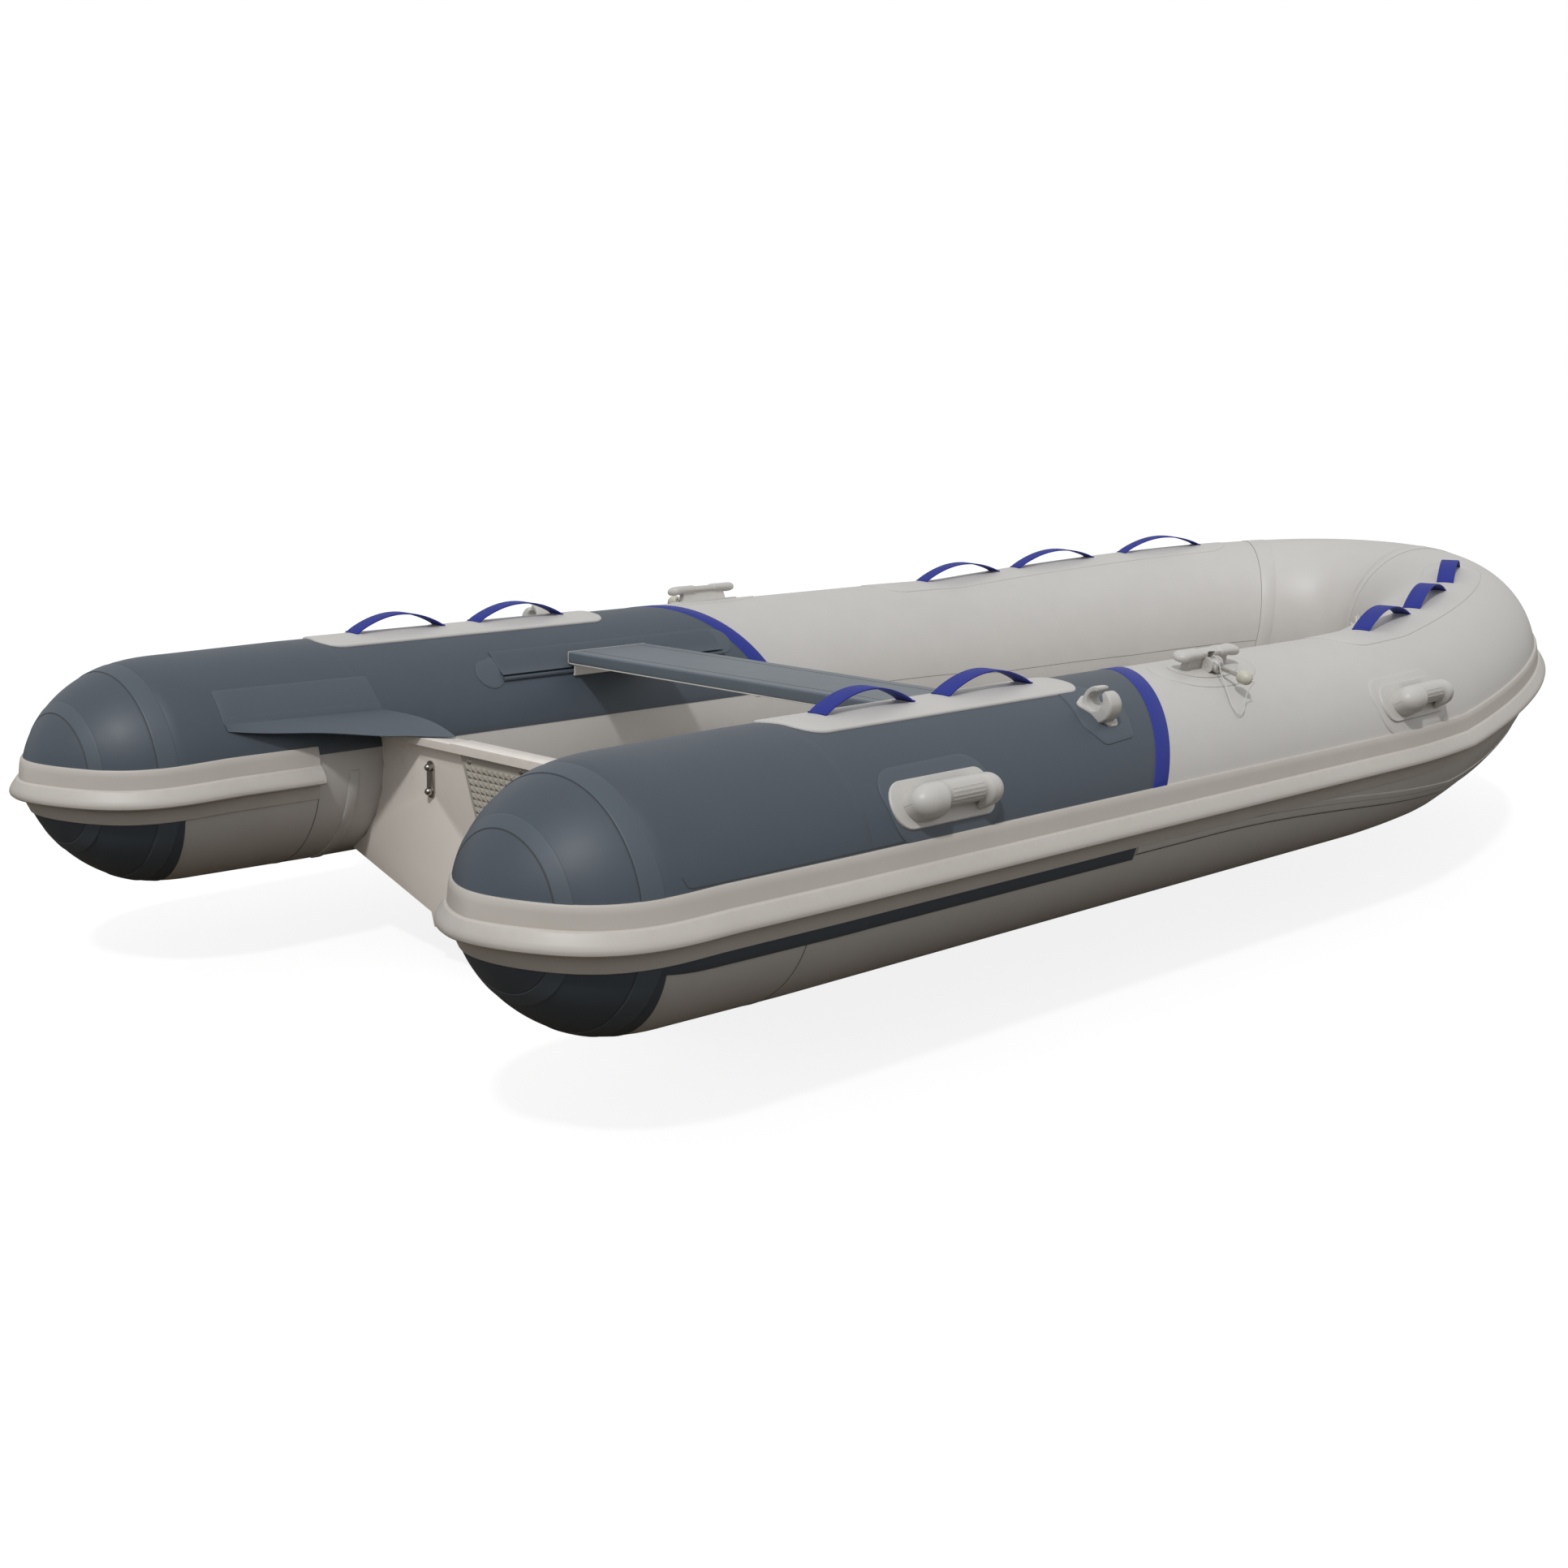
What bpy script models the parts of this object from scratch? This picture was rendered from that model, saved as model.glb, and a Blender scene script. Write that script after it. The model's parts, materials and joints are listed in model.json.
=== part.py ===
"""Rigid inflatable boat: moulded hull and transom, inflated collar, straps, handles, seat and rowlocks.

Sizes are in metres, in boat axes: X forward, Y to port, Z up from the axis of the inflated tubes.
The whole boat hangs on one empty, which puts the middle of its footprint, at keel height, on the origin.
"""

import math

import bmesh
import bpy
import numpy as np
from mathutils import Matrix, Vector

# Clearances
GAP = 0.0003
LAYER = 0.0012
OVERRUN = 0.004
BURIED = 0.012
PROBE_STEP = 0.001

# Facets of round pieces and the angles above which an edge stays sharp
ROD_SIDES = 12
BOSS_SIDES = 16
DRUM_SIDES = 18
DRAIN_SIDES = 18
SLOT_SIDES = 28
SHARP_LOW = 25.0
SHARP_MIDDLE = 40.0
SHARP_HIGH = 50.0

# Inflated collar
TUBE_RADIUS = 0.215
TUBE_HALF_SPACING = 0.6415
TUBE_SKIN = 0.0012
TUBE_SIDES = 24
TAPER_START = -1.12
TAIL_START = -1.363
TAIL_TIP = -1.658
TAIL_RADIUS = 0.2115
TAIL_LIFT = 0.012
TAIL_SEAM = -1.47
TAIL_LENGTH_POWER = 2.0 / 2.55
TAIL_RADIUS_POWER = 2.0 / 1.46
TAIL_TURNS = (30.0, 44.0, 57.0, 69.0, 79.0, 86.0)
BOW_START = 0.583
BOW_TIP = 1.951
BOW_LENGTH_POWER = 2.0 / 1.57
BOW_WIDTH_POWER = 2.0 / 2.21
BOW_TURNS = (3.0, 9.0, 15.0, 22.0, 29.0, 36.0, 45.0, 56.0, 70.0)
BOW_SAMPLES = 2001
BOW_SEAM_TURN = 36.0
SHEER_START = 0.864
SHEER_RISE = 0.092

# Hull and deck
KEEL_DEPTH = 0.373
KEEL_HALF_WIDTH = 0.012
KEEL_RISE_START = 0.45
KEEL_RISE_POWER = 2.3
STEM_DEPTH = 0.122
HULL_WALL = 0.008
FLANGE_WALL = 0.005
CRADLE_GAP = 0.0006
CHINE_ANGLE = -150.0
CHINE_INNER_ANGLE = -145.0
FLANGE_ANGLES = (-120.0, -135.0)
DECK_ANGLE = -124.6
DECK_THICKNESS = 0.006
DECK_PAD_MARGIN = 0.012
DECK_PAD_RAISE = 0.0015
STRAKE_WIDTH_SHARES = (0.523, 0.507, 0.403)
STRAKE_HEIGHT_SHARES = (0.552, 0.404, 0.404)

# Transom
TRANSOM_AFT = -1.040
TRANSOM_THICKNESS = 0.035
TRANSOM_TOP = 0.053
CAP_HEIGHT = 0.017
CAP_OVERHANG = 0.015
CAP_SEAT_HALF_WIDTH = 0.195
CAP_REBATE = 0.002

# Motor pads
PAD_TOP = 0.0525
PAD_BOTTOM = -0.15
PAD_TOP_HALF_WIDTH = 0.177
PAD_BOTTOM_HALF_WIDTH = 0.100
PAD_PLATE = 0.005
PAD_TOP_MARGIN = 0.018
PAD_MARGIN = 0.008
PYRAMID_HEIGHT = 0.004
PYRAMID_COLUMNS = 20
PYRAMID_ROWS = 14
INNER_PAD_HALF_WIDTH = 0.16
INNER_PAD_HEIGHT = 0.13
INNER_PAD_THICKNESS = 0.006

# Towing eyes
EYE_Y = 0.272
EYE_UPPER_Z = 0.012
EYE_LOWER_Z = -0.034
EYE_ROD = 0.0040
EYE_LOOP = 0.038
EYE_PLATE_HALF_WIDTH = 0.011
EYE_PLATE_OVERHANG = 0.013
EYE_PLATE_THICKNESS = 0.003
EYE_NUT_RADIUS = 0.0075
EYE_NUT_LENGTH = 0.009
EYE_HOLE_CLEARANCE = 0.0006

# Drain
DRAIN_Z = -0.25
DRAIN_BORE = 0.0115
DRAIN_BODY = 0.016
DRAIN_FLANGE = 0.026
DRAIN_FLANGE_THICKNESS = 0.004
DRAIN_CLEARANCE = 0.0005
PLUG_LENGTH = 0.022
PLUG_HEAD_RADIUS = 0.018
PLUG_HEAD_THICKNESS = 0.004
PLUG_GRIP_LENGTH = 0.014
PLUG_GRIP_WIDTH = 0.030
PLUG_GRIP_THICKNESS = 0.007

# Rub strake profile: distance out from the tube's skin and height, from the top edge down
STRAKE_PROFILE = (
    (0.0040, 0.0450),
    (0.0060, 0.0120),
    (0.0100, 0.0100),
    (0.0220, -0.0060),
    (0.0270, -0.0160),
    (0.0260, -0.0220),
    (0.0080, -0.0260),
    (0.0050, -0.0290),
    (0.0040, -0.0550),
)
STRAKE_INNER_END = -1.193
STRAKE_INNER_SLANT = 0.017

# Wear panels, stripes and patches on the collar
PANEL_INNER_ANGLE = -82.0
PANEL_OUTER_ANGLE = 107.0
PANEL_LOWER_END = -0.350
STRIPE_AT_TOP = -0.1025
STRIPE_SLANT = 0.00215
STRIPE_WIDTH = 0.045
STRIPE_INNER_ANGLE = -84.0
STRIPE_OUTER_ANGLE = 77.0
PATCH_AFT = -1.100
PATCH_FORWARD = -0.335
PATCH_HALF_ANGLE = 18.5
PATCH_THICKNESS = 0.0035
PATCH_CORNER = 0.050

# Webbing straps
STRAP_WIDTH = 0.040
STRAP_THICKNESS = 0.003
STRAP_RISE = 0.045
STRAP_FOOT = 0.018
STRAP_SEAT = 0.0006
STRAP_STEPS = 12
STRAP_POWER = 0.75
AFT_STRAPS = ((-0.9585, -0.7393), (-0.6520, -0.4209))
BOW_STRAPS = ((0.772, 1.010), (1.114, 1.346), (1.462, 1.692))

# Transom flaps
FLAP_TOP_ANGLE = -42.0
FLAP_MIDDLE_ANGLE = -45.0
FLAP_BEND_ANGLE = -48.0
FLAP_REACH_AFT = 0.324
FLAP_REACH_FORWARD = 0.020
FLAP_AFT_ANGLE = -60.0
FLAP_TIP_Y = 0.220
FLAP_AFT_TIP_Y = 0.280
FLAP_THICKNESS = 0.0015

# Seat
SEAT_AFT = -0.536
SEAT_LENGTH = 0.218
SEAT_TOP = 0.166
SEAT_THICKNESS = 0.026
SEAT_END_GAP = 0.0072
SEAT_EDGE_RADIUS = 0.005
SEAT_LINE_DEPTH = 0.0008
SEAT_LINE_WIDTH = 0.003
SEAT_LINE_INSET = 0.030

# Seat flaps: a glued strip with a round bead along its lower edge
RAIL_AFT = -0.715
RAIL_FORWARD = -0.088
RAIL_TOP_ANGLE = -38.0
RAIL_MIDDLE_ANGLE = -45.0
RAIL_WEB_ANGLE = -50.0
RAIL_BEAD_ANGLE = -55.0
RAIL_WEB = 0.0022
RAIL_BEAD_RADIUS = 0.0045
RAIL_BEAD_SIDES = 10
RAIL_BEAD_START = 40.0
RAIL_BEAD_SWEEP = 280.0

# Seat hooks
HOOK_INSET = 0.004
HOOK_SHELF_REACH = 0.045
HOOK_SHELF = 0.0018
HOOK_WEB = 0.0040
HOOK_CLEARANCE = 0.0006
HOOK_FOOT_DROP = 0.0006
HOOK_FOOT = 0.0038
HOOK_FOOT_REACH = 0.0026

# Rowlock
ROWLOCK_X = 0.0675
ROWLOCK_ANGLE = 14.0
ROWLOCK_BASE_LENGTH = 0.205
ROWLOCK_BASE_WIDTH = 0.088
ROWLOCK_BASE_THICKNESS = 0.0045
ROWLOCK_BASE_STEPS = 9
CLEAT_HALF_LENGTH = 0.0975
CLEAT_HEIGHT = 0.037
CLEAT_HALF_WIDTH = 0.0135
CLEAT_BAR = 0.012
CLEAT_BAR_DROP = 0.005
CLEAT_STEM_HALF_LENGTH = 0.062
CLEAT_STEM_HALF_WIDTH = 0.0075
CLEAT_EDGE = 0.004
CLEAT_SHARP_ANGLE = 60.0
PIVOT_X = 0.065
PIVOT_ANGLE = 18.435
PIVOT_HEIGHT = 0.014266
PIN_DROOP = 13.0
DRUM_RADIUS = 0.0115
DRUM_HALF_LENGTH = 0.012
SNOUT_RADIUS = 0.0122
SNOUT_LENGTH = 0.020
SADDLE_CLEARANCE = 0.0010
SADDLE_CHEEK = 0.0060
SADDLE_CHEEK_RADIUS = 0.0155
TRUNNION_RADIUS = 0.0035
TRUNNION_CLEARANCE = 0.0005
PIN_RADIUS = 0.00425
PIN_LENGTH = 0.044
KNOB_RADIUS = 0.0133
KNOB_LENGTH = 0.030
KNOB_FACETS = 12
KNOB_SHARES = ((0.72, 0.0), (1.0, 0.18), (1.0, 0.62), (0.80, 0.84), (0.30, 1.0))

# Lanyard: centre of a thin cord, measured from the port drum's centre, from the groove to the knob's end
LANYARD_RADIUS = 0.0011
LANYARD_STEP = 0.0062
LANYARD_ROUTE = (
    (-0.0160, 0.0088, 0.0145),
    (-0.0178, 0.0160, 0.0193),
    (-0.0188, 0.0240, 0.0165),
    (-0.0190, 0.0300, 0.0070),
    (-0.0210, 0.0350, -0.0045),
    (-0.0250, 0.0420, -0.0165),
    (-0.0303, 0.0527, -0.0269),
    (-0.0418, 0.0680, -0.0445),
    (-0.0512, 0.0820, -0.0603),
    (-0.0531, 0.0940, -0.0735),
    (-0.0500, 0.1005, -0.0795),
    (-0.0390, 0.1000, -0.0765),
    (-0.0305, 0.0986, -0.0699),
    (-0.0260, 0.0960, -0.0607),
    (-0.0191, 0.0936, -0.0495),
    (-0.0100, 0.0920, -0.0385),
    (-0.0040, 0.0955, -0.0280),
)

# Oar clip
CLIP_X = -0.343
CLIP_ANGLE = 30.0
CLIP_BASE_LENGTH = 0.086
CLIP_BASE_WIDTH = 0.104
CLIP_BASE_THICKNESS = 0.004
CLIP_BASE_STEPS = 5
CLIP_BORE = 0.016
CLIP_WALL = 0.0055
CLIP_HORN_WALL = 0.013
CLIP_HALF_LENGTH = 0.014
CLIP_CENTRE_HEIGHT = 0.0225
CLIP_HOOK_END = 112.0
CLIP_HORN_END = 52.0
CLIP_ARC_STEPS = 15
CLIP_ROOT_HALF_WIDTH = 0.021
CLIP_ROOT_TOP_SHARE = 0.7
CLIP_BASE_POWER = 1.6
CLIP_HORN_FALL_SHARE = 2.2
CLIP_HORN_START_SHARE = 0.15

# Grab handles
HANDLE_BASE_LENGTH = 0.278
HANDLE_BASE_HALF_ANGLE = 12.3
HANDLE_BASE_THICKNESS = 0.0042
HANDLE_BASE_CORNER = 0.024
HANDLE_GRIP_LENGTH = 0.222
HANDLE_GRIP_OFFSET = 0.027
HANDLE_GRIP_RADIUS = 0.0225
HANDLE_GRIP_HEIGHT = 0.0225
HANDLE_GRIP_SIDES = 16
HANDLE_GRIP_CAP_STEPS = 4
HANDLE_GRIP_CAP_START = 12.0
HANDLE_GRIP_CAP_SWEEP = 78.0
HANDLE_MOUTH_LENGTH = 0.128
HANDLE_MOUTH_TOP_LENGTH = 0.112
HANDLE_MOUTH_HEIGHT = 0.0205
HANDLE_MOUTH_OFFSET = 0.004
HANDLES = (("aft", -0.838, 58.5), ("forward", 0.694, 58.0))

# Inflation valves
VALVE_SEGMENTS = 16
VALVE_FLANGE_RADIUS = 0.031
VALVE_FLANGE_THICKNESS = 0.004
VALVE_NECK_RADIUS = 0.0225
VALVE_NECK_DEPTH = 0.024
VALVE_BORE = 0.0185
VALVE_FLOOR = 0.003
VALVE_AIR_HOLE = 0.0080
VALVE_HOLE_CLEARANCE = 0.0005
VALVE_CAP_RADIUS = 0.0265
VALVE_CAP_THICKNESS = 0.006
VALVE_CAP_EDGE_SHARE = 0.7
VALVE_CAP_TOP_SHARE = 0.9
VALVE_GRIP_SHARE = 0.8
VALVE_CAP_PLUG = 0.0175
VALVE_CAP_PLUG_DEPTH = 0.010
VALVE_GRIP_HALF_WIDTH = 0.004
VALVE_GRIP_HEIGHT = 0.006
VALVE_STATION = 0.170
VALVE_ANGLE = -82.5
BOW_VALVE_AHEAD = 0.0515

# Layers on the skin, worked out from the clearances
PANEL_INNER = GAP
PANEL_OUTER = GAP + LAYER
OVER_PANEL = PANEL_OUTER + GAP
PATCH_OUTER = OVER_PANEL + PATCH_THICKNESS
FACET = 360.0 / TUBE_SIDES


def clear_scene():
    """Removes what the scene holds before the boat is made."""
    for found in list(bpy.data.objects):
        bpy.data.objects.remove(found, do_unlink=True)


def make_material(name, colour, roughness, metallic=0.0):
    """A plain surface with the piece's own colour, roughness and metallic value."""
    material = bpy.data.materials.new(name)
    material.use_nodes = True
    shader = material.node_tree.nodes["Principled BSDF"]
    shader.inputs["Base Color"].default_value = (*colour, 1.0)
    shader.inputs["Roughness"].default_value = roughness
    shader.inputs["Metallic"].default_value = metallic
    return material


def add_object(name, mesh, material, origin=(0.0, 0.0, 0.0)):
    """An object in boat axes whose origin is moved to the point given."""
    mesh.name = name
    mesh.transform(Matrix.Translation(-Vector(origin)))
    mesh.materials.clear()
    mesh.materials.append(material)
    made = bpy.data.objects.new(name, mesh)
    made.location = origin
    made.parent = boat
    bpy.context.scene.collection.objects.link(made)
    return made


def mesh_of(points, faces):
    """A mesh with its faces turned outwards."""
    mesh = bpy.data.meshes.new("piece")
    mesh.from_pydata([tuple(point) for point in points], [], faces)
    form = bmesh.new()
    form.from_mesh(mesh)
    bmesh.ops.recalc_face_normals(form, faces=form.faces)
    form.to_mesh(mesh)
    form.free()
    return mesh


def smooth(mesh, degrees=35.0):
    """Round pieces shaded smooth up to the angle given."""
    mesh.shade_smooth()
    mesh.set_sharp_from_angle(angle=math.radians(degrees))
    return mesh


def mirrored(mesh):
    """The same piece for the other side of the boat."""
    twin = mesh.copy()
    twin.transform(Matrix.Scale(-1.0, 4, (0.0, 1.0, 0.0)))
    twin.flip_normals()
    return twin


def add_pair(stem, mesh, material, origin=(0.0, 0.0, 0.0)):
    """The port piece and its mirror image to starboard."""
    twin = mirrored(mesh)
    port = add_object(stem + "_port", mesh, material, origin)
    other_origin = (origin[0], -origin[1], origin[2])
    starboard = add_object(stem + "_starboard", twin, material, other_origin)
    return port, starboard


def combine(mesh, tools, operation):
    """One mesh after a Boolean with each tool mesh in turn."""
    for tool in tools:
        body = bpy.data.objects.new("body", mesh)
        other = bpy.data.objects.new("other", tool)
        for item in (body, other):
            bpy.context.scene.collection.objects.link(item)
        cut = body.modifiers.new("combine", "BOOLEAN")
        cut.operation = operation
        cut.solver = "EXACT"
        cut.object = other
        graph = bpy.context.evaluated_depsgraph_get()
        mesh = bpy.data.meshes.new_from_object(body.evaluated_get(graph))
        for item in (body, other):
            bpy.data.objects.remove(item, do_unlink=True)
    return mesh


def loft(rings, capped=True):
    """Rings of equal counts joined in turn, with both ends closed or the last ring joined to the first."""
    count = len(rings[0])
    points = [point for ring in rings for point in ring]
    faces = []
    spans = len(rings) - 1 if capped else len(rings)
    for row in range(spans):
        following = (row + 1) % len(rings)
        for column in range(count):
            beside = (column + 1) % count
            faces.append(
                (
                    row * count + column,
                    row * count + beside,
                    following * count + beside,
                    following * count + column,
                )
            )
    if capped:
        faces.append(tuple(range(count)))
        faces.append(tuple(range((len(rings) - 1) * count, len(rings) * count)))
    return mesh_of(points, faces)


def slab(outer, inner):
    """A closed sheet between two grids of points with the same rows and columns."""
    rows, columns = len(outer), len(outer[0])
    points = [point for grid in (outer, inner) for row in grid for point in row]
    half = rows * columns
    faces = []
    for row in range(rows - 1):
        for column in range(columns - 1):
            corner = row * columns + column
            quad = (corner, corner + 1, corner + columns + 1, corner + columns)
            faces.append(quad)
            faces.append(tuple(half + index for index in reversed(quad)))
    rim = [column for column in range(columns)]
    rim += [row * columns + columns - 1 for row in range(1, rows)]
    rim += [(rows - 1) * columns + column for column in range(columns - 2, -1, -1)]
    rim += [row * columns for row in range(rows - 2, 0, -1)]
    for place, index in enumerate(rim):
        following = rim[(place + 1) % len(rim)]
        faces.append((index, half + index, half + following, following))
    return mesh_of(points, faces)


def prism(outline, start, end, axis="X"):
    """A flat outline, given in the two other axes in order, run along one axis."""
    if axis == "X":
        rings = [[(at, first, second) for first, second in outline] for at in (start, end)]
    elif axis == "Y":
        rings = [[(first, at, second) for first, second in outline] for at in (start, end)]
    else:
        rings = [[(first, second, at) for first, second in outline] for at in (start, end)]
    return loft(rings)


def turned(profile, segments):
    """A profile of (radius, height) points turned about Z; a point on the axis closes that end."""
    rings = []
    for radius, height in profile:
        ring = []
        for step in range(segments):
            turn = 2.0 * math.pi * step / segments
            ring.append((radius * math.cos(turn), radius * math.sin(turn), height))
        rings.append(ring)
    return loft(rings)


def turned_ring(profile, segments):
    """A closed profile of (radius, height) points turned about Z, with a hole through it."""
    rings = []
    for step in range(segments):
        turn = 2.0 * math.pi * step / segments
        across, along = math.cos(turn), math.sin(turn)
        rings.append([(radius * across, radius * along, height) for radius, height in profile])
    return loft(rings, capped=False)


def bevelled(mesh, width, segments=2, angle=30.0):
    """The mesh with its sharp edges rounded."""
    form = bmesh.new()
    form.from_mesh(mesh)
    sharp = [edge for edge in form.edges if edge.calc_face_angle(0.0) > math.radians(angle)]
    bmesh.ops.bevel(
        form,
        geom=sharp,
        offset=width,
        segments=segments,
        profile=0.5,
        affect="EDGES",
        clamp_overlap=True,
    )
    form.to_mesh(mesh)
    form.free()
    return mesh


def bow_curve():
    """Port half of the collar's centreline ahead of its straight run: a superellipse in plan."""
    turn = np.linspace(0.0, math.pi / 2.0, BOW_SAMPLES)
    along = BOW_START + (BOW_TIP - BOW_START) * np.sin(turn) ** BOW_LENGTH_POWER
    across = TUBE_HALF_SPACING * np.maximum(np.cos(turn), 0.0) ** BOW_WIDTH_POWER
    across[-1] = 0.0
    rise = SHEER_RISE * np.clip((along - SHEER_START) / (BOW_TIP - SHEER_START), 0.0, 1.0)
    points = np.stack([along, across, rise], axis=1)
    steps = np.linalg.norm(np.diff(points, axis=0), axis=1)
    distance = BOW_START + np.concatenate([[0.0], np.cumsum(steps)])
    heading = np.gradient(points, distance, axis=0)
    heading[-1] = (0.0, -1.0, 0.0)
    heading /= np.linalg.norm(heading, axis=1)[:, None]
    return distance, points, heading


CURVE_DISTANCE, CURVE_POINTS, CURVE_HEADING = bow_curve()
COLLAR_END = float(CURVE_DISTANCE[-1])


def bow_station(turn_degrees):
    """Distance along the centreline at which it has turned by the angle given."""
    turned_by = np.degrees(np.arctan2(-CURVE_HEADING[:, 1], CURVE_HEADING[:, 0]))
    turned_by = np.maximum.accumulate(turned_by)
    return float(np.interp(turn_degrees, turned_by, CURVE_DISTANCE))


def tail_turn(along):
    """Angle, in radians, in the tail's superellipse at a place along the boat."""
    share = min(max((TAIL_START - along) / (TAIL_START - TAIL_TIP), 0.0), 1.0)
    return math.asin(share ** (1.0 / TAIL_LENGTH_POWER))


def tail_place(turn):
    """Place along the boat at an angle, in radians, in the tail's superellipse."""
    return TAIL_START - (TAIL_START - TAIL_TIP) * math.sin(turn) ** TAIL_LENGTH_POWER


def tail_section(along, offset):
    """Place, radius and lift of the tail's ring, moved out square to its surface."""
    turn = tail_turn(along)
    sine, cosine = math.sin(turn), math.cos(turn)
    radius = TAIL_RADIUS * cosine**TAIL_RADIUS_POWER
    length = TAIL_START - TAIL_TIP
    run = length * TAIL_LENGTH_POWER * max(sine, 1e-6) ** (TAIL_LENGTH_POWER - 1.0) * cosine
    fall = TAIL_RADIUS * TAIL_RADIUS_POWER * max(cosine, 1e-6) ** (TAIL_RADIUS_POWER - 1.0) * sine
    size = math.hypot(run, fall)
    lift = TAIL_LIFT * ((TAIL_START - along) / length) ** 2
    return along - offset * fall / size, radius + offset * run / size, lift


def exact_point(station, angle, offset):
    """Point of the port collar's surface at a station and an angle from the top, positive outboard."""
    side = math.radians(angle % FACET) - math.radians(FACET) / 2.0
    facet_share = math.cos(math.radians(FACET) / 2.0) / math.cos(side)
    sine = math.sin(math.radians(angle))
    cosine = math.cos(math.radians(angle))
    if station < TAIL_START:
        along, radius, lift = tail_section(station, offset)
        reach = radius * facet_share
        return Vector((along, TUBE_HALF_SPACING + reach * sine, lift + reach * cosine))
    if station <= BOW_START:
        share = min((station - TAIL_START) / (TAPER_START - TAIL_START), 1.0)
        radius = TAIL_RADIUS + (TUBE_RADIUS - TAIL_RADIUS) * share
        reach = (radius + offset) * facet_share
        return Vector((station, TUBE_HALF_SPACING + reach * sine, reach * cosine))
    centre = [np.interp(station, CURVE_DISTANCE, CURVE_POINTS[:, axis]) for axis in range(3)]
    heading = Vector([np.interp(station, CURVE_DISTANCE, CURVE_HEADING[:, axis]) for axis in range(3)])
    outboard = Vector((0.0, 0.0, 1.0)).cross(heading).normalized()
    upward = heading.normalized().cross(outboard)
    reach = (TUBE_RADIUS + offset) * facet_share
    return Vector(centre) + outboard * (reach * sine) + upward * (reach * cosine)


TAIL_STATIONS = [tail_place(math.radians(turn)) for turn in reversed(TAIL_TURNS)]
BOW_STATIONS = [bow_station(turn) for turn in BOW_TURNS]
STATIONS = TAIL_STATIONS + [TAIL_SEAM, TAIL_START, TAPER_START, BOW_START] + BOW_STATIONS + [COLLAR_END]
BOW_SEAM = bow_station(BOW_SEAM_TURN)
VALVES = (
    ("port", VALVE_STATION, VALVE_ANGLE, 1.0),
    ("starboard", VALVE_STATION, VALVE_ANGLE, -1.0),
    ("bow", BOW_SEAM + BOW_VALVE_AHEAD, VALVE_ANGLE, -1.0),
)


def collar_point(station, angle, offset):
    """Point on the faceted collar, which runs straight between its stations."""
    ahead = int(np.searchsorted(STATIONS, station))
    if ahead == 0 or ahead == len(STATIONS) or abs(STATIONS[ahead] - station) < 1e-9:
        return exact_point(station, angle, offset)
    start, end = STATIONS[ahead - 1], STATIONS[ahead]
    share = (station - start) / (end - start)
    return exact_point(start, angle, offset).lerp(exact_point(end, angle, offset), share)


def collar_matrix(station, angle, offset):
    """Axes on the port collar: X along it, Y round it and outboard, Z out of it."""
    place = collar_point(station, angle, offset)
    ahead = collar_point(min(station + PROBE_STEP, COLLAR_END), angle, offset)
    behind = collar_point(station - PROBE_STEP, angle, offset)
    outward = place - collar_point(station, angle, offset - TUBE_RADIUS / 2.0)
    forward = (ahead - behind).normalized()
    outward = (outward - forward * outward.dot(forward)).normalized()
    around = outward.cross(forward)
    turn = Matrix((forward, around, outward)).transposed().to_4x4()
    return Matrix.Translation(place) @ turn


def collar_ring(station, offset):
    """Corner points of the collar's section."""
    return [collar_point(station, FACET * side, offset) for side in range(TUBE_SIDES)]


def stations_between(start, end):
    """The collar's own stations inside a range, with the range's ends."""
    inside = [station for station in STATIONS if start + OVERRUN < station < end - OVERRUN]
    return [start] + inside + [end]


def angles_between(start, end):
    """The collar's own corner angles inside a range, with the range's ends."""
    first = math.ceil(start / FACET + 0.02)
    last = math.floor(end / FACET - 0.02)
    return [start] + [FACET * side for side in range(first, last + 1)] + [end]


def wrapped(rows, inner_offset, outer_offset):
    """A sheet on the collar. Each row is an angle with the stations where the sheet starts and ends."""
    latest_start = max(row[1] for row in rows)
    earliest_end = min(row[2] for row in rows)
    inside = stations_between(latest_start, earliest_end)[1:-1]
    grids = []
    for offset in (outer_offset, inner_offset):
        grid = []
        for angle, start, end in rows:
            places = [start] + inside + [end]
            grid.append([collar_point(place, angle, offset) for place in places])
        grids.append(grid)
    return slab(*grids)


def rounded_rows(start, end, first_angle, last_angle, corner, steps=3):
    """Rows of a sheet with rounded corners."""
    metres_per_degree = math.radians(TUBE_RADIUS)
    span = corner / metres_per_degree
    angles = set(angles_between(first_angle, last_angle))
    for step in range(steps + 1):
        lean = span * (1.0 - math.cos(math.pi / 2.0 * step / steps))
        angles.update((first_angle + lean, last_angle - lean))
    rows = []
    for angle in sorted(angles):
        edge = min(angle - first_angle, last_angle - angle) * metres_per_degree
        depth = max(corner - edge, 0.0)
        inset = corner - math.sqrt(max(corner**2 - depth**2, 0.0))
        rows.append((angle, start + inset, end - inset))
    return rows


def collar_envelope(offset):
    """The whole collar as one closed solid, moved out by an offset, for fitting what lies against it."""
    port = [collar_ring(station, offset) for station in STATIONS]
    starboard = [[Vector((x, -y, z)) for x, y, z in ring] for ring in reversed(port[:-1])]
    return loft(port + starboard)


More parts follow.
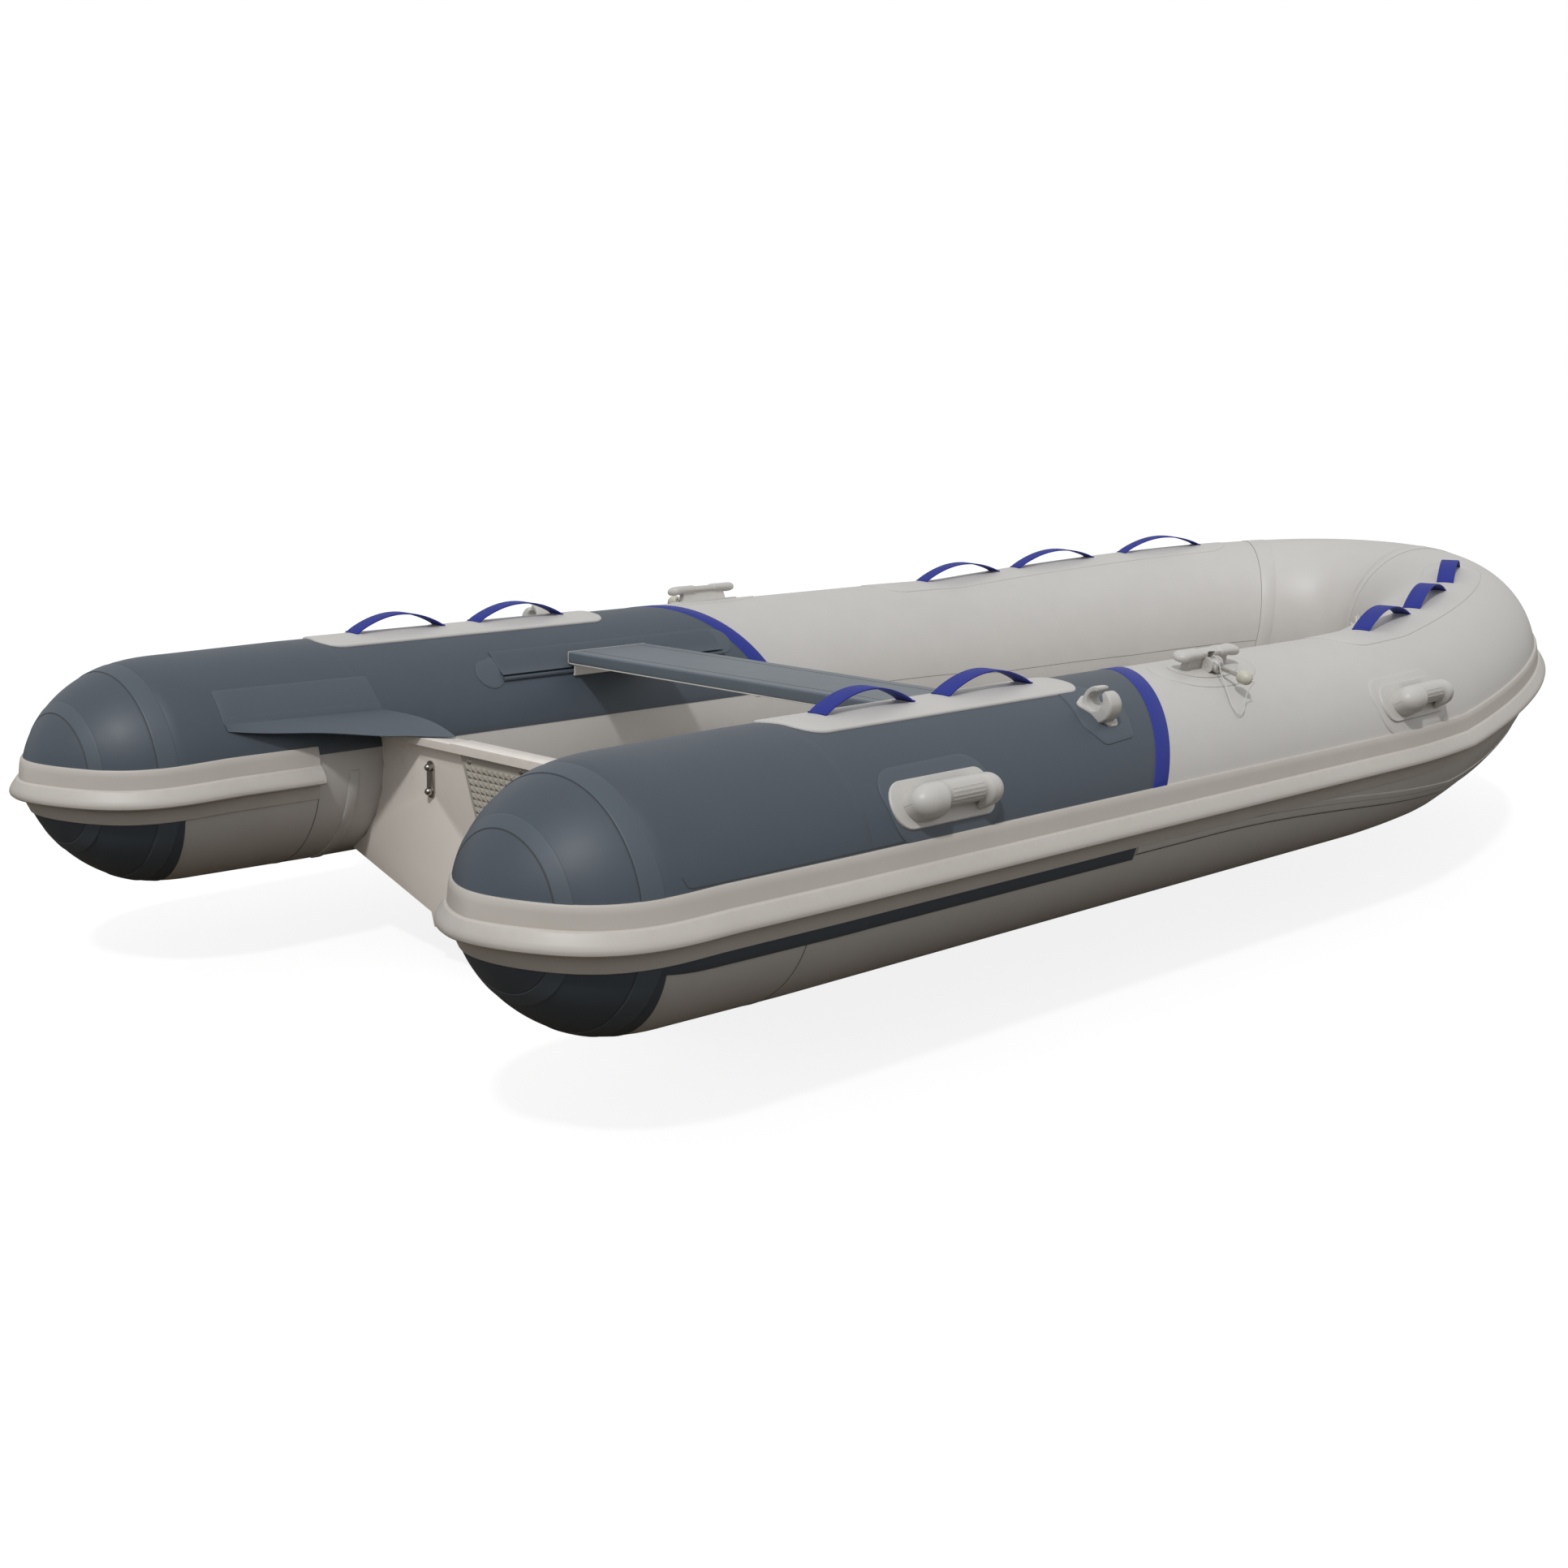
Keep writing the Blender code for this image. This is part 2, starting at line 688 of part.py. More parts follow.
def make_tubes():
    """Side tubes closed at the bow seam by a bulkhead, and the bow tube between the two seams."""
    aft = stations_between(TAIL_SEAM, BOW_SEAM - GAP)
    inner_end = BOW_SEAM - GAP - TUBE_SKIN
    inner = [collar_ring(min(station, inner_end), -TUBE_SKIN) for station in reversed(aft)]
    outer = [collar_ring(station, 0.0) for station in aft]
    side = loft(inner + outer)
    bow_stations = [BOW_SEAM] + [place for place in STATIONS if place > BOW_SEAM + OVERRUN]
    rings = []
    for offset in (0.0, -TUBE_SKIN):
        port = [collar_ring(station, offset) for station in bow_stations]
        starboard = [[Vector((x, -y, z)) for x, y, z in ring] for ring in reversed(port[:-1])]
        run = port + starboard
        rings += run if offset == 0.0 else list(reversed(run))
    bow = loft(rings, capped=False)
    holes = {"port": [], "starboard": [], "bow": []}
    for name, station, angle, _ in VALVES:
        holes[name].append(valve_hole(station, angle))
    side_port = combine(side, holes["port"], "DIFFERENCE")
    bow = combine(bow, [mirrored(hole) for hole in holes["bow"]], "DIFFERENCE")
    add_pair("tube", smooth(side_port), light_pvc)
    add_object("tube_bow", smooth(bow), light_pvc)


def make_tail_cones():
    """Moulded cups that close the after ends of the side tubes."""
    seam = TAIL_SEAM - GAP
    places = [place for place in STATIONS if place < seam - OVERRUN] + [seam]
    inner = [collar_ring(place, -TUBE_SKIN) for place in places]
    outer = [collar_ring(place, PANEL_OUTER) for place in reversed(places)]
    add_pair("tail_cone", smooth(loft(inner + outer)), dark_pvc)


def stripe_edge(angle, width=0.0):
    """Station of the slanted stripe's forward edge at an angle, or of a line behind it."""
    return STRIPE_AT_TOP - STRIPE_SLANT * angle - width


def make_panels():
    """Dark wear panels on the after half, ending at the stripes."""
    rows = []
    for angle in angles_between(PANEL_INNER_ANGLE, PANEL_OUTER_ANGLE):
        forward = stripe_edge(angle, STRIPE_WIDTH) - GAP
        rows.append((angle, TAIL_SEAM, max(forward, PANEL_LOWER_END)))
    add_pair("dark_panel", smooth(wrapped(rows, PANEL_INNER, PANEL_OUTER)), dark_pvc)


def make_stripes():
    """Slanted blue bands round each tube, ahead of the dark panels."""
    rows = []
    for angle in angles_between(STRIPE_INNER_ANGLE, STRIPE_OUTER_ANGLE):
        rows.append((angle, stripe_edge(angle, STRIPE_WIDTH), stripe_edge(angle)))
    add_pair("stripe", smooth(wrapped(rows, PANEL_INNER, PANEL_OUTER)), blue_pvc)


def make_handle_patches():
    """Light padded patches on top of the dark panels, under the after straps."""
    rows = rounded_rows(PATCH_AFT, PATCH_FORWARD, -PATCH_HALF_ANGLE, PATCH_HALF_ANGLE, PATCH_CORNER)
    add_pair("handle_patch", smooth(wrapped(rows, OVER_PANEL, PATCH_OUTER)), light_pvc)


def strake_path():
    """Port half of the collar's edge: inner side of the tail, round its tip, and on to the bow."""
    tail = [place for place in STATIONS if place <= TAIL_START]
    inner_places = [STRAKE_INNER_END] + [place for place in reversed(tail) if place != TAIL_SEAM]
    outer_places = [place for place in STATIONS if place != TAIL_SEAM]
    points = [exact_point(place, -90.0, 0.0) for place in inner_places]
    points.append(Vector((TAIL_TIP, TUBE_HALF_SPACING, TAIL_LIFT)))
    points += [exact_point(place, 90.0, 0.0) for place in outer_places]
    return points


def make_rub_strake():
    """Moulded strake with a wedge nose, run round the bow and both tails and fitted to the collar."""
    port = strake_path()
    path = port + [Vector((x, -y, z)) for x, y, z in reversed(port[:-1])]
    rings = []
    last = len(path) - 1
    for index, point in enumerate(path):
        before, after = path[max(index - 1, 0)], path[min(index + 1, last)]
        run_in = (point - before).normalized() if index else (after - point).normalized()
        run_out = (after - point).normalized() if index < last else run_in
        heading = (run_in + run_out).normalized()
        outward = Vector((-heading.y, heading.x, 0.0)).normalized()
        spread = 1.0 / max(outward.dot(Vector((-run_in.y, run_in.x, 0.0)).normalized()), 0.5)
        slant = STRAKE_INNER_SLANT if index in (0, last) else 0.0
        ring = []
        for out, height in STRAKE_PROFILE:
            bulge = math.sqrt(TUBE_RADIUS**2 - height**2) - TUBE_RADIUS
            lean = Vector((slant * (STRAKE_PROFILE[0][1] - height) / KEEL_DEPTH, 0.0, 0.0))
            ring.append(point + outward * ((out + bulge) * spread) + Vector((0.0, 0.0, height)) + lean)
        for height in (STRAKE_PROFILE[-1][1], STRAKE_PROFILE[0][1]):
            ring.append(point - outward * BURIED + Vector((0.0, 0.0, height)))
        rings.append(ring)
    strake = combine(loft(rings), [collar_envelope(OVER_PANEL)], "DIFFERENCE")
    add_object("rub_strake", smooth(strake, SHARP_LOW), light_rubber)


def keel_height(along):
    """Height of the keel, which runs level and then sweeps up to the stem."""
    stem = exact_point(COLLAR_END, CHINE_ANGLE, CRADLE_GAP).x
    share = min(max((along - KEEL_RISE_START) / (stem - KEEL_RISE_START), 0.0), 1.0)
    return -KEEL_DEPTH + (KEEL_DEPTH - STEM_DEPTH) * share**KEEL_RISE_POWER


def hull_section(station):
    """Outer and inner points of the hull's port half at a station, from the flange's top to the keel."""
    outer = [collar_point(station, angle, CRADLE_GAP) for angle in FLANGE_ANGLES]
    inner = [collar_point(station, angle, CRADLE_GAP + FLANGE_WALL) for angle in FLANGE_ANGLES]
    chine = collar_point(station, CHINE_ANGLE, CRADLE_GAP)
    outer.append(chine)
    inner.append(collar_point(station, CHINE_INNER_ANGLE, CRADLE_GAP + FLANGE_WALL))
    keel = keel_height(chine.x)
    rise = chine.z - keel
    for width_share, height_share in zip(STRAKE_WIDTH_SHARES, STRAKE_HEIGHT_SHARES):
        height = keel + rise * height_share
        outer.append(Vector((chine.x, chine.y * width_share, height)))
        inner.append(Vector((chine.x, chine.y * width_share, height + HULL_WALL)))
    outer.append(Vector((chine.x, KEEL_HALF_WIDTH, keel)))
    inner.append(Vector((chine.x, KEEL_HALF_WIDTH, keel + HULL_WALL)))
    return outer, inner


def hull_stations():
    """Stations of the hull, from the transom's forward face nearly to the stem."""
    start = TRANSOM_AFT + TRANSOM_THICKNESS + GAP
    return sorted([*stations_between(start, COLLAR_END)[:-1], KEEL_RISE_START])


def full_width(half):
    """A section's port half followed by its mirror image."""
    return half + [Vector((x, -y, z)) for x, y, z in reversed(half)]


def make_hull():
    """Moulded vee bottom with a planing strake each side and cradle flanges under the tubes."""
    outer, inner = [], []
    for station in hull_stations():
        outside, inside = hull_section(station)
        outer.append(full_width(outside))
        inner.append(full_width(inside))
    add_object("hull_shell", smooth(slab(outer, inner), SHARP_LOW), gelcoat)


def make_deck():
    """Cockpit sole between the hull's flanges, with a raised non-slip panel inside a plain border."""
    upper, lower = [], []
    drop = Vector((0.0, 0.0, -DECK_THICKNESS))
    border = Vector((0.0, -DECK_PAD_MARGIN, 0.0))
    step_in = Vector((0.0, -DECK_PAD_RAISE, 0.0))
    step_up = Vector((0.0, 0.0, DECK_PAD_RAISE))
    for station in hull_stations():
        edge = collar_point(station, DECK_ANGLE, CRADLE_GAP + FLANGE_WALL + CRADLE_GAP)
        low, high = edge + border, edge + border + step_in
        upper.append(full_width([edge, low, high + step_up]))
        lower.append(full_width([edge + drop, low + drop, high + drop]))
    add_object("deck_liner", slab(upper, lower), gelcoat)


def boss(radius, start, end, place, axis, sides=BOSS_SIDES):
    """A round bar from start to end along X or Z through the place given."""
    bar = turned(((radius, start), (radius, end)), sides)
    if axis == "X":
        bar.transform(Matrix.Rotation(math.pi / 2.0, 4, "Y"))
    bar.transform(Matrix.Translation(place))
    return bar


def make_transom():
    """Transom board with an overhanging cap, rebated at its ends for the flaps, between the tubes."""
    front = TRANSOM_AFT + TRANSOM_THICKNESS
    outside, _ = hull_section(front + GAP)
    lower = [(point.y, point.z) for point in reversed(outside[len(FLANGE_ANGLES) :])]
    half = lower + [(TUBE_HALF_SPACING, lower[-1][1]), (TUBE_HALF_SPACING, TRANSOM_TOP)]
    outline = half + [(-y, z) for y, z in reversed(half)]
    board = prism(outline, TRANSOM_AFT, front)
    cap_top = TRANSOM_TOP + CAP_HEIGHT
    cap_half = TUBE_HALF_SPACING - BURIED
    cap_low = TRANSOM_TOP - GAP
    seat, rebate = CAP_SEAT_HALF_WIDTH, cap_top - CAP_REBATE
    cap_side = ((cap_half, cap_low), (cap_half, rebate), (seat, rebate), (seat, cap_top))
    cap_outline = cap_side + tuple((-y, z) for y, z in reversed(cap_side))
    cap = prism(cap_outline, TRANSOM_AFT - CAP_OVERHANG, front)
    board = combine(board, [cap], "UNION")
    cutters = [collar_envelope(OVER_PANEL)]
    hole = EYE_ROD + EYE_HOLE_CLEARANCE
    for side in (EYE_Y, -EYE_Y):
        for height in (EYE_UPPER_Z, EYE_LOWER_Z):
            place = (0.0, side, height)
            cutters.append(boss(hole, TRANSOM_AFT - OVERRUN, front + OVERRUN, place, "X", ROD_SIDES))
    drain = DRAIN_BODY + DRAIN_CLEARANCE
    cutters.append(boss(drain, TRANSOM_AFT - OVERRUN, front + OVERRUN, (0.0, 0.0, DRAIN_Z), "X", DRAIN_SIDES))
    add_object("transom", combine(board, cutters, "DIFFERENCE"), gelcoat)


def pad_half_width(height):
    """Half width of the motor pad, which narrows downwards."""
    share = (PAD_TOP - height) / (PAD_TOP - PAD_BOTTOM)
    return PAD_TOP_HALF_WIDTH + (PAD_BOTTOM_HALF_WIDTH - PAD_TOP_HALF_WIDTH) * share


def make_motor_pads():
    """Outer pad with rows of small pyramids whose columns lean with its sides, and a plain inner pad."""
    back = TRANSOM_AFT - GAP
    face = back - PAD_PLATE
    top = PAD_TOP - PAD_TOP_MARGIN
    bottom = PAD_BOTTOM + PAD_MARGIN
    row_heights = [top + (bottom - top) * row / PYRAMID_ROWS for row in range(PYRAMID_ROWS + 1)]
    heights = [PAD_TOP] + row_heights + [PAD_BOTTOM]
    edge_share = 1.0 - PAD_MARGIN / PAD_TOP_HALF_WIDTH
    column_shares = [2.0 * column / PYRAMID_COLUMNS - 1.0 for column in range(PYRAMID_COLUMNS + 1)]
    shares = [-1.0] + [edge_share * share for share in column_shares] + [1.0]
    rows, columns = len(heights), len(shares)
    points = [(face, share * pad_half_width(height), height) for height in heights for share in shares]
    faces = []
    for row in range(rows - 1):
        for column in range(columns - 1):
            corner = row * columns + column
            quad = (corner, corner + 1, corner + columns + 1, corner + columns)
            if row in (0, rows - 2) or column in (0, columns - 2):
                faces.append(quad)
                continue
            middle = np.mean([points[index] for index in quad], axis=0)
            points.append((face - PYRAMID_HEIGHT, middle[1], middle[2]))
            peak = len(points) - 1
            faces += [(quad[side], quad[(side + 1) % 4], peak) for side in range(4)]
    rim = list(range(columns)) + [row * columns + columns - 1 for row in range(1, rows)]
    rim += [(rows - 1) * columns + column for column in range(columns - 2, -1, -1)]
    rim += [row * columns for row in range(rows - 2, 0, -1)]
    first_back = len(points)
    points += [(back, points[index][1], points[index][2]) for index in rim]
    for place in range(len(rim)):
        following = (place + 1) % len(rim)
        faces.append((rim[place], rim[following], first_back + following, first_back + place))
    faces.append(tuple(first_back + place for place in range(len(rim))))
    add_object("motor_pad_aft", mesh_of(points, faces), pad_plastic)
    front = TRANSOM_AFT + TRANSOM_THICKNESS + GAP
    low = TRANSOM_TOP - INNER_PAD_HEIGHT
    half = INNER_PAD_HALF_WIDTH
    outline = ((-half, low), (half, low), (half, TRANSOM_TOP), (-half, TRANSOM_TOP))
    inner = prism(outline, front, front + INNER_PAD_THICKNESS)
    add_object("motor_pad_inner", bevelled(inner, PAD_PLATE / 4.0, 1), pad_plastic)


def rod(points, radius, resolution=2):
    """A round bar along a list of points, with closed ends."""
    curve = bpy.data.curves.new("rod", "CURVE")
    curve.dimensions = "3D"
    curve.bevel_depth = radius
    curve.bevel_resolution = resolution
    curve.use_fill_caps = True
    spline = curve.splines.new("POLY")
    spline.points.add(len(points) - 1)
    for target, point in zip(spline.points, points):
        target.co = (*point, 1.0)
    return curve


def mesh_from_curve(curve):
    """The curve's surface as a closed mesh."""
    guide = bpy.data.objects.new("guide", curve)
    bpy.context.scene.collection.objects.link(guide)
    graph = bpy.context.evaluated_depsgraph_get()
    mesh = bpy.data.meshes.new_from_object(guide.evaluated_get(graph))
    bpy.data.objects.remove(guide, do_unlink=True)
    form = bmesh.new()
    form.from_mesh(mesh)
    bmesh.ops.remove_doubles(form, verts=form.verts, dist=EYE_ROD / 1000.0)
    bmesh.ops.recalc_face_normals(form, faces=form.faces)
    form.to_mesh(mesh)
    form.free()
    return mesh


def stadium(centre_y, low, high, half_width, steps=5):
    """An oblong outline with round ends."""
    outline = []
    for centre, start in ((high - half_width, 0.0), (low + half_width, math.pi)):
        for step in range(steps + 1):
            turn = start + math.pi * step / steps
            outline.append((centre_y + half_width * math.cos(turn), centre + half_width * math.sin(turn)))
    return outline


def make_towing_eyes():
    """U-bolts through the transom: loop inside the boat, plate and domed nuts outside."""
    front = TRANSOM_AFT + TRANSOM_THICKNESS
    radius = (EYE_UPPER_Z - EYE_LOWER_Z) / 2.0
    middle = (EYE_UPPER_Z + EYE_LOWER_Z) / 2.0
    aft_end = TRANSOM_AFT - GAP - EYE_PLATE_THICKNESS - EYE_NUT_LENGTH / 2.0
    bend = front + EYE_LOOP - radius
    points = [(aft_end, EYE_Y, EYE_UPPER_Z)]
    for step in range(9):
        turn = math.pi / 2.0 - math.pi * step / 8
        points.append((bend + radius * math.cos(turn), EYE_Y, middle + radius * math.sin(turn)))
    points.append((aft_end, EYE_Y, EYE_LOWER_Z))
    eye = mesh_from_curve(rod(points, EYE_ROD, 1))
    low, high = EYE_LOWER_Z - EYE_PLATE_OVERHANG, EYE_UPPER_Z + EYE_PLATE_OVERHANG
    oblong = stadium(EYE_Y, low, high, EYE_PLATE_HALF_WIDTH)
    aft_face = TRANSOM_AFT - GAP - EYE_PLATE_THICKNESS
    parts = [prism(oblong, aft_face, TRANSOM_AFT - GAP)]
    parts.append(prism(oblong, front + GAP, front + GAP + EYE_PLATE_THICKNESS))
    for height in (EYE_UPPER_Z, EYE_LOWER_Z):
        dome = [(EYE_NUT_RADIUS, -GAP), (EYE_NUT_RADIUS, EYE_NUT_LENGTH / 2.0)]
        for step in (1, 2):
            turn = math.pi / 2.0 * step / 3
            rise = EYE_NUT_LENGTH / 2.0 + EYE_NUT_RADIUS * math.sin(turn)
            dome.append((EYE_NUT_RADIUS * math.cos(turn), rise))
        nut = turned(dome, ROD_SIDES)
        nut.transform(Matrix.Rotation(-math.pi / 2.0, 4, "Y"))
        nut.transform(Matrix.Translation((aft_face, EYE_Y, height)))
        parts.append(nut)
    add_pair("towing_eye", smooth(combine(eye, parts, "UNION"), SHARP_MIDDLE), steel)


def make_drain():
    """Flanged socket through the transom and the plug that screws into it."""
    depth = TRANSOM_THICKNESS + OVERRUN
    profile = (
        (DRAIN_BORE, -DRAIN_FLANGE_THICKNESS),
        (DRAIN_FLANGE, -DRAIN_FLANGE_THICKNESS),
        (DRAIN_FLANGE, 0.0),
        (DRAIN_BODY, 0.0),
        (DRAIN_BODY, depth),
        (DRAIN_BORE, depth),
    )
    socket = turned_ring(profile, DRAIN_SIDES)
    plug_profile = (
        (PLUG_HEAD_RADIUS, -PLUG_HEAD_THICKNESS),
        (PLUG_HEAD_RADIUS, -GAP),
        (DRAIN_BORE - DRAIN_CLEARANCE, -GAP),
        (DRAIN_BORE - DRAIN_CLEARANCE, PLUG_LENGTH),
    )
    plug = turned(plug_profile, DRAIN_SIDES)
    half, thick = PLUG_GRIP_WIDTH / 2.0, PLUG_GRIP_THICKNESS / 2.0
    grip_outline = ((-half, -thick), (half, -thick), (half, thick), (-half, thick))
    low = -PLUG_HEAD_THICKNESS - PLUG_GRIP_LENGTH
    grip = prism(grip_outline, low, -PLUG_HEAD_THICKNESS / 2.0, "Z")
    grip = bevelled(grip, PLUG_GRIP_THICKNESS / 4.0, 1)
    plug = combine(plug, [grip], "UNION")
    aft = TRANSOM_AFT - GAP
    turn = Matrix.Rotation(math.pi / 2.0, 4, "Y")
    socket.transform(Matrix.Translation((aft, 0.0, DRAIN_Z)) @ turn)
    face = aft - DRAIN_FLANGE_THICKNESS
    plug.transform(Matrix.Translation((face, 0.0, DRAIN_Z)) @ turn)
    add_object("drain_socket", smooth(socket, SHARP_MIDDLE), white_plastic)
    add_object("drain_plug", smooth(plug, SHARP_MIDDLE), white_plastic, (face, 0.0, DRAIN_Z))


def strap_mesh(start, end, offset):
    """Webbing bowed up between two flat feet on top of the tube, from station to station."""
    first, last = collar_point(start, 0.0, offset), collar_point(end, 0.0, offset)
    forward = (last - first).normalized()
    across = Vector((0.0, 0.0, 1.0)).cross(forward).normalized()
    upward = forward.cross(across)
    length = (last - first).length
    line = [(0.0, 0.0), (STRAP_FOOT, 0.0)]
    arch = length - 2.0 * STRAP_FOOT
    for step in range(1, STRAP_STEPS):
        share = step / STRAP_STEPS
        rise = STRAP_RISE * math.sin(math.pi * share) ** STRAP_POWER
        line.append((STRAP_FOOT + arch * share, rise))
    line += [(length - STRAP_FOOT, 0.0), (length, 0.0)]
    lower, upper = [], []
    for index, (along, height) in enumerate(line):
        before, after = line[max(index - 1, 0)], line[min(index + 1, len(line) - 1)]
        slope = Vector((after[0] - before[0], after[1] - before[1])).normalized()
        base = first + forward * along + upward * height
        top = base + (upward * slope.x - forward * slope.y) * STRAP_THICKNESS
        half = across * (STRAP_WIDTH / 2.0)
        lower.append([base - half, base + half])
        upper.append([top - half, top + half])
    return smooth(slab(upper, lower), SHARP_HIGH)


def make_straps():
    """Two straps on each after patch and three on each side of the bow."""
    for number, (start, end) in enumerate(AFT_STRAPS, 1):
        add_pair(f"strap_aft_{number}", strap_mesh(start, end, PATCH_OUTER + STRAP_SEAT), webbing)
    for number, (start, end) in enumerate(BOW_STRAPS, 1):
        add_pair(f"strap_bow_{number}", strap_mesh(start, end, STRAP_SEAT), webbing)


def make_transom_flaps():
    """Sheets glued to the tubes that reach inboard over the transom's top corners."""
    aft = TRANSOM_AFT - FLAP_REACH_AFT
    forward = TRANSOM_AFT + TRANSOM_THICKNESS + FLAP_REACH_FORWARD
    cap_aft = TRANSOM_AFT - CAP_OVERHANG
    cap_front = TRANSOM_AFT + TRANSOM_THICKNESS
    rest = TRANSOM_TOP + CAP_HEIGHT - CAP_REBATE + GAP
    low_corner = collar_point(aft, FLAP_AFT_ANGLE, OVER_PANEL)
    edge = [
        low_corner,
        low_corner.lerp(Vector((cap_aft, FLAP_AFT_TIP_Y, rest)), 0.5),
        Vector((cap_aft, FLAP_AFT_TIP_Y, rest)),
        Vector((cap_front, FLAP_TIP_Y, rest)),
    ]
    places = [aft, TAPER_START, cap_aft, forward]
    lower = [[collar_point(place, FLAP_TOP_ANGLE, OVER_PANEL) for place in places]]
    lower.append([collar_point(place, FLAP_MIDDLE_ANGLE, OVER_PANEL) for place in places])
    lower.append([collar_point(place, FLAP_BEND_ANGLE, OVER_PANEL) for place in places])
    lower.append(edge)
    upper = []
    for row in range(len(lower)):
        line = []
        for column in range(len(places)):
            before = lower[max(row - 1, 0)][column]
            after = lower[min(row + 1, len(lower) - 1)][column]
            side = lower[row][min(column + 1, len(places) - 1)] - lower[row][max(column - 1, 0)]
            normal = side.cross(before - after).normalized()
            normal = normal if normal.z > 0.0 else -normal
            line.append(lower[row][column] + normal * FLAP_THICKNESS)
        upper.append(line)
    add_pair("transom_flap", smooth(slab(upper, lower), SHARP_HIGH), dark_pvc)


def rail_bead():
    """Centre of the seat flap's bead, as Y and Z on the port side."""
    bead = exact_point(RAIL_AFT, RAIL_BEAD_ANGLE, OVER_PANEL + RAIL_BEAD_RADIUS)
    return bead.y, bead.z


def make_seat_flaps():
    """Glued strips that end in a round bead, on which the seat's hooks slide."""
    bead_y, bead_z = rail_bead()
    outer, inner = [], []
    for angle in (RAIL_TOP_ANGLE, RAIL_MIDDLE_ANGLE, RAIL_WEB_ANGLE):
        outer.append(exact_point(RAIL_AFT, angle, OVER_PANEL))
        inner.append(exact_point(RAIL_AFT, angle, OVER_PANEL + RAIL_WEB))
    outline = [(point.y, point.z) for point in outer]
    lean = math.radians(-RAIL_BEAD_ANGLE)
    for step in range(RAIL_BEAD_SIDES + 1):
        turn = math.radians(RAIL_BEAD_START - RAIL_BEAD_SWEEP * step / RAIL_BEAD_SIDES) - lean
        around = Vector((math.cos(turn), math.sin(turn))) * RAIL_BEAD_RADIUS
        outline.append((bead_y + around.x, bead_z + around.y))
    outline += [(point.y, point.z) for point in reversed(inner)]
    add_pair("seat_flap", smooth(prism(outline, RAIL_AFT, RAIL_FORWARD), SHARP_HIGH), dark_pvc)


def seat_half_length():
    """Half the plank's length, to a small gap from the tubes at its lower edge."""
    low = SEAT_TOP - SEAT_THICKNESS
    reach = math.sqrt(TUBE_RADIUS**2 - low**2)
    return TUBE_HALF_SPACING - reach - SEAT_END_GAP


def make_seat():
    """Plank with rounded long edges and a shallow line, between the two hooks' end plates."""
    half = seat_half_length() - HOOK_SHELF - GAP
    low = SEAT_TOP - SEAT_THICKNESS
    aft, front = SEAT_AFT, SEAT_AFT + SEAT_LENGTH
    line = aft + SEAT_LINE_INSET
    groove = SEAT_TOP - SEAT_LINE_DEPTH
    outline = []
    corners = ((aft, low, 180.0), (front, low, 270.0), (front, SEAT_TOP, 0.0))
    for x, z, start in corners:
        inward_x = SEAT_EDGE_RADIUS if x == aft else -SEAT_EDGE_RADIUS
        inward_z = SEAT_EDGE_RADIUS if z == low else -SEAT_EDGE_RADIUS
        for step in range(4):
            turn = math.radians(start + 30.0 * step)
            across = x + inward_x + SEAT_EDGE_RADIUS * math.cos(turn)
            outline.append((across, z + inward_z + SEAT_EDGE_RADIUS * math.sin(turn)))
    outline += [(line + SEAT_LINE_WIDTH, SEAT_TOP), (line + SEAT_LINE_WIDTH, groove)]
    outline += [(line, groove), (line, SEAT_TOP)]
    for step in range(4):
        turn = math.radians(90.0 + 30.0 * step)
        across = aft + SEAT_EDGE_RADIUS * (1.0 + math.cos(turn))
        outline.append((across, SEAT_TOP - SEAT_EDGE_RADIUS * (1.0 - math.sin(turn))))
    plank = prism(outline, -half, half, "Y")
    middle = (SEAT_AFT + SEAT_LENGTH / 2.0, 0.0, SEAT_TOP)
    add_object("seat_plank", smooth(plank), seat_paint, middle)
    half += GAP
    bead_y, bead_z = rail_bead()
    web_out = bead_y - RAIL_BEAD_RADIUS - HOOK_CLEARANCE
    foot_top = bead_z - RAIL_BEAD_RADIUS - HOOK_FOOT_DROP
    foot_out = web_out + HOOK_FOOT_REACH
    shelf = low - GAP
    profile = (
        (half, SEAT_TOP),
        (half, shelf),
        (half - HOOK_SHELF_REACH, shelf),
        (half - HOOK_SHELF_REACH, shelf - HOOK_SHELF),
        (web_out - HOOK_WEB, shelf - HOOK_SHELF),
        (web_out - HOOK_WEB, foot_top - HOOK_FOOT),
        (foot_out, foot_top - HOOK_FOOT),
        (foot_out, foot_top),
        (web_out, foot_top),
        (web_out, shelf - HOOK_SHELF),
        (half + HOOK_SHELF, shelf - HOOK_SHELF),
        (half + HOOK_SHELF, SEAT_TOP),
    )
    hook = prism(profile, SEAT_AFT + HOOK_INSET, SEAT_AFT + SEAT_LENGTH - HOOK_INSET)
    add_pair("seat_hook", hook, white_plastic)


def pivot_point():
    """Centre of the port rowlock's drum."""
    reach = TUBE_RADIUS + PIVOT_HEIGHT
    turn = math.radians(PIVOT_ANGLE)
    return Vector((PIVOT_X, TUBE_HALF_SPACING + reach * math.sin(turn), reach * math.cos(turn)))


def pin_matrix():
    """Axes of the port rowlock's pin: X along the boat, Z out along the pin."""
    droop = math.radians(90.0 + PIN_DROOP)
    return Matrix.Translation(pivot_point()) @ Matrix.Rotation(-droop, 4, "X")


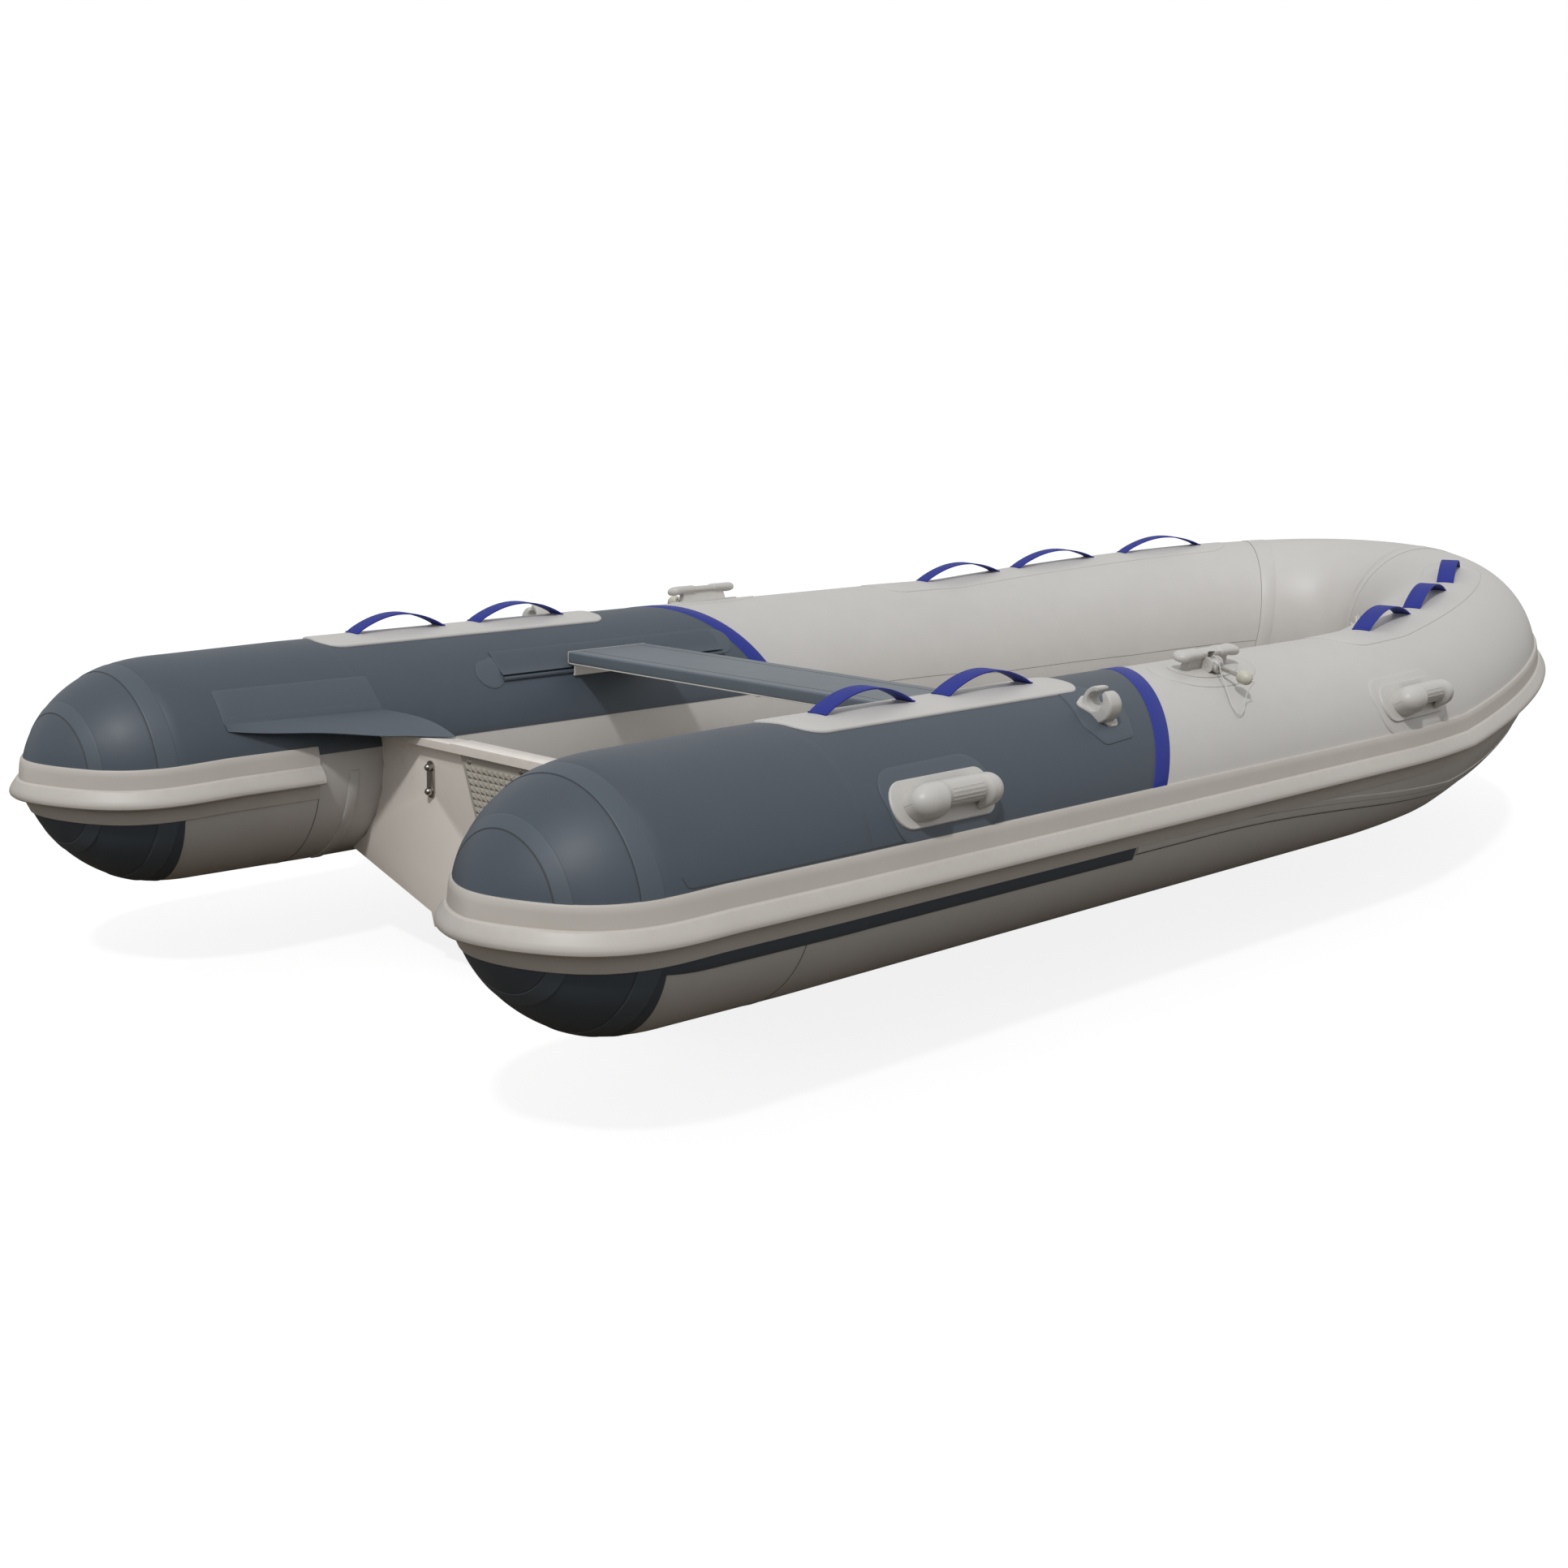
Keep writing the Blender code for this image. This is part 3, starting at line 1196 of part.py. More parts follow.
def ellipse_rows(middle, angle, length, width, steps, power=1.0):
    """Rows of an oval sheet on the collar; a power below one squares it, and above one sharpens it."""
    metres_per_degree = math.radians(TUBE_RADIUS)
    half_angle = width / 2.0 / metres_per_degree
    leans = [math.sin(math.pi / 2.0 * step / steps) for step in range(-steps + 1, steps)]
    angles = {angle + half_angle * lean for lean in leans}
    angles.update(angles_between(angle - half_angle, angle + half_angle)[1:-1])
    rows = []
    for place in sorted(angles):
        share = min(abs(place - angle) / half_angle, 0.999)
        reach = length / 2.0 * (1.0 - share**2) ** (power / 2.0)
        rows.append((place, middle - reach, middle + reach))
    return rows


def cleat_solid():
    """Two-horned cleat with a narrow stem, in the rowlock's own axes."""
    half = CLEAT_HALF_LENGTH
    top = CLEAT_HEIGHT
    bar_low = top - CLEAT_BAR
    low_end = half - CLEAT_BAR / 2.0
    side = [(-half, top - CLEAT_BAR_DROP), (-low_end, bar_low), (low_end, bar_low)]
    side += [(half, top - CLEAT_BAR_DROP), (half - CLEAT_BAR, top - CLEAT_EDGE / 4.0)]
    side += [(half / 2.0, top), (-half / 2.0, top), (-half + CLEAT_BAR, top - CLEAT_EDGE / 4.0)]
    bar = prism(side, -CLEAT_HALF_WIDTH, CLEAT_HALF_WIDTH, "Y")
    bar = bevelled(bar, CLEAT_EDGE, 2, CLEAT_SHARP_ANGLE)
    foot = ROWLOCK_BASE_THICKNESS / 2.0
    stem_top, stem_foot = CLEAT_STEM_HALF_LENGTH, CLEAT_STEM_HALF_LENGTH + CLEAT_BAR / 2.0
    high = bar_low + CLEAT_EDGE
    stem_side = ((-stem_foot, foot), (stem_foot, foot), (stem_top, high), (-stem_top, high))
    stem = prism(stem_side, -CLEAT_STEM_HALF_WIDTH, CLEAT_STEM_HALF_WIDTH, "Y")
    return bar, stem


def make_rowlocks():
    """Cleat with a saddle, swinging drum and snout, stainless pin and knob, on each side."""
    base_rows = ellipse_rows(
        ROWLOCK_X, ROWLOCK_ANGLE, ROWLOCK_BASE_LENGTH, ROWLOCK_BASE_WIDTH, ROWLOCK_BASE_STEPS
    )
    base = wrapped(base_rows, STRAP_SEAT, STRAP_SEAT + ROWLOCK_BASE_THICKNESS)
    placing = collar_matrix(ROWLOCK_X, ROWLOCK_ANGLE, STRAP_SEAT)
    bar, stem = cleat_solid()
    parts = []
    for part in (bar, stem):
        part.transform(placing)
        parts.append(part)
    pivot = pivot_point()
    cheek_start = DRUM_HALF_LENGTH + SADDLE_CLEARANCE
    cheek_end = cheek_start + SADDLE_CHEEK
    foot = collar_point(PIVOT_X, PIVOT_ANGLE, STRAP_SEAT + GAP)
    inboard = Vector((0.0, -SADDLE_CHEEK_RADIUS, 0.0))
    for direction in (-1.0, 1.0):
        start, end = sorted((direction * cheek_start, direction * cheek_end))
        cheek = boss(SADDLE_CHEEK_RADIUS, start, end, pivot, "X", DRUM_SIDES)
        parts.append(cheek)
        down = (foot - pivot).normalized()
        side = Vector((0.0, -down.z, down.y)) * SADDLE_CHEEK_RADIUS
        corners = [pivot + side, pivot - side, foot - side, foot + side + inboard]
        outline = [(corner.y, corner.z) for corner in corners]
        parts.append(prism(outline, PIVOT_X + start, PIVOT_X + end))
    body = combine(base, parts, "UNION")
    reach = math.hypot(SNOUT_LENGTH, SNOUT_RADIUS) + SADDLE_CLEARANCE
    slot_half = DRUM_HALF_LENGTH + SADDLE_CLEARANCE - GAP
    slot = boss(reach, -slot_half, slot_half, pivot, "X", SLOT_SIDES)
    bore_radius = TRUNNION_RADIUS + TRUNNION_CLEARANCE
    bore = boss(bore_radius, -cheek_end - OVERRUN, cheek_end + OVERRUN, pivot, "X", ROD_SIDES)
    upright = boss(PIN_RADIUS + SADDLE_CLEARANCE, 0.0, SNOUT_LENGTH + PIN_LENGTH, pivot, "Z", ROD_SIDES)
    body = combine(body, [slot, bore, upright, collar_envelope(STRAP_SEAT - GAP)], "DIFFERENCE")
    add_pair("rowlock_body", smooth(body, SHARP_MIDDLE), white_plastic)
    turn = pin_matrix()
    drum = boss(DRUM_RADIUS, -DRUM_HALF_LENGTH, DRUM_HALF_LENGTH, pivot, "X", DRUM_SIDES)
    trunnion = boss(TRUNNION_RADIUS, -cheek_end, cheek_end, pivot, "X", ROD_SIDES)
    snout_profile = (
        (SNOUT_RADIUS - TRUNNION_CLEARANCE, 0.0),
        (SNOUT_RADIUS - TRUNNION_CLEARANCE, SNOUT_LENGTH - TRUNNION_CLEARANCE),
        (SNOUT_RADIUS - PIN_RADIUS / 2.0, SNOUT_LENGTH),
    )
    snout = turned(snout_profile, DRUM_SIDES)
    snout.transform(turn)
    barrel = combine(drum, [snout, trunnion], "UNION")
    hole = PIN_RADIUS + GAP
    socket = turned(((hole, SNOUT_LENGTH / 2.0), (hole, SNOUT_LENGTH + OVERRUN)), ROD_SIDES)
    socket.transform(turn)
    barrel = combine(barrel, [socket], "DIFFERENCE")
    add_pair("rowlock_barrel", smooth(barrel, SHARP_MIDDLE), white_plastic, pivot)
    pin_end = SNOUT_LENGTH + PIN_LENGTH
    pin_start, pin_tip = SNOUT_LENGTH / 2.0 + GAP, pin_end + KNOB_LENGTH / 2.0 - GAP
    pin = turned(((PIN_RADIUS, pin_start), (PIN_RADIUS, pin_tip)), ROD_SIDES)
    pin.transform(turn)
    add_pair("rowlock_pin", smooth(pin, SHARP_MIDDLE), steel, pivot)
    knob_shape = [(KNOB_RADIUS * wide, pin_end + KNOB_LENGTH * along) for wide, along in KNOB_SHARES]
    knob = turned(knob_shape, KNOB_FACETS)
    bore = turned(((hole, pin_end - OVERRUN), (hole, pin_end + KNOB_LENGTH / 2.0)), ROD_SIDES)
    knob = combine(knob, [bore], "DIFFERENCE")
    knob.transform(turn)
    knob_origin = turn @ Vector((0.0, 0.0, pin_end + KNOB_LENGTH / 2.0))
    add_pair("rowlock_knob", smooth(knob, SHARP_MIDDLE), knob_plastic, knob_origin)


def smooth_route(route, step):
    """Points at an even step along a smooth curve through the route's own points."""
    knots = np.array([route[0], *route, route[-1]], dtype=float)
    fine = []
    for index in range(len(route) - 1):
        before, start, end, after = knots[index : index + 4]
        for share in np.linspace(0.0, 1.0, 16, endpoint=False):
            cubic = 2.0 * start + (end - before) * share
            cubic = cubic + (2.0 * before - 5.0 * start + 4.0 * end - after) * share**2
            cubic = cubic + (3.0 * start - before - 3.0 * end + after) * share**3
            fine.append(cubic / 2.0)
    fine.append(np.array(route[-1], dtype=float))
    fine = np.array(fine)
    distance = np.concatenate([[0.0], np.cumsum(np.linalg.norm(np.diff(fine, axis=0), axis=1))])
    count = max(int(round(distance[-1] / step)), 2)
    places = np.linspace(0.0, distance[-1], count + 1)
    return np.stack([np.interp(places, distance, fine[:, axis]) for axis in range(3)], axis=1)


def make_lanyards():
    """Thin cords that tie each knob to its rowlock; the curve objects keep their own bevel."""
    knob_end = SNOUT_LENGTH + PIN_LENGTH + KNOB_LENGTH
    end = pin_matrix() @ Vector((0.0, 0.0, knob_end + GAP))
    away = pin_matrix() @ Vector((0.0, 0.0, knob_end + LANYARD_STEP))
    pivot = pivot_point()
    route = [tuple(pivot + Vector(point)) for point in LANYARD_ROUTE] + [tuple(away), tuple(end)]
    points = smooth_route(route, LANYARD_STEP)
    for name, side in (("lanyard_port", 1.0), ("lanyard_starboard", -1.0)):
        curve = rod([(x, y * side, z) for x, y, z in points], LANYARD_RADIUS, 2)
        curve.name = name
        curve.materials.append(cord_white)
        cord = bpy.data.objects.new(name, curve)
        cord.parent = boat
        bpy.context.scene.collection.objects.link(cord)


def clip_outline():
    """Open ring with a thin inboard hook and a thick outboard horn, as (round the tube, out of it)."""
    inner, outer = [], []
    start, end = CLIP_HORN_END, CLIP_HOOK_END - 360.0
    for step in range(CLIP_ARC_STEPS + 1):
        share = step / CLIP_ARC_STEPS
        turn = math.radians(start + (end - start) * share)
        horn = min(max(1.0 - share * CLIP_HORN_FALL_SHARE, 0.0) + CLIP_HORN_START_SHARE, 1.0)
        wall = CLIP_WALL + (CLIP_HORN_WALL - CLIP_WALL) * math.sin(math.pi * horn)
        reach = CLIP_BORE + wall
        around = (math.cos(turn), math.sin(turn))
        inner.append((CLIP_BORE * around[0], CLIP_CENTRE_HEIGHT + CLIP_BORE * around[1]))
        outer.append((reach * around[0], CLIP_CENTRE_HEIGHT + reach * around[1]))
    return outer + list(reversed(inner))


def make_oar_clips():
    """Open ring that grips the oar's shaft, on a diamond base glued to the dark panel."""
    seat = OVER_PANEL
    size = (CLIP_BASE_LENGTH, CLIP_BASE_WIDTH)
    rows = ellipse_rows(CLIP_X, CLIP_ANGLE, *size, CLIP_BASE_STEPS, CLIP_BASE_POWER)
    base = wrapped(rows, seat, seat + CLIP_BASE_THICKNESS)
    placing = collar_matrix(CLIP_X, CLIP_ANGLE, seat)
    ring = prism(clip_outline(), -CLIP_HALF_LENGTH, CLIP_HALF_LENGTH)
    foot = CLIP_BASE_THICKNESS / 2.0
    root_top = CLIP_CENTRE_HEIGHT - CLIP_BORE - GAP
    half = CLIP_ROOT_HALF_WIDTH
    root_half = half * CLIP_ROOT_TOP_SHARE
    root_outline = ((-half, foot), (half, foot), (root_half, root_top), (-root_half, root_top))
    root = prism(root_outline, -CLIP_HALF_LENGTH, CLIP_HALF_LENGTH)
    for part in (ring, root):
        part.transform(placing)
    clip = combine(base, [ring, root], "UNION")
    clip = combine(clip, [collar_envelope(seat - GAP)], "DIFFERENCE")
    add_pair("oar_clip", smooth(clip, SHARP_MIDDLE), white_plastic)


def grip_solid():
    """Long pill shape along X, in the handle's own axes."""
    straight = HANDLE_GRIP_LENGTH / 2.0 - HANDLE_GRIP_RADIUS
    profile = []
    for direction in (-1.0, 1.0):
        steps = list(range(HANDLE_GRIP_CAP_STEPS))
        for step in steps if direction < 0.0 else reversed(steps):
            turn = HANDLE_GRIP_CAP_START + HANDLE_GRIP_CAP_SWEEP * step / (HANDLE_GRIP_CAP_STEPS - 1)
            turn = math.radians(turn)
            radius = HANDLE_GRIP_RADIUS * math.sin(turn)
            profile.append((radius, direction * (straight + HANDLE_GRIP_RADIUS * math.cos(turn))))
    grip = turned(profile, HANDLE_GRIP_SIDES)
    grip.transform(Matrix.Rotation(math.pi / 2.0, 4, "Y"))
    return grip


def make_grab_handles():
    """Moulded handles: curved base plate and hollow pill-shaped grip with a finger opening."""
    for name, middle, angle in HANDLES:
        seat = OVER_PANEL if name == "aft" else STRAP_SEAT
        start = middle - HANDLE_BASE_LENGTH / 2.0
        rows = rounded_rows(
            start,
            start + HANDLE_BASE_LENGTH,
            angle - HANDLE_BASE_HALF_ANGLE,
            angle + HANDLE_BASE_HALF_ANGLE,
            HANDLE_BASE_CORNER,
        )
        base = wrapped(rows, seat, seat + HANDLE_BASE_THICKNESS)
        placing = collar_matrix(middle + HANDLE_GRIP_OFFSET, angle, seat)
        grip = grip_solid()
        grip.transform(Matrix.Translation((0.0, 0.0, HANDLE_GRIP_HEIGHT)))
        low = HANDLE_BASE_THICKNESS
        high = low + HANDLE_MOUTH_HEIGHT
        wide, narrow = HANDLE_MOUTH_LENGTH / 2.0, HANDLE_MOUTH_TOP_LENGTH / 2.0
        shift = HANDLE_MOUTH_OFFSET
        mouth_outline = (
            (shift - wide, low - BURIED),
            (shift + wide, low - BURIED),
            (shift + wide, low + HANDLE_MOUTH_HEIGHT / 2.0),
            (shift + narrow, high),
            (shift - narrow, high),
            (shift - wide, low + HANDLE_MOUTH_HEIGHT / 3.0),
        )
        reach = HANDLE_GRIP_RADIUS + BURIED
        mouth = prism(mouth_outline, -reach, reach, "Y")
        grip = combine(grip, [mouth], "DIFFERENCE")
        grip.transform(placing)
        handle = combine(base, [grip], "UNION")
        handle = combine(handle, [collar_envelope(seat - GAP)], "DIFFERENCE")
        add_pair(f"grab_handle_{name}", smooth(handle, SHARP_MIDDLE), white_plastic)


def valve_hole(station, angle):
    """Cutter for the hole that a valve's neck passes through."""
    radius = VALVE_NECK_RADIUS + VALVE_HOLE_CLEARANCE
    hole = turned(((radius, -VALVE_NECK_DEPTH), (radius, VALVE_NECK_DEPTH)), VALVE_SEGMENTS)
    hole.transform(collar_matrix(station, angle, 0.0))
    return hole


def make_valves():
    """Flanged valve cups let into the tubes, each with a turning cap."""
    flange_top = GAP + VALVE_FLANGE_THICKNESS
    profile = (
        (VALVE_AIR_HOLE, -VALVE_NECK_DEPTH),
        (VALVE_NECK_RADIUS, -VALVE_NECK_DEPTH),
        (VALVE_NECK_RADIUS, GAP),
        (VALVE_FLANGE_RADIUS, GAP),
        (VALVE_FLANGE_RADIUS, flange_top / 2.0 + GAP),
        (VALVE_FLANGE_RADIUS - VALVE_FLOOR, flange_top),
        (VALVE_BORE, flange_top),
        (VALVE_BORE, VALVE_FLOOR - VALVE_NECK_DEPTH),
        (VALVE_AIR_HOLE, VALVE_FLOOR - VALVE_NECK_DEPTH),
    )
    cap_profile = (
        (VALVE_CAP_PLUG, flange_top - VALVE_CAP_PLUG_DEPTH),
        (VALVE_CAP_PLUG, flange_top + GAP),
        (VALVE_CAP_RADIUS, flange_top + GAP),
        (VALVE_CAP_RADIUS, flange_top + VALVE_CAP_THICKNESS * VALVE_CAP_EDGE_SHARE),
        (VALVE_CAP_RADIUS * VALVE_CAP_TOP_SHARE, flange_top + VALVE_CAP_THICKNESS),
    )
    grip_low = flange_top + VALVE_CAP_THICKNESS / 2.0
    grip_high = flange_top + VALVE_CAP_THICKNESS + VALVE_GRIP_HEIGHT
    half, reach = VALVE_GRIP_HALF_WIDTH, VALVE_CAP_RADIUS * VALVE_GRIP_SHARE
    grip_outline = ((-reach, -half), (reach, -half), (reach, half), (-reach, half))
    for name, station, angle, side in VALVES:
        placing = collar_matrix(station, angle, 0.0)
        body = turned_ring(profile, VALVE_SEGMENTS)
        cap = turned(cap_profile, VALVE_SEGMENTS)
        cap = combine(cap, [prism(grip_outline, grip_low, grip_high, "Z")], "UNION")
        meshes = []
        for mesh in (body, cap):
            mesh.transform(placing)
            meshes.append(mesh if side > 0.0 else mirrored(mesh))
        centre = placing @ Vector((0.0, 0.0, flange_top))
        origin = (centre.x, centre.y * side, centre.z)
        add_object(f"valve_body_{name}", smooth(meshes[0], SHARP_MIDDLE), valve_plastic)
        add_object(f"valve_cap_{name}", smooth(meshes[1], SHARP_MIDDLE), valve_plastic, origin)


clear_scene()
light_pvc = make_material("light_pvc", (0.50, 0.49, 0.46), 0.55)
dark_pvc = make_material("dark_pvc", (0.10, 0.12, 0.145), 0.50)
blue_pvc = make_material("blue_pvc", (0.025, 0.045, 0.32), 0.50)
webbing = make_material("webbing", (0.020, 0.040, 0.35), 0.80)
light_rubber = make_material("light_rubber", (0.52, 0.50, 0.45), 0.50)
gelcoat = make_material("gelcoat", (0.62, 0.58, 0.55), 0.30)
pad_plastic = make_material("pad_plastic", (0.50, 0.48, 0.38), 0.55)
white_plastic = make_material("white_plastic", (0.62, 0.60, 0.56), 0.40)
knob_plastic = make_material("knob_plastic", (0.60, 0.58, 0.47), 0.45)
valve_plastic = make_material("valve_plastic", (0.20, 0.21, 0.22), 0.45)
seat_paint = make_material("seat_paint", (0.17, 0.20, 0.22), 0.35)
cord_white = make_material("cord_white", (0.75, 0.75, 0.72), 0.80)
steel = make_material("steel", (0.60, 0.58, 0.55), 0.22, 1.0)

boat = bpy.data.objects.new("boat_frame", None)
STRAKE_NOSE = max(out for out, _ in STRAKE_PROFILE)
FORWARD_END = BOW_TIP + TUBE_RADIUS + STRAKE_NOSE
AFT_END = TAIL_TIP - STRAKE_NOSE
boat.location = (-(FORWARD_END + AFT_END) / 2.0, 0.0, KEEL_DEPTH)
bpy.context.scene.collection.objects.link(boat)

make_tubes()
make_tail_cones()
make_panels()
make_stripes()
make_handle_patches()
make_rub_strake()
make_hull()
make_deck()
make_transom()
make_motor_pads()
make_towing_eyes()
make_drain()
make_straps()
make_transom_flaps()
make_seat_flaps()
make_seat()
make_rowlocks()
make_lanyards()
make_oar_clips()
make_grab_handles()
make_valves()
bpy.context.view_layer.update()
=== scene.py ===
import json
import math

import bmesh
import bpy
import numpy as np
from mathutils import Matrix, Vector


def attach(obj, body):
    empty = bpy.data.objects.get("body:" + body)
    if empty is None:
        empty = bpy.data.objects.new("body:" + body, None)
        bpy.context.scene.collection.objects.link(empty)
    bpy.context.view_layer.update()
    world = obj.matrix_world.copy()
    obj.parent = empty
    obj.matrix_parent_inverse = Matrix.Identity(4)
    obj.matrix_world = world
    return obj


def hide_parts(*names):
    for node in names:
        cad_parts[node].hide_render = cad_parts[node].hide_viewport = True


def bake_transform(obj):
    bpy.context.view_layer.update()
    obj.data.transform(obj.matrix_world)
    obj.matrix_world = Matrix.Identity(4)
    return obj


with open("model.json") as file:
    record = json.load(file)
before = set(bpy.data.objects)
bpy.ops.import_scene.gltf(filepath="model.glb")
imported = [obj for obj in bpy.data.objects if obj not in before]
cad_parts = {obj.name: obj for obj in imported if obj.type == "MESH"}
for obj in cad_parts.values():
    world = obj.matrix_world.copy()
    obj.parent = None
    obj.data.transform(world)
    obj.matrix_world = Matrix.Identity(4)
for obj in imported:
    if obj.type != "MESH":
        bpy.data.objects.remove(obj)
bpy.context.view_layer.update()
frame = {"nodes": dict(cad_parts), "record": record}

# Boat axes run from the tubes' axis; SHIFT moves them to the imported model's frame
SHIFT = np.array([-0.254, 0.0, 0.373])
SIDES = (("port", 1.0), ("starboard", -1.0))

# Camera: the photograph's own place and turn in boat axes
EYE = np.array([-3.4737, -2.9978, 0.7939])
YAW, PITCH, ROLL = math.radians(43.966), math.radians(-11.286), math.radians(0.999)
LENS, SENSOR_WIDTH, FAR_CLIP = 49.98, 36.0, 200.0


def camera_axes():
    """Right, up and view directions from yaw, pitch and roll."""
    view = np.array([math.cos(YAW) * math.cos(PITCH), math.sin(YAW) * math.cos(PITCH), math.sin(PITCH)])
    level = np.array([math.sin(YAW), -math.cos(YAW), 0.0])
    lift = np.cross(level, view)
    right = math.cos(ROLL) * level + math.sin(ROLL) * lift
    up = math.cos(ROLL) * lift - math.sin(ROLL) * level
    return right, up, view


def make_camera():
    """The camera at the photograph's viewpoint."""
    right, up, view = camera_axes()
    data = bpy.data.cameras.new("photo_view")
    data.lens = LENS
    data.sensor_width = SENSOR_WIDTH
    data.clip_end = FAR_CLIP
    camera = bpy.data.objects.new("photo_view", data)
    turn = Matrix(np.stack([right, up, -view], axis=1).tolist()).to_4x4()
    camera.matrix_world = Matrix.Translation((EYE + SHIFT).tolist()) @ turn
    bpy.context.scene.collection.objects.link(camera)
    bpy.context.scene.camera = camera


make_camera()


# Helpers for lines of points
def unit(vectors):
    """Vectors divided by their own lengths."""
    return vectors / np.maximum(np.linalg.norm(vectors, axis=-1), 1e-12)[..., None]


def run_length(points):
    """Distance of each point from the first, along the line."""
    return np.concatenate([[0.0], np.cumsum(np.linalg.norm(np.diff(points, axis=0), axis=1))])


def at_places(places, distance, points):
    """Points of a line at the distances given, straight between its own points."""
    return np.stack([np.interp(places, distance, column) for column in points.T], axis=-1)


def full_turn(segments):
    """Angles in radians once round a circle in even steps."""
    return np.linspace(0.0, 2.0 * math.pi, segments, endpoint=False)


def eased(start, end, share):
    """Smooth step from start to end as a share goes from 0 to 1."""
    share = np.clip(share, 0.0, 1.0)
    return start + (end - start) * share * share * (3.0 - 2.0 * share)


# Collar shape: straight tubes that taper slightly aft, superellipse tails and a superellipse bow
RADIUS = 0.215
HALF_SPACING = 0.6415
TAPER_START, TAIL_START, TAIL_TIP = -1.12, -1.363, -1.658
TAIL_LENGTH = TAIL_START - TAIL_TIP
TAIL_RADIUS, TAIL_LIFT = 0.2115, 0.012
TAIL_LENGTH_POWER, TAIL_RADIUS_POWER = 2.0 / 2.55, 2.0 / 1.46
BOW_START, BOW_TIP = 0.583, 1.951
BOW_LENGTH_POWER, BOW_WIDTH_POWER = 2.0 / 1.57, 2.0 / 2.21
SHEER_START, SHEER_RISE = 0.864, 0.092
BOW_FINE_STEPS, BOW_STEPS, BOW_AVERAGE = 4000, 1200, 12


def bow_curve():
    """Port half of the bow's centreline: a superellipse in plan with a straight rise, with its headings.

    The headings are averaged over a few steps either way, with their mirror image past the bow's middle.
    """
    turn = np.linspace(0.0, math.pi / 2.0, BOW_FINE_STEPS + 1)
    along = BOW_START + (BOW_TIP - BOW_START) * np.sin(turn) ** BOW_LENGTH_POWER
    across = HALF_SPACING * np.maximum(np.cos(turn), 0.0) ** BOW_WIDTH_POWER
    rise = SHEER_RISE * np.clip((along - SHEER_START) / (BOW_TIP - SHEER_START), 0.0, 1.0)
    points = np.stack([along, across, rise], axis=1)
    distance = BOW_START + run_length(points)
    keep = np.concatenate([[True], np.diff(distance) > 1e-7])
    points, distance = points[keep], distance[keep]
    even = np.linspace(distance[0], distance[-1], BOW_STEPS + 1)
    points = at_places(even, distance, points)
    heading = np.gradient(points, even, axis=0)
    heading[-1] = (0.0, -1.0, 0.0)
    mirrored = heading[-2 : -2 - BOW_AVERAGE : -1] * np.array([-1.0, 1.0, -1.0])
    padded = np.concatenate([np.repeat(heading[:1], BOW_AVERAGE, 0), heading, mirrored])
    kernel = np.full(2 * BOW_AVERAGE + 1, 1.0 / (2 * BOW_AVERAGE + 1))
    heading = np.stack([np.convolve(padded[:, axis], kernel, "valid") for axis in range(3)], axis=1)
    return even, points, unit(heading)


CURVE_S, CURVE_P, CURVE_T = bow_curve()
END = float(CURVE_S[-1])


def tail_turn(s):
    """Angle in the tail's superellipse at a station."""
    share = np.clip((TAIL_START - s) / TAIL_LENGTH, 0.0, 1.0)
    return np.arcsin(share ** (1.0 / TAIL_LENGTH_POWER))


def tail_station(turn):
    """Station at an angle in the tail's superellipse."""
    return TAIL_START - TAIL_LENGTH * np.sin(turn) ** TAIL_LENGTH_POWER


def tail_rise(s):
    """Height of the tail's axis over the straight tube's: the square of the share of the tail's length."""
    return TAIL_LIFT * (np.clip(TAIL_START - s, 0.0, None) / TAIL_LENGTH) ** 2


def run_radius(s):
    """The straight tube's radius, which falls evenly to the tail's over the last stretch."""
    share = np.clip((s - TAIL_START) / (TAPER_START - TAIL_START), 0.0, 1.0)
    return TAIL_RADIUS + (RADIUS - TAIL_RADIUS) * share


def collar(s, angle, offset=0.0):
    """Points on the port collar at stations s and angles from the top, moved out by an offset.

    Ahead of the straight run the section is a circle square to the centreline. Aft of it the section is a
    circle whose radius and place follow a superellipse, and the offset is square to that surface. Stations
    past the bow's middle carry on down the starboard side, as the mirror image of the port side.
    """
    s, angle, offset = np.broadcast_arrays(*(np.asarray(given, float) for given in (s, angle, offset)))
    sine, cosine = np.sin(np.radians(angle)), np.cos(np.radians(angle))
    past = s > END
    station = np.where(past, 2.0 * END - s, s)
    heading = at_places(station, CURVE_S, CURVE_T)
    side = unit(np.stack([-heading[..., 1], heading[..., 0], np.zeros_like(station)], axis=-1))
    lift = np.cross(heading, side)
    reach = (RADIUS + offset)[..., None]
    centre = at_places(station, CURVE_S, CURVE_P)
    bow = centre + side * reach * sine[..., None] + lift * reach * cosine[..., None]
    radius = run_radius(station) + offset
    straight = np.stack([station, HALF_SPACING + radius * sine, radius * cosine], axis=-1)
    turn = tail_turn(station)
    s_turn, c_turn = np.maximum(np.sin(turn), 1e-6), np.maximum(np.cos(turn), 1e-9)
    run = TAIL_LENGTH * TAIL_LENGTH_POWER * s_turn ** (TAIL_LENGTH_POWER - 1.0) * c_turn
    fall = TAIL_RADIUS * TAIL_RADIUS_POWER * c_turn ** (TAIL_RADIUS_POWER - 1.0) * s_turn
    slope = np.hypot(run, fall)
    radius = TAIL_RADIUS * c_turn**TAIL_RADIUS_POWER + offset * run / slope
    x, z = station - offset * fall / slope, tail_rise(station)
    tail = np.stack([x, HALF_SPACING + radius * sine, z + radius * cosine], axis=-1)
    points = np.where((station > BOW_START)[..., None], bow, straight)
    points = np.where((station < TAIL_START)[..., None], tail, points)
    points[..., 1] = np.where(past, -points[..., 1], points[..., 1])
    return points


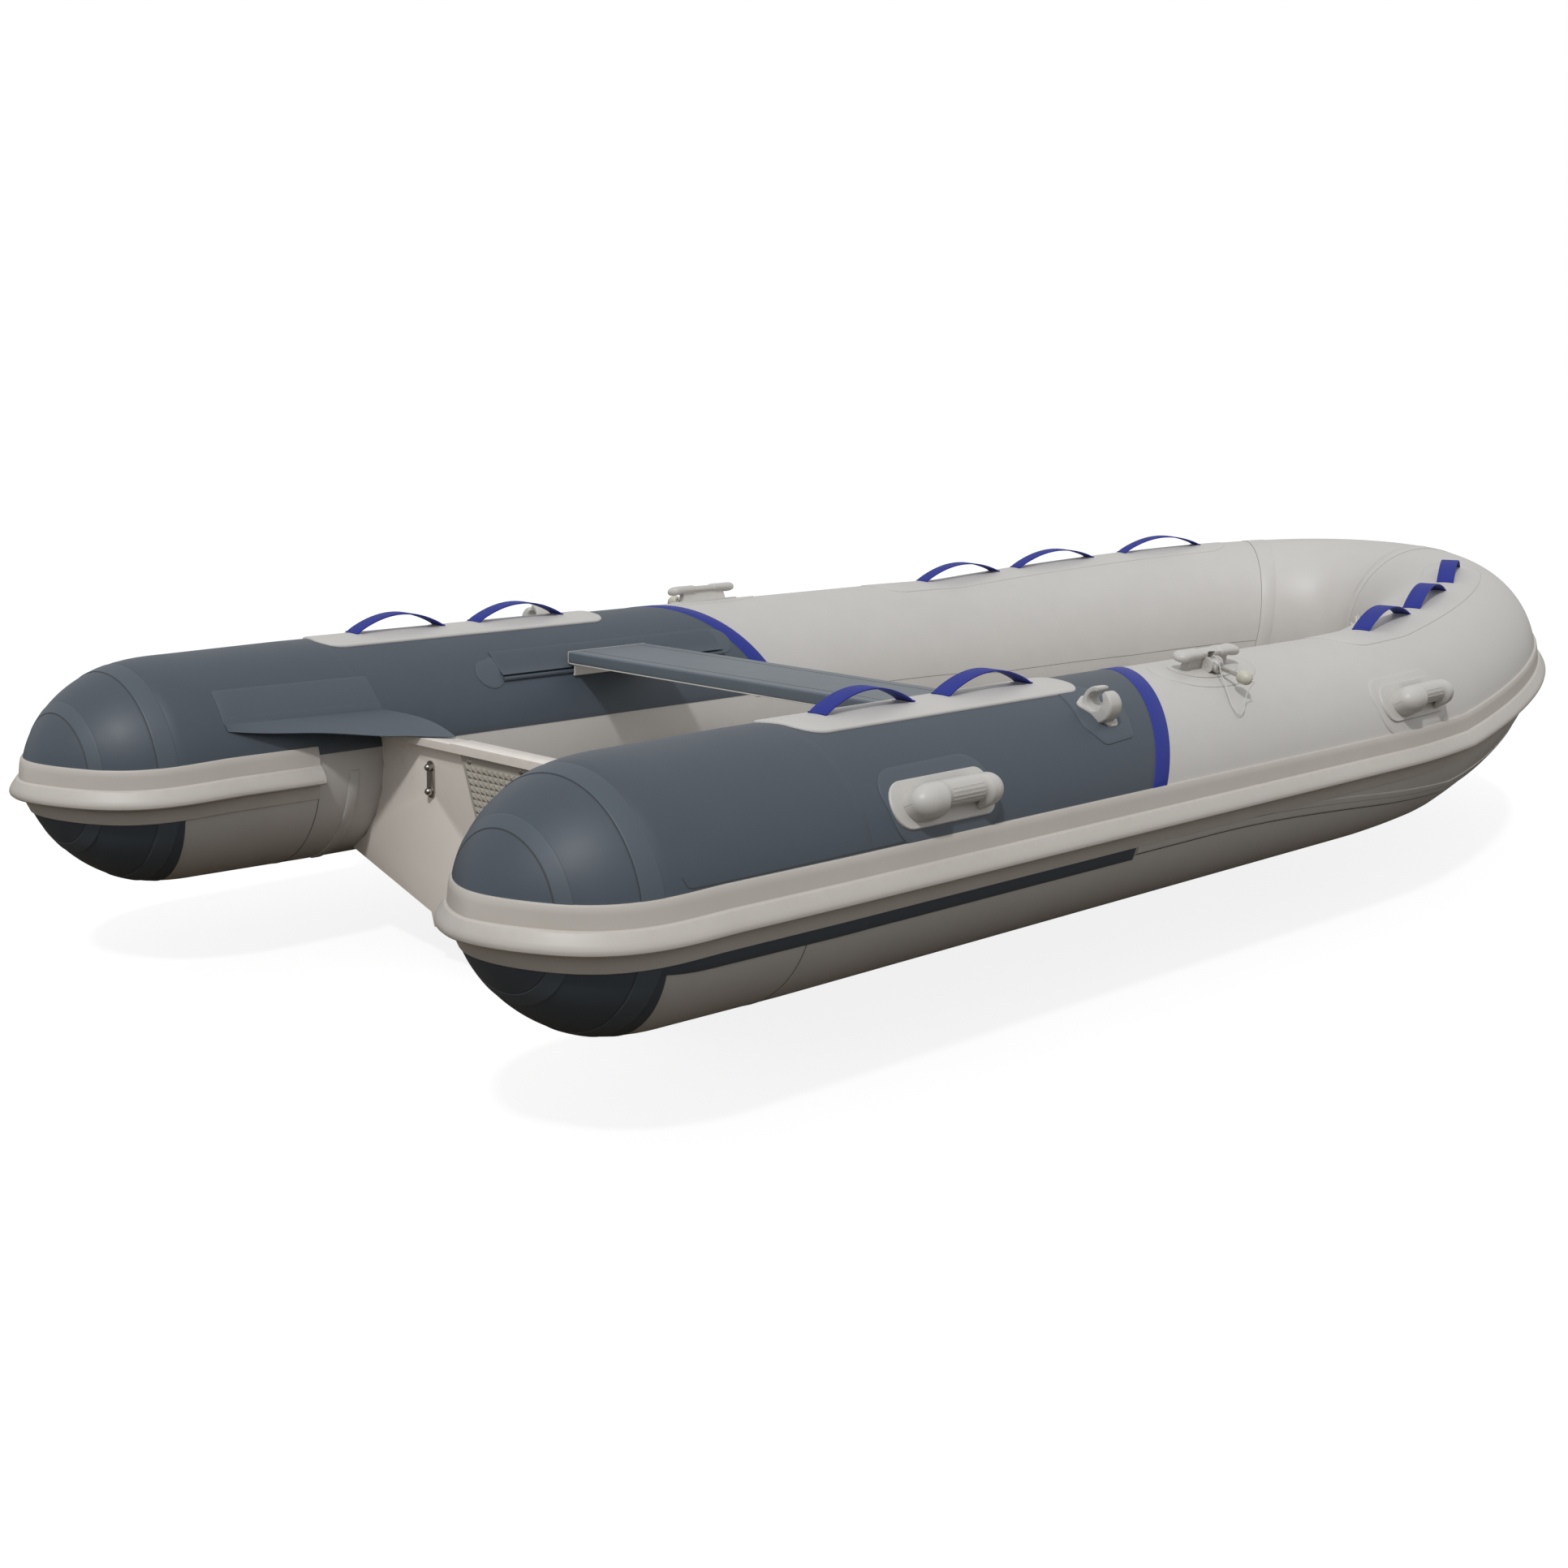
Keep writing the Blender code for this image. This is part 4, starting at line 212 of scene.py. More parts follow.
def degrees_round(metres):
    """Angle in degrees for a distance round the tube."""
    return np.degrees(np.asarray(metres) / RADIUS)


def metres_round(degrees):
    """Distance round the tube for an angle in degrees."""
    return np.radians(degrees) * RADIUS


def around(step):
    """Angles in degrees right round the tube, in steps as even as the one given."""
    return np.linspace(-180.0, 180.0, int(360 / step), endpoint=False)


def on_collar(s, angle, offset):
    """4 by 4 array of axes on the port collar: X along it, Y round it and outboard, Z out of it."""
    here = collar(s, angle, offset)
    forward = unit(collar(s + 0.002, angle, offset) - collar(s - 0.002, angle, offset))
    outward = here - collar(s, angle, offset - 0.1)
    outward = unit(outward - forward * (outward @ forward))
    matrix = np.eye(4)
    matrix[:3] = np.stack([forward, np.cross(outward, forward), outward, here], axis=1)
    return matrix


# Mesh helpers: a shape is (points, quads, tris, uv), and the last two may be None
def grid_quads(rows, columns, close_rows=False, close_columns=False, first=0):
    """Corner numbers of the quads of a grid of points, closed round either way."""
    row = np.arange(rows if close_rows else rows - 1)[:, None]
    column = np.arange(columns if close_columns else columns - 1)[None, :]
    beside, ahead = (column + 1) % columns, (row + 1) % rows
    here, there = row * columns, ahead * columns
    corners = np.broadcast_arrays(here + column, here + beside, there + beside, there + column)
    return np.stack(corners, axis=-1).reshape(-1, 4) + first


def fan(ring, centre):
    """Triangles from a closed ring of corner numbers to one centre."""
    return np.stack([ring, np.roll(ring, -1), np.full(ring.size, centre)], axis=1)


def full_shape(shape):
    """A shape's four arrays in even forms, with empty ones where it has None."""
    points, quads, tris, uv = shape
    points = np.asarray(points, float).reshape(-1, 3)
    quads = np.asarray(quads, int).reshape(-1, 4)
    tris = np.zeros((0, 3), int) if tris is None else np.asarray(tris, int).reshape(-1, 3)
    uv = np.zeros((len(points), 2)) if uv is None else np.asarray(uv, float).reshape(-1, 2)
    return points, quads, tris, uv


def build_mesh(name, shape, sharp=35.0):
    """A mesh from whole arrays, turned outwards by the sign of its volume."""
    points, quads, tris, uv = full_shape(shape)
    corners = points[np.concatenate([quads[:, [0, 1, 2]], quads[:, [0, 2, 3]], tris])]
    if np.einsum("ij,ij->", corners[:, 0], np.cross(corners[:, 1], corners[:, 2])) < 0.0:
        quads, tris = quads[:, ::-1], tris[:, ::-1]
    mesh = bpy.data.meshes.new(name)
    mesh.vertices.add(len(points))
    mesh.vertices.foreach_set("co", points.ravel())
    loops = np.concatenate([quads.ravel(), tris.ravel()])
    counts = np.concatenate([np.full(len(quads), 4), np.full(len(tris), 3)])
    mesh.loops.add(len(loops))
    mesh.loops.foreach_set("vertex_index", loops)
    mesh.polygons.add(len(counts))
    mesh.polygons.foreach_set("loop_start", np.concatenate([[0], np.cumsum(counts)[:-1]]))
    mesh.update(calc_edges=True)
    if shape[3] is not None:
        layer = mesh.uv_layers.new(name="surface")
        layer.data.foreach_set("uv", uv[loops].ravel())
    mesh.shade_smooth()
    mesh.set_sharp_from_angle(angle=math.radians(sharp))
    return mesh


def place(name, mesh, material, body, nodes):
    """An object for a mesh, standing for CAD nodes. It rides on a body unless it is to be blended."""
    mesh.materials.append(material)
    made = bpy.data.objects.new(name, mesh)
    bpy.context.scene.collection.objects.link(made)
    if body:
        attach(made, body)
    if nodes:
        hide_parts(*nodes)
    return made


def single(name, shape, material, body="boat", nodes=(), sharp=35.0):
    """One piece from a shape in boat axes."""
    points, *rest = full_shape(shape)[:3]
    mesh = build_mesh(name, (points + SHIFT, *rest, shape[3]), sharp)
    return place(name, mesh, material, body, nodes)


def pair(stem, shape, material, nodes=()):
    """The port piece and its mirror image; node names get the side's name where they hold {}."""
    made = []
    for side, sign in SIDES:
        points = np.asarray(shape[0]).reshape(-1, 3) * np.array([1.0, sign, 1.0])
        names = [node.format(side) for node in nodes]
        made.append(single(f"{stem}_{side}", (points, *shape[1:]), material, nodes=names))
    return made


def joined(*shapes):
    """Several shapes as one, each still closed by itself."""
    points, quads, tris, uvs = zip(*(full_shape(shape) for shape in shapes))
    first = np.cumsum([0] + [len(p) for p in points[:-1]])
    quads = [q + start for q, start in zip(quads, first)]
    tris = [t + start for t, start in zip(tris, first)]
    return np.concatenate(points), np.concatenate(quads), np.concatenate(tris), np.concatenate(uvs)


def moved(shape, matrix):
    """A shape after a 4 by 4 matrix given as an array, its faces turned over where the matrix mirrors."""
    points, quads, tris, _ = full_shape(shape)
    if np.linalg.det(matrix[:3, :3]) < 0.0:
        quads, tris = quads[:, ::-1], tris[:, ::-1]
    return points @ matrix[:3, :3].T + matrix[:3, 3], quads, tris, shape[3]


def mirrored_by(sign):
    """Matrix that leaves a shape on the port side for 1, and mirrors it to starboard for -1."""
    return np.diag([1.0, sign, 1.0, 1.0])


def shell(top, bottom, uv=None):
    """Closed sheet between two grids of points with the same rows and columns."""
    rows, columns = top.shape[:2]
    half = rows * columns
    upper = grid_quads(rows, columns)
    lower = grid_quads(rows, columns, first=half)[:, ::-1]
    sides = [np.arange(columns), np.arange(1, rows) * columns + columns - 1]
    sides += [(rows - 1) * columns + np.arange(columns - 2, -1, -1), np.arange(rows - 2, 0, -1) * columns]
    edge = np.concatenate(sides)
    following = np.roll(edge, -1)
    rim = np.stack([edge, edge + half, following + half, following], axis=1)
    points = np.concatenate([top.reshape(-1, 3), bottom.reshape(-1, 3)])
    both_uv = None if uv is None else np.concatenate([uv.reshape(-1, 2)] * 2)
    return points, np.concatenate([upper, lower, rim]), None, both_uv


def tube_grid(rings, uv=None):
    """Closed body from rings of points; each end closes on the middle of its ring."""
    rows, columns = rings.shape[:2]
    points = np.concatenate([rings.reshape(-1, 3), rings[:1].mean(axis=1), rings[-1:].mean(axis=1)])
    first = np.arange(columns)
    last = (rows - 1) * columns + first
    tris = np.concatenate([fan(first[::-1], rows * columns), fan(last, rows * columns + 1)])
    if uv is not None:
        uv = np.concatenate([uv.reshape(-1, 2), uv[:1].mean(axis=1), uv[-1:].mean(axis=1)])
    return points, grid_quads(rows, columns, close_columns=True), tris, uv


def looped(rings):
    """Body from rings of points that close on themselves both ways, with a hole through its middle."""
    quads = grid_quads(*rings.shape[:2], close_rows=True, close_columns=True)
    return rings.reshape(-1, 3), quads, None, None


def revolved(profile, segments):
    """A profile of (radius, height) turned about Z; ends off the axis are closed flat."""
    profile = np.asarray(profile, float)
    turn = full_turn(segments)
    x, y = profile[:, :1] * np.cos(turn), profile[:, :1] * np.sin(turn)
    return tube_grid(np.stack([x, y, np.broadcast_to(profile[:, 1:], x.shape)], axis=2))


def rounded_corners(corners, radii, steps):
    """A closed outline whose corners are arcs of the radii given, in two dimensions."""
    corners = np.asarray(corners, float)
    radii = np.broadcast_to(np.asarray(radii, float), len(corners))
    before, after = unit(np.roll(corners, 1, 0) - corners), unit(np.roll(corners, -1, 0) - corners)
    half = np.arccos(np.clip((before * after).sum(axis=1), -1.0, 1.0)) / 2.0
    centre = corners + unit(before + after) * (radii / np.sin(half))[:, None]
    start = corners + before * (radii / np.tan(half))[:, None] - centre
    end = corners + after * (radii / np.tan(half))[:, None] - centre
    share = np.linspace(0.0, 1.0, steps)[None, :, None]
    arc = unit(start[:, None] * (1.0 - share) + end[:, None] * share) * radii[:, None, None]
    return (centre[:, None] + arc).reshape(-1, 2)


def rounded_box(low_x, high_x, low_y, high_y, radii, steps=6):
    """A rectangle with rounded corners, from its low corner round."""
    corners = [(low_x, low_y), (high_x, low_y), (high_x, high_y), (low_x, high_y)]
    return rounded_corners(corners, radii, steps)


def oval(centre, reach, segments, power=1.0):
    """A superellipse outline: sine and cosine to a power, times the reach each way from a centre."""
    turn = full_turn(segments)
    x, y = np.cos(turn), np.sin(turn)
    bent = np.stack([np.sign(x) * np.abs(x) ** power, np.sign(y) * np.abs(y) ** power], axis=1)
    return np.asarray(centre) + bent * np.asarray(reach)


def evenly(outline, step):
    """A closed outline resampled at an even step."""
    closed = np.concatenate([outline, outline[:1]])
    distance = run_length(closed)
    places = np.linspace(0.0, distance[-1], max(int(distance[-1] / step), 12), endpoint=False)
    return at_places(places, distance, closed)


def inset(outline, depth):
    """A closed outline moved inwards by a depth, along its own normals."""
    run = unit(np.roll(outline, -1, 0) - np.roll(outline, 1, 0))
    x, y = outline[:, 0], outline[:, 1]
    area = np.sum(x * np.roll(y, -1) - np.roll(x, -1) * y)
    return outline + np.stack([-run[:, 1], run[:, 0]], axis=1) * np.sign(area) * depth


# Glued cloth: every piece starts a little under the surface that it lies on
GLUED_DEPTH = 0.0004
RIM_SHARES = np.array([0.0, 0.13, 0.4, 1.0])
WRAP_STEP_ROUND = 0.012


def crown(depth, rim):
    """Height share of a rounded rim: a quarter ellipse over the rim's width, then level."""
    share = np.clip(np.asarray(depth) / rim, 0.0, 1.0)
    return np.sqrt(np.maximum(1.0 - (1.0 - share) ** 2, 0.0))


def patch(outline, base, thick, rim, step, rings, angle=0.0, dish=0.0):
    """Glued patch on the collar: an outline in (station, metres round from the angle) with a rounded rim.

    The rim's rings are the outline moved inwards; the rest shrink towards the middle, which may be dished.
    The lower face follows the same rings just under the base, so the sheet is closed.
    """
    outline = evenly(np.asarray(outline, float), step)
    centre = outline.mean(axis=0)
    depths = rim * RIM_SHARES
    shares = np.linspace(1.0, 0.0, rings + 1)[1:-1]
    levels = [inset(outline, depth) for depth in depths]
    levels += [centre + (levels[-1] - centre) * share for share in shares]
    heights = [thick * crown(depth, rim) for depth in depths]
    heights += [thick - dish * min(3.0 * (1.0 - share), 1.0) for share in shares]
    flat = np.stack(levels)
    rows, count = flat.shape[:2]
    half = rows * count
    tall = np.broadcast_to(np.array(heights)[:, None], (rows, count))
    degrees = angle + degrees_round(flat[..., 1])
    top = collar(flat[..., 0], degrees, base + tall)
    under = collar(flat[..., 0], degrees, base - GLUED_DEPTH)
    heights_in_middle = np.array([base + thick - dish, base - GLUED_DEPTH])
    poles = collar(centre[0], angle + degrees_round(centre[1]), heights_in_middle)
    points = np.concatenate([top.reshape(-1, 3), under.reshape(-1, 3), poles])
    ring = np.arange(count)
    side = np.stack([ring, np.roll(ring, -1), np.roll(ring, -1) + half, ring + half], axis=1)[:, ::-1]
    upper = grid_quads(rows, count, close_columns=True)
    lower = grid_quads(rows, count, close_columns=True, first=half)[:, ::-1]
    inner_ring = (rows - 1) * count + ring
    tris = np.concatenate([fan(inner_ring, 2 * half), fan((inner_ring + half)[::-1], 2 * half + 1)])
    uv = np.concatenate([flat.reshape(-1, 2), flat.reshape(-1, 2), [centre], [centre]])
    return points, np.concatenate([upper, lower, side]), tris, uv


def spans(step, length, rim):
    """Places across a sheet as (share of the length, extra metres), close together at both rims."""
    near = rim * RIM_SHARES
    middle = np.linspace(0.0, 1.0, max(int(length / step), 2) + 1)[1:-1]
    share = np.concatenate([np.zeros(4), middle, np.ones(4)])
    extra = np.concatenate([near, rim * (1.0 - 2.0 * middle), -near[::-1]])
    depth = np.concatenate([near, np.full(middle.size, rim), near[::-1]])
    return share, extra, depth


def sheet_on(s, angle, base, height):
    """Closed sheet on the collar over grids of stations and angles, with a UV in metres along and round."""
    uv = np.stack([s, metres_round(angle)], axis=-1)
    return shell(collar(s, angle, base + height), collar(s, angle, base - GLUED_DEPTH), uv)


def wrap(aft, fore, low, high, base, thick, rim=0.0012, step=0.02):
    """Sheet glued round the collar between two edges, each a station or a function of the angle."""
    share, extra, depth_round = spans(WRAP_STEP_ROUND, float(metres_round(high - low)), rim)
    angles = low + share * (high - low) + degrees_round(extra)
    aft_at, fore_at = (
        edge(angles) if callable(edge) else np.full_like(angles, edge) for edge in (aft, fore)
    )
    share, extra, depth_s = spans(step, float(np.mean(fore_at - aft_at)), rim)
    s = aft_at[:, None] + share[None] * (fore_at - aft_at)[:, None] + extra[None]
    height = thick * crown(np.minimum(depth_round[:, None], depth_s[None]), rim)
    return sheet_on(s, np.broadcast_to(angles[:, None], s.shape), base, height)


def ribbon(stations, angles, width, base, thick, rim, cuts):
    """Strip on the collar along a line of stations and angles, with a rounded height over its width."""
    edge = rim / width * RIM_SHARES[2:]
    share = np.concatenate([[0.0, 1.0], edge, 1.0 - edge, np.linspace(0.0, 1.0, cuts + 2)[1:-1]])
    share = np.sort(share)
    depth = np.minimum(share, 1.0 - share) * width
    angle = np.asarray(angles, float)[:, None] + degrees_round((share - 0.5) * width)[None]
    s = np.broadcast_to(np.asarray(stations, float)[:, None], angle.shape)
    return sheet_on(s, angle, base, np.broadcast_to(thick * crown(depth, rim), s.shape))


def ring_band(aft, fore, base, thick, rim, segments, step):
    """Band of tape right round the tube between two stations."""
    share, extra, depth = spans(step, fore - aft, rim)
    s = (aft + share * (fore - aft) + extra)[:, None]
    angles = np.linspace(-180.0, 180.0, segments, endpoint=False)[None]
    outer = collar(s, angles, (base + thick * crown(depth, rim))[:, None])
    return looped(np.concatenate([outer, collar(s[::-1], angles, base - GLUED_DEPTH)]))


def swept(path, profile, up, flat_uv=False):
    """A closed profile of (sideways, upright) carried along a path, its UV in metres along and round.

    With a flat UV the second number is the sideways place, so that a weave runs straight across a strap.
    """
    heading = unit(np.gradient(path, axis=0))
    side = unit(np.cross(np.broadcast_to(up, path.shape), heading))
    upright = np.cross(heading, side)
    rings = path[:, None] + side[:, None] * profile[None, :, :1] + upright[:, None] * profile[None, :, 1:]
    across = profile[:, 0] if flat_uv else run_length(np.concatenate([profile, profile[:1]]))[:-1]
    return tube_grid(rings, np.stack(np.broadcast_arrays(run_length(path)[:, None], across[None]), axis=-1))


def smooth_path(route, step):
    """Even points along a Catmull-Rom curve through a route."""
    route = np.asarray(route, float)
    knots = np.concatenate([route[:1], route, route[-1:]])
    share = np.linspace(0.0, 1.0, 24, endpoint=False)[None, :, None]
    a, b, c, d = (knots[i : i + len(route) - 1, None] for i in range(4))
    cubic = 2.0 * b + (c - a) * share + (2.0 * a - 5.0 * b + 4.0 * c - d) * share**2
    cubic = cubic + (3.0 * b - a - 3.0 * c + d) * share**3
    fine = np.concatenate([(cubic / 2.0).reshape(-1, route.shape[1]), route[-1:]])
    distance = run_length(fine)
    places = np.linspace(0.0, distance[-1], max(int(round(distance[-1] / step)), 2) + 1)
    return at_places(places, distance, fine)


# Materials
def add_group(name, extra, outputs):
    """An empty node group that takes a vector and one more number, and puts out named values."""
    tree = bpy.data.node_groups.new(name, "ShaderNodeTree")
    tree.interface.new_socket("Vector", in_out="INPUT", socket_type="NodeSocketVector")
    label, value = extra
    tree.interface.new_socket(label, in_out="INPUT", socket_type="NodeSocketFloat").default_value = value
    for label in outputs:
        tree.interface.new_socket(label, in_out="OUTPUT", socket_type="NodeSocketFloat")
    return tree, tree.nodes.new("NodeGroupInput"), tree.nodes.new("NodeGroupOutput")


def feed(tree, socket, value):
    """A socket's value from another socket, a number or a colour."""
    if isinstance(value, tuple):
        socket.default_value = (*value, 1.0)
    elif isinstance(value, (int, float)):
        socket.default_value = value
    elif value is not None:
        tree.links.new(value, socket)


def math_node(tree, operation, first, second=None, third=None, clamp=False):
    """A Math node fed by sockets or numbers."""
    made = tree.nodes.new("ShaderNodeMath")
    made.operation = operation
    made.use_clamp = clamp
    for index, value in enumerate((first, second, third)):
        feed(tree, made.inputs[index], value)
    return made.outputs[0]


def mix_colour(tree, factor, first, second, blend="MIX"):
    """A colour Mix node fed by sockets or colours."""
    made = tree.nodes.new("ShaderNodeMix")
    made.data_type = "RGBA"
    made.blend_type = blend
    for index, value in ((0, factor), (6, first), (7, second)):
        feed(tree, made.inputs[index], value)
    return made.outputs[2]


def stretch(tree, value, low, high, to_low=0.0, to_high=1.0):
    """A Map Range node that clamps."""
    made = tree.nodes.new("ShaderNodeMapRange")
    tree.links.new(value, made.inputs["Value"])
    for label, number in (("From Min", low), ("From Max", high), ("To Min", to_low), ("To Max", to_high)):
        made.inputs[label].default_value = number
    return made.outputs["Result"]


def noise(tree, vector, scale, detail, roughness=0.55):
    """Factor of a Noise texture."""
    made = tree.nodes.new("ShaderNodeTexNoise")
    for label, value in (("Vector", vector), ("Scale", scale), ("Detail", detail), ("Roughness", roughness)):
        feed(tree, made.inputs[label], value)
    return made.outputs[0]


def make_grain_group():
    """Soft coated-cloth or moulded grain: broad mottling, fine grain and slow waviness of the surface."""
    tree, given, result = add_group("coated_grain", ("Grain Size", 900.0), ("Mottle", "Grain", "Wave"))
    vector = given.outputs["Vector"]
    broad = noise(tree, vector, 3.2, 5.0)
    middle = noise(tree, vector, 17.0, 4.0)
    mottle = math_node(tree, "MULTIPLY_ADD", middle, 0.35, math_node(tree, "MULTIPLY", broad, 0.65))
    tree.links.new(mottle, result.inputs["Mottle"])
    tree.links.new(noise(tree, vector, given.outputs["Grain Size"], 2.0, 0.5), result.inputs["Grain"])
    tree.links.new(noise(tree, vector, 9.0, 3.0), result.inputs["Wave"])
    return tree


def make_wear_group():
    """Edge wear from the surface's own pointiness, broken up by noise, and painted shade where the surface
    is hollow.
    """
    tree, given, result = add_group("edge_wear_and_crevice_shade", ("Amount", 0.5), ("Edge", "Crevice Shade"))
    pointiness = tree.nodes.new("ShaderNodeNewGeometry").outputs["Pointiness"]
    edge = stretch(tree, pointiness, 0.52, 0.60)
    broken = stretch(tree, noise(tree, given.outputs["Vector"], 60.0, 5.0), 0.35, 0.7)
    edge = math_node(tree, "MULTIPLY", edge, broken)
    edge = math_node(tree, "MULTIPLY", edge, given.outputs["Amount"], clamp=True)
    tree.links.new(edge, result.inputs["Edge"])
    # Crevice output: painted shade, a darkening where the pointiness shows a hollow
    tree.links.new(stretch(tree, pointiness, 0.49, 0.42), result.inputs["Crevice Shade"])
    return tree


def make_webbing_group():
    """Webbing weave on the strip's own UV in metres: slanted ribs and cross picks, with painted shade where
    the weave lies low.
    """
    tree, given, result = add_group("webbing_weave", ("Pitch", 0.0014), ("Height", "Shade"))
    split = tree.nodes.new("ShaderNodeSeparateXYZ")
    tree.links.new(given.outputs["Vector"], split.inputs[0])
    pitch = given.outputs["Pitch"]
    along, across = (math_node(tree, "DIVIDE", split.outputs[axis], pitch) for axis in (0, 1))
    slant = math_node(tree, "ADD", along, math_node(tree, "PINGPONG", across, 2.0))
    turns = [math_node(tree, "MULTIPLY", way, 2.0 * math.pi) for way in (slant, across)]
    rib, pick = (math_node(tree, "SINE", turn) for turn in turns)
    height = math_node(tree, "MULTIPLY_ADD", rib, 0.6, math_node(tree, "MULTIPLY", pick, 0.4))
    tree.links.new(height, result.inputs["Height"])
    # Shade output: painted shade, darker where the weave's height is low
    tree.links.new(stretch(tree, height, -1.0, 1.0, 0.78, 1.1), result.inputs["Shade"])
    return tree


GRAIN = make_grain_group()
# Edge wear, and painted shade in hollows
WEAR_AND_SHADE = make_wear_group()
WEBBING = make_webbing_group()


def start_material(name, pattern_on="Object"):
    """A material's tree, its Principled shader and the coordinates that its patterns read."""
    material = bpy.data.materials.new(name)
    material.use_nodes = True
    tree = material.node_tree
    coordinates = tree.nodes.new("ShaderNodeTexCoord")
    return material, tree, tree.nodes["Principled BSDF"], coordinates.outputs[pattern_on]


def place_group(tree, group, vector, label, value):
    """A shared group placed in a material with its own value."""
    made = tree.nodes.new("ShaderNodeGroup")
    made.node_tree = group
    tree.links.new(vector, made.inputs["Vector"])
    made.inputs[label].default_value = value
    return made.outputs


def add_bump(tree, shader, height, strength, distance, under=None):
    """A Bump node on the shader's normal."""
    bump = tree.nodes.new("ShaderNodeBump")
    bump.inputs["Strength"].default_value = strength
    bump.inputs["Distance"].default_value = distance
    feed(tree, bump.inputs["Height"], height)
    feed(tree, bump.inputs["Normal"], under)
    tree.links.new(bump.outputs["Normal"], shader.inputs["Normal"])
    return bump.outputs["Normal"]


def coated(name, colour, shade, rough, grain=1100.0, wave=0.25, wear=0.25, worn=(0.7, 0.69, 0.66)):
    """Coated cloth or moulded plastic: mottled colour, fine grain, slow waves, worn edges and painted shade
    in hollows.
    """
    material, tree, shader, vector = start_material(name)
    pattern = place_group(tree, GRAIN, vector, "Grain Size", grain)
    edges = place_group(tree, WEAR_AND_SHADE, vector, "Amount", wear)
    tone = mix_colour(tree, stretch(tree, pattern["Mottle"], 0.35, 0.65), shade, colour)
    tone = mix_colour(tree, edges["Edge"], tone, worn)
    # Painted shade: hollows darkened towards a deeper tone of the shade colour
    crevice_shade = math_node(tree, "MULTIPLY", edges["Crevice Shade"], 0.35)
    tone = mix_colour(tree, crevice_shade, tone, tuple(channel * 0.55 for channel in shade))
    tree.links.new(tone, shader.inputs["Base Color"])
    gloss = stretch(tree, pattern["Mottle"], 0.3, 0.7, rough - 0.05, rough + 0.05)
    tree.links.new(gloss, shader.inputs["Roughness"])
    low = add_bump(tree, shader, pattern["Wave"], wave, 0.0035)
    add_bump(tree, shader, pattern["Grain"], 0.12, 0.0004, low)
    return material


def moulded(name, colour, shade, rough, grain=1500.0, **values):
    """Moulded or painted finish: as coated cloth, with almost no waves."""
    return coated(name, colour, shade, rough, grain, 0.05, **values)


LIGHT_PVC = coated("light_coated_cloth", (0.56, 0.545, 0.525), (0.53, 0.515, 0.495), 0.46)
DARK_PVC = coated(
    "dark_coated_cloth", (0.062, 0.081, 0.104), (0.056, 0.073, 0.094), 0.5, worn=(0.13, 0.15, 0.17)
)
DARK_TAPE = coated(
    "dark_cloth_tape", (0.077, 0.098, 0.121), (0.071, 0.090, 0.112), 0.52, worn=(0.14, 0.16, 0.19)
)
BLUE_PVC = coated(
    "blue_coated_cloth", (0.007, 0.022, 0.27), (0.006, 0.018, 0.24), 0.55, worn=(0.04, 0.06, 0.34)
)
STRAKE_UPPER = coated("strake_rubber_greyish", (0.54, 0.505, 0.465), (0.51, 0.475, 0.435), 0.5)
STRAKE_LOWER = coated("strake_rubber_pale", (0.53, 0.50, 0.465), (0.50, 0.47, 0.435), 0.45)
PAD_PLASTIC = coated("motor_pad_plastic", (0.42, 0.39, 0.34), (0.37, 0.34, 0.29), 0.5, wear=0.6)
SEAM_GREY = coated("seam_grey", (0.20, 0.195, 0.185), (0.17, 0.165, 0.155), 0.6, wear=0.0)
# Dark seam lines; also the painted shadow line along the strake's top, where the panel lifts
SEAM_DARK_AND_SHADOW = coated("dark_seam_and_painted_shadow", (0.045, 0.05, 0.055), (0.04, 0.045, 0.05), 0.6, wear=0.0)
WHITE_PLASTIC = moulded("moulded_off_white", (0.56, 0.545, 0.52), (0.535, 0.52, 0.495), 0.4)
KNOB_PLASTIC = moulded("moulded_yellowish", (0.56, 0.54, 0.46), (0.53, 0.51, 0.43), 0.42)
VALVE_PLASTIC = moulded(
    "moulded_dark_grey", (0.10, 0.105, 0.11), (0.09, 0.095, 0.10), 0.4, worn=(0.2, 0.2, 0.2)
)
SEAT_PAINT = moulded(
    "seat_grey_blue", (0.112, 0.139, 0.164), (0.103, 0.128, 0.152), 0.4, 500.0, worn=(0.3, 0.32, 0.34)
)
GELCOAT = moulded(
    "gelcoat_off_white",
    (0.86, 0.80, 0.745),
    (0.84, 0.78, 0.72),
    0.3,
    400.0,
    worn=(0.62, 0.58, 0.54),
    wear=0.3,
)
DECK_GRIP = coated(
    "deck_non_skid", (0.64, 0.605, 0.565), (0.55, 0.52, 0.485), 0.62, 240.0, 0.08, 0.5, (0.50, 0.47, 0.44)
)


def polished_steel():
    """Polished stainless steel with a faint grain in its gloss."""
    material, tree, shader, vector = start_material("stainless_steel")
    pattern = place_group(tree, GRAIN, vector, "Grain Size", 600.0)
    mottle = stretch(tree, pattern["Mottle"], 0.3, 0.7)
    tone = mix_colour(tree, mottle, (0.42, 0.40, 0.37), (0.56, 0.54, 0.51))
    tree.links.new(tone, shader.inputs["Base Color"])
    shader.inputs["Metallic"].default_value = 1.0
    tree.links.new(stretch(tree, pattern["Mottle"], 0.3, 0.7, 0.16, 0.30), shader.inputs["Roughness"])
    add_bump(tree, shader, pattern["Grain"], 0.1, 0.0002)
    return material


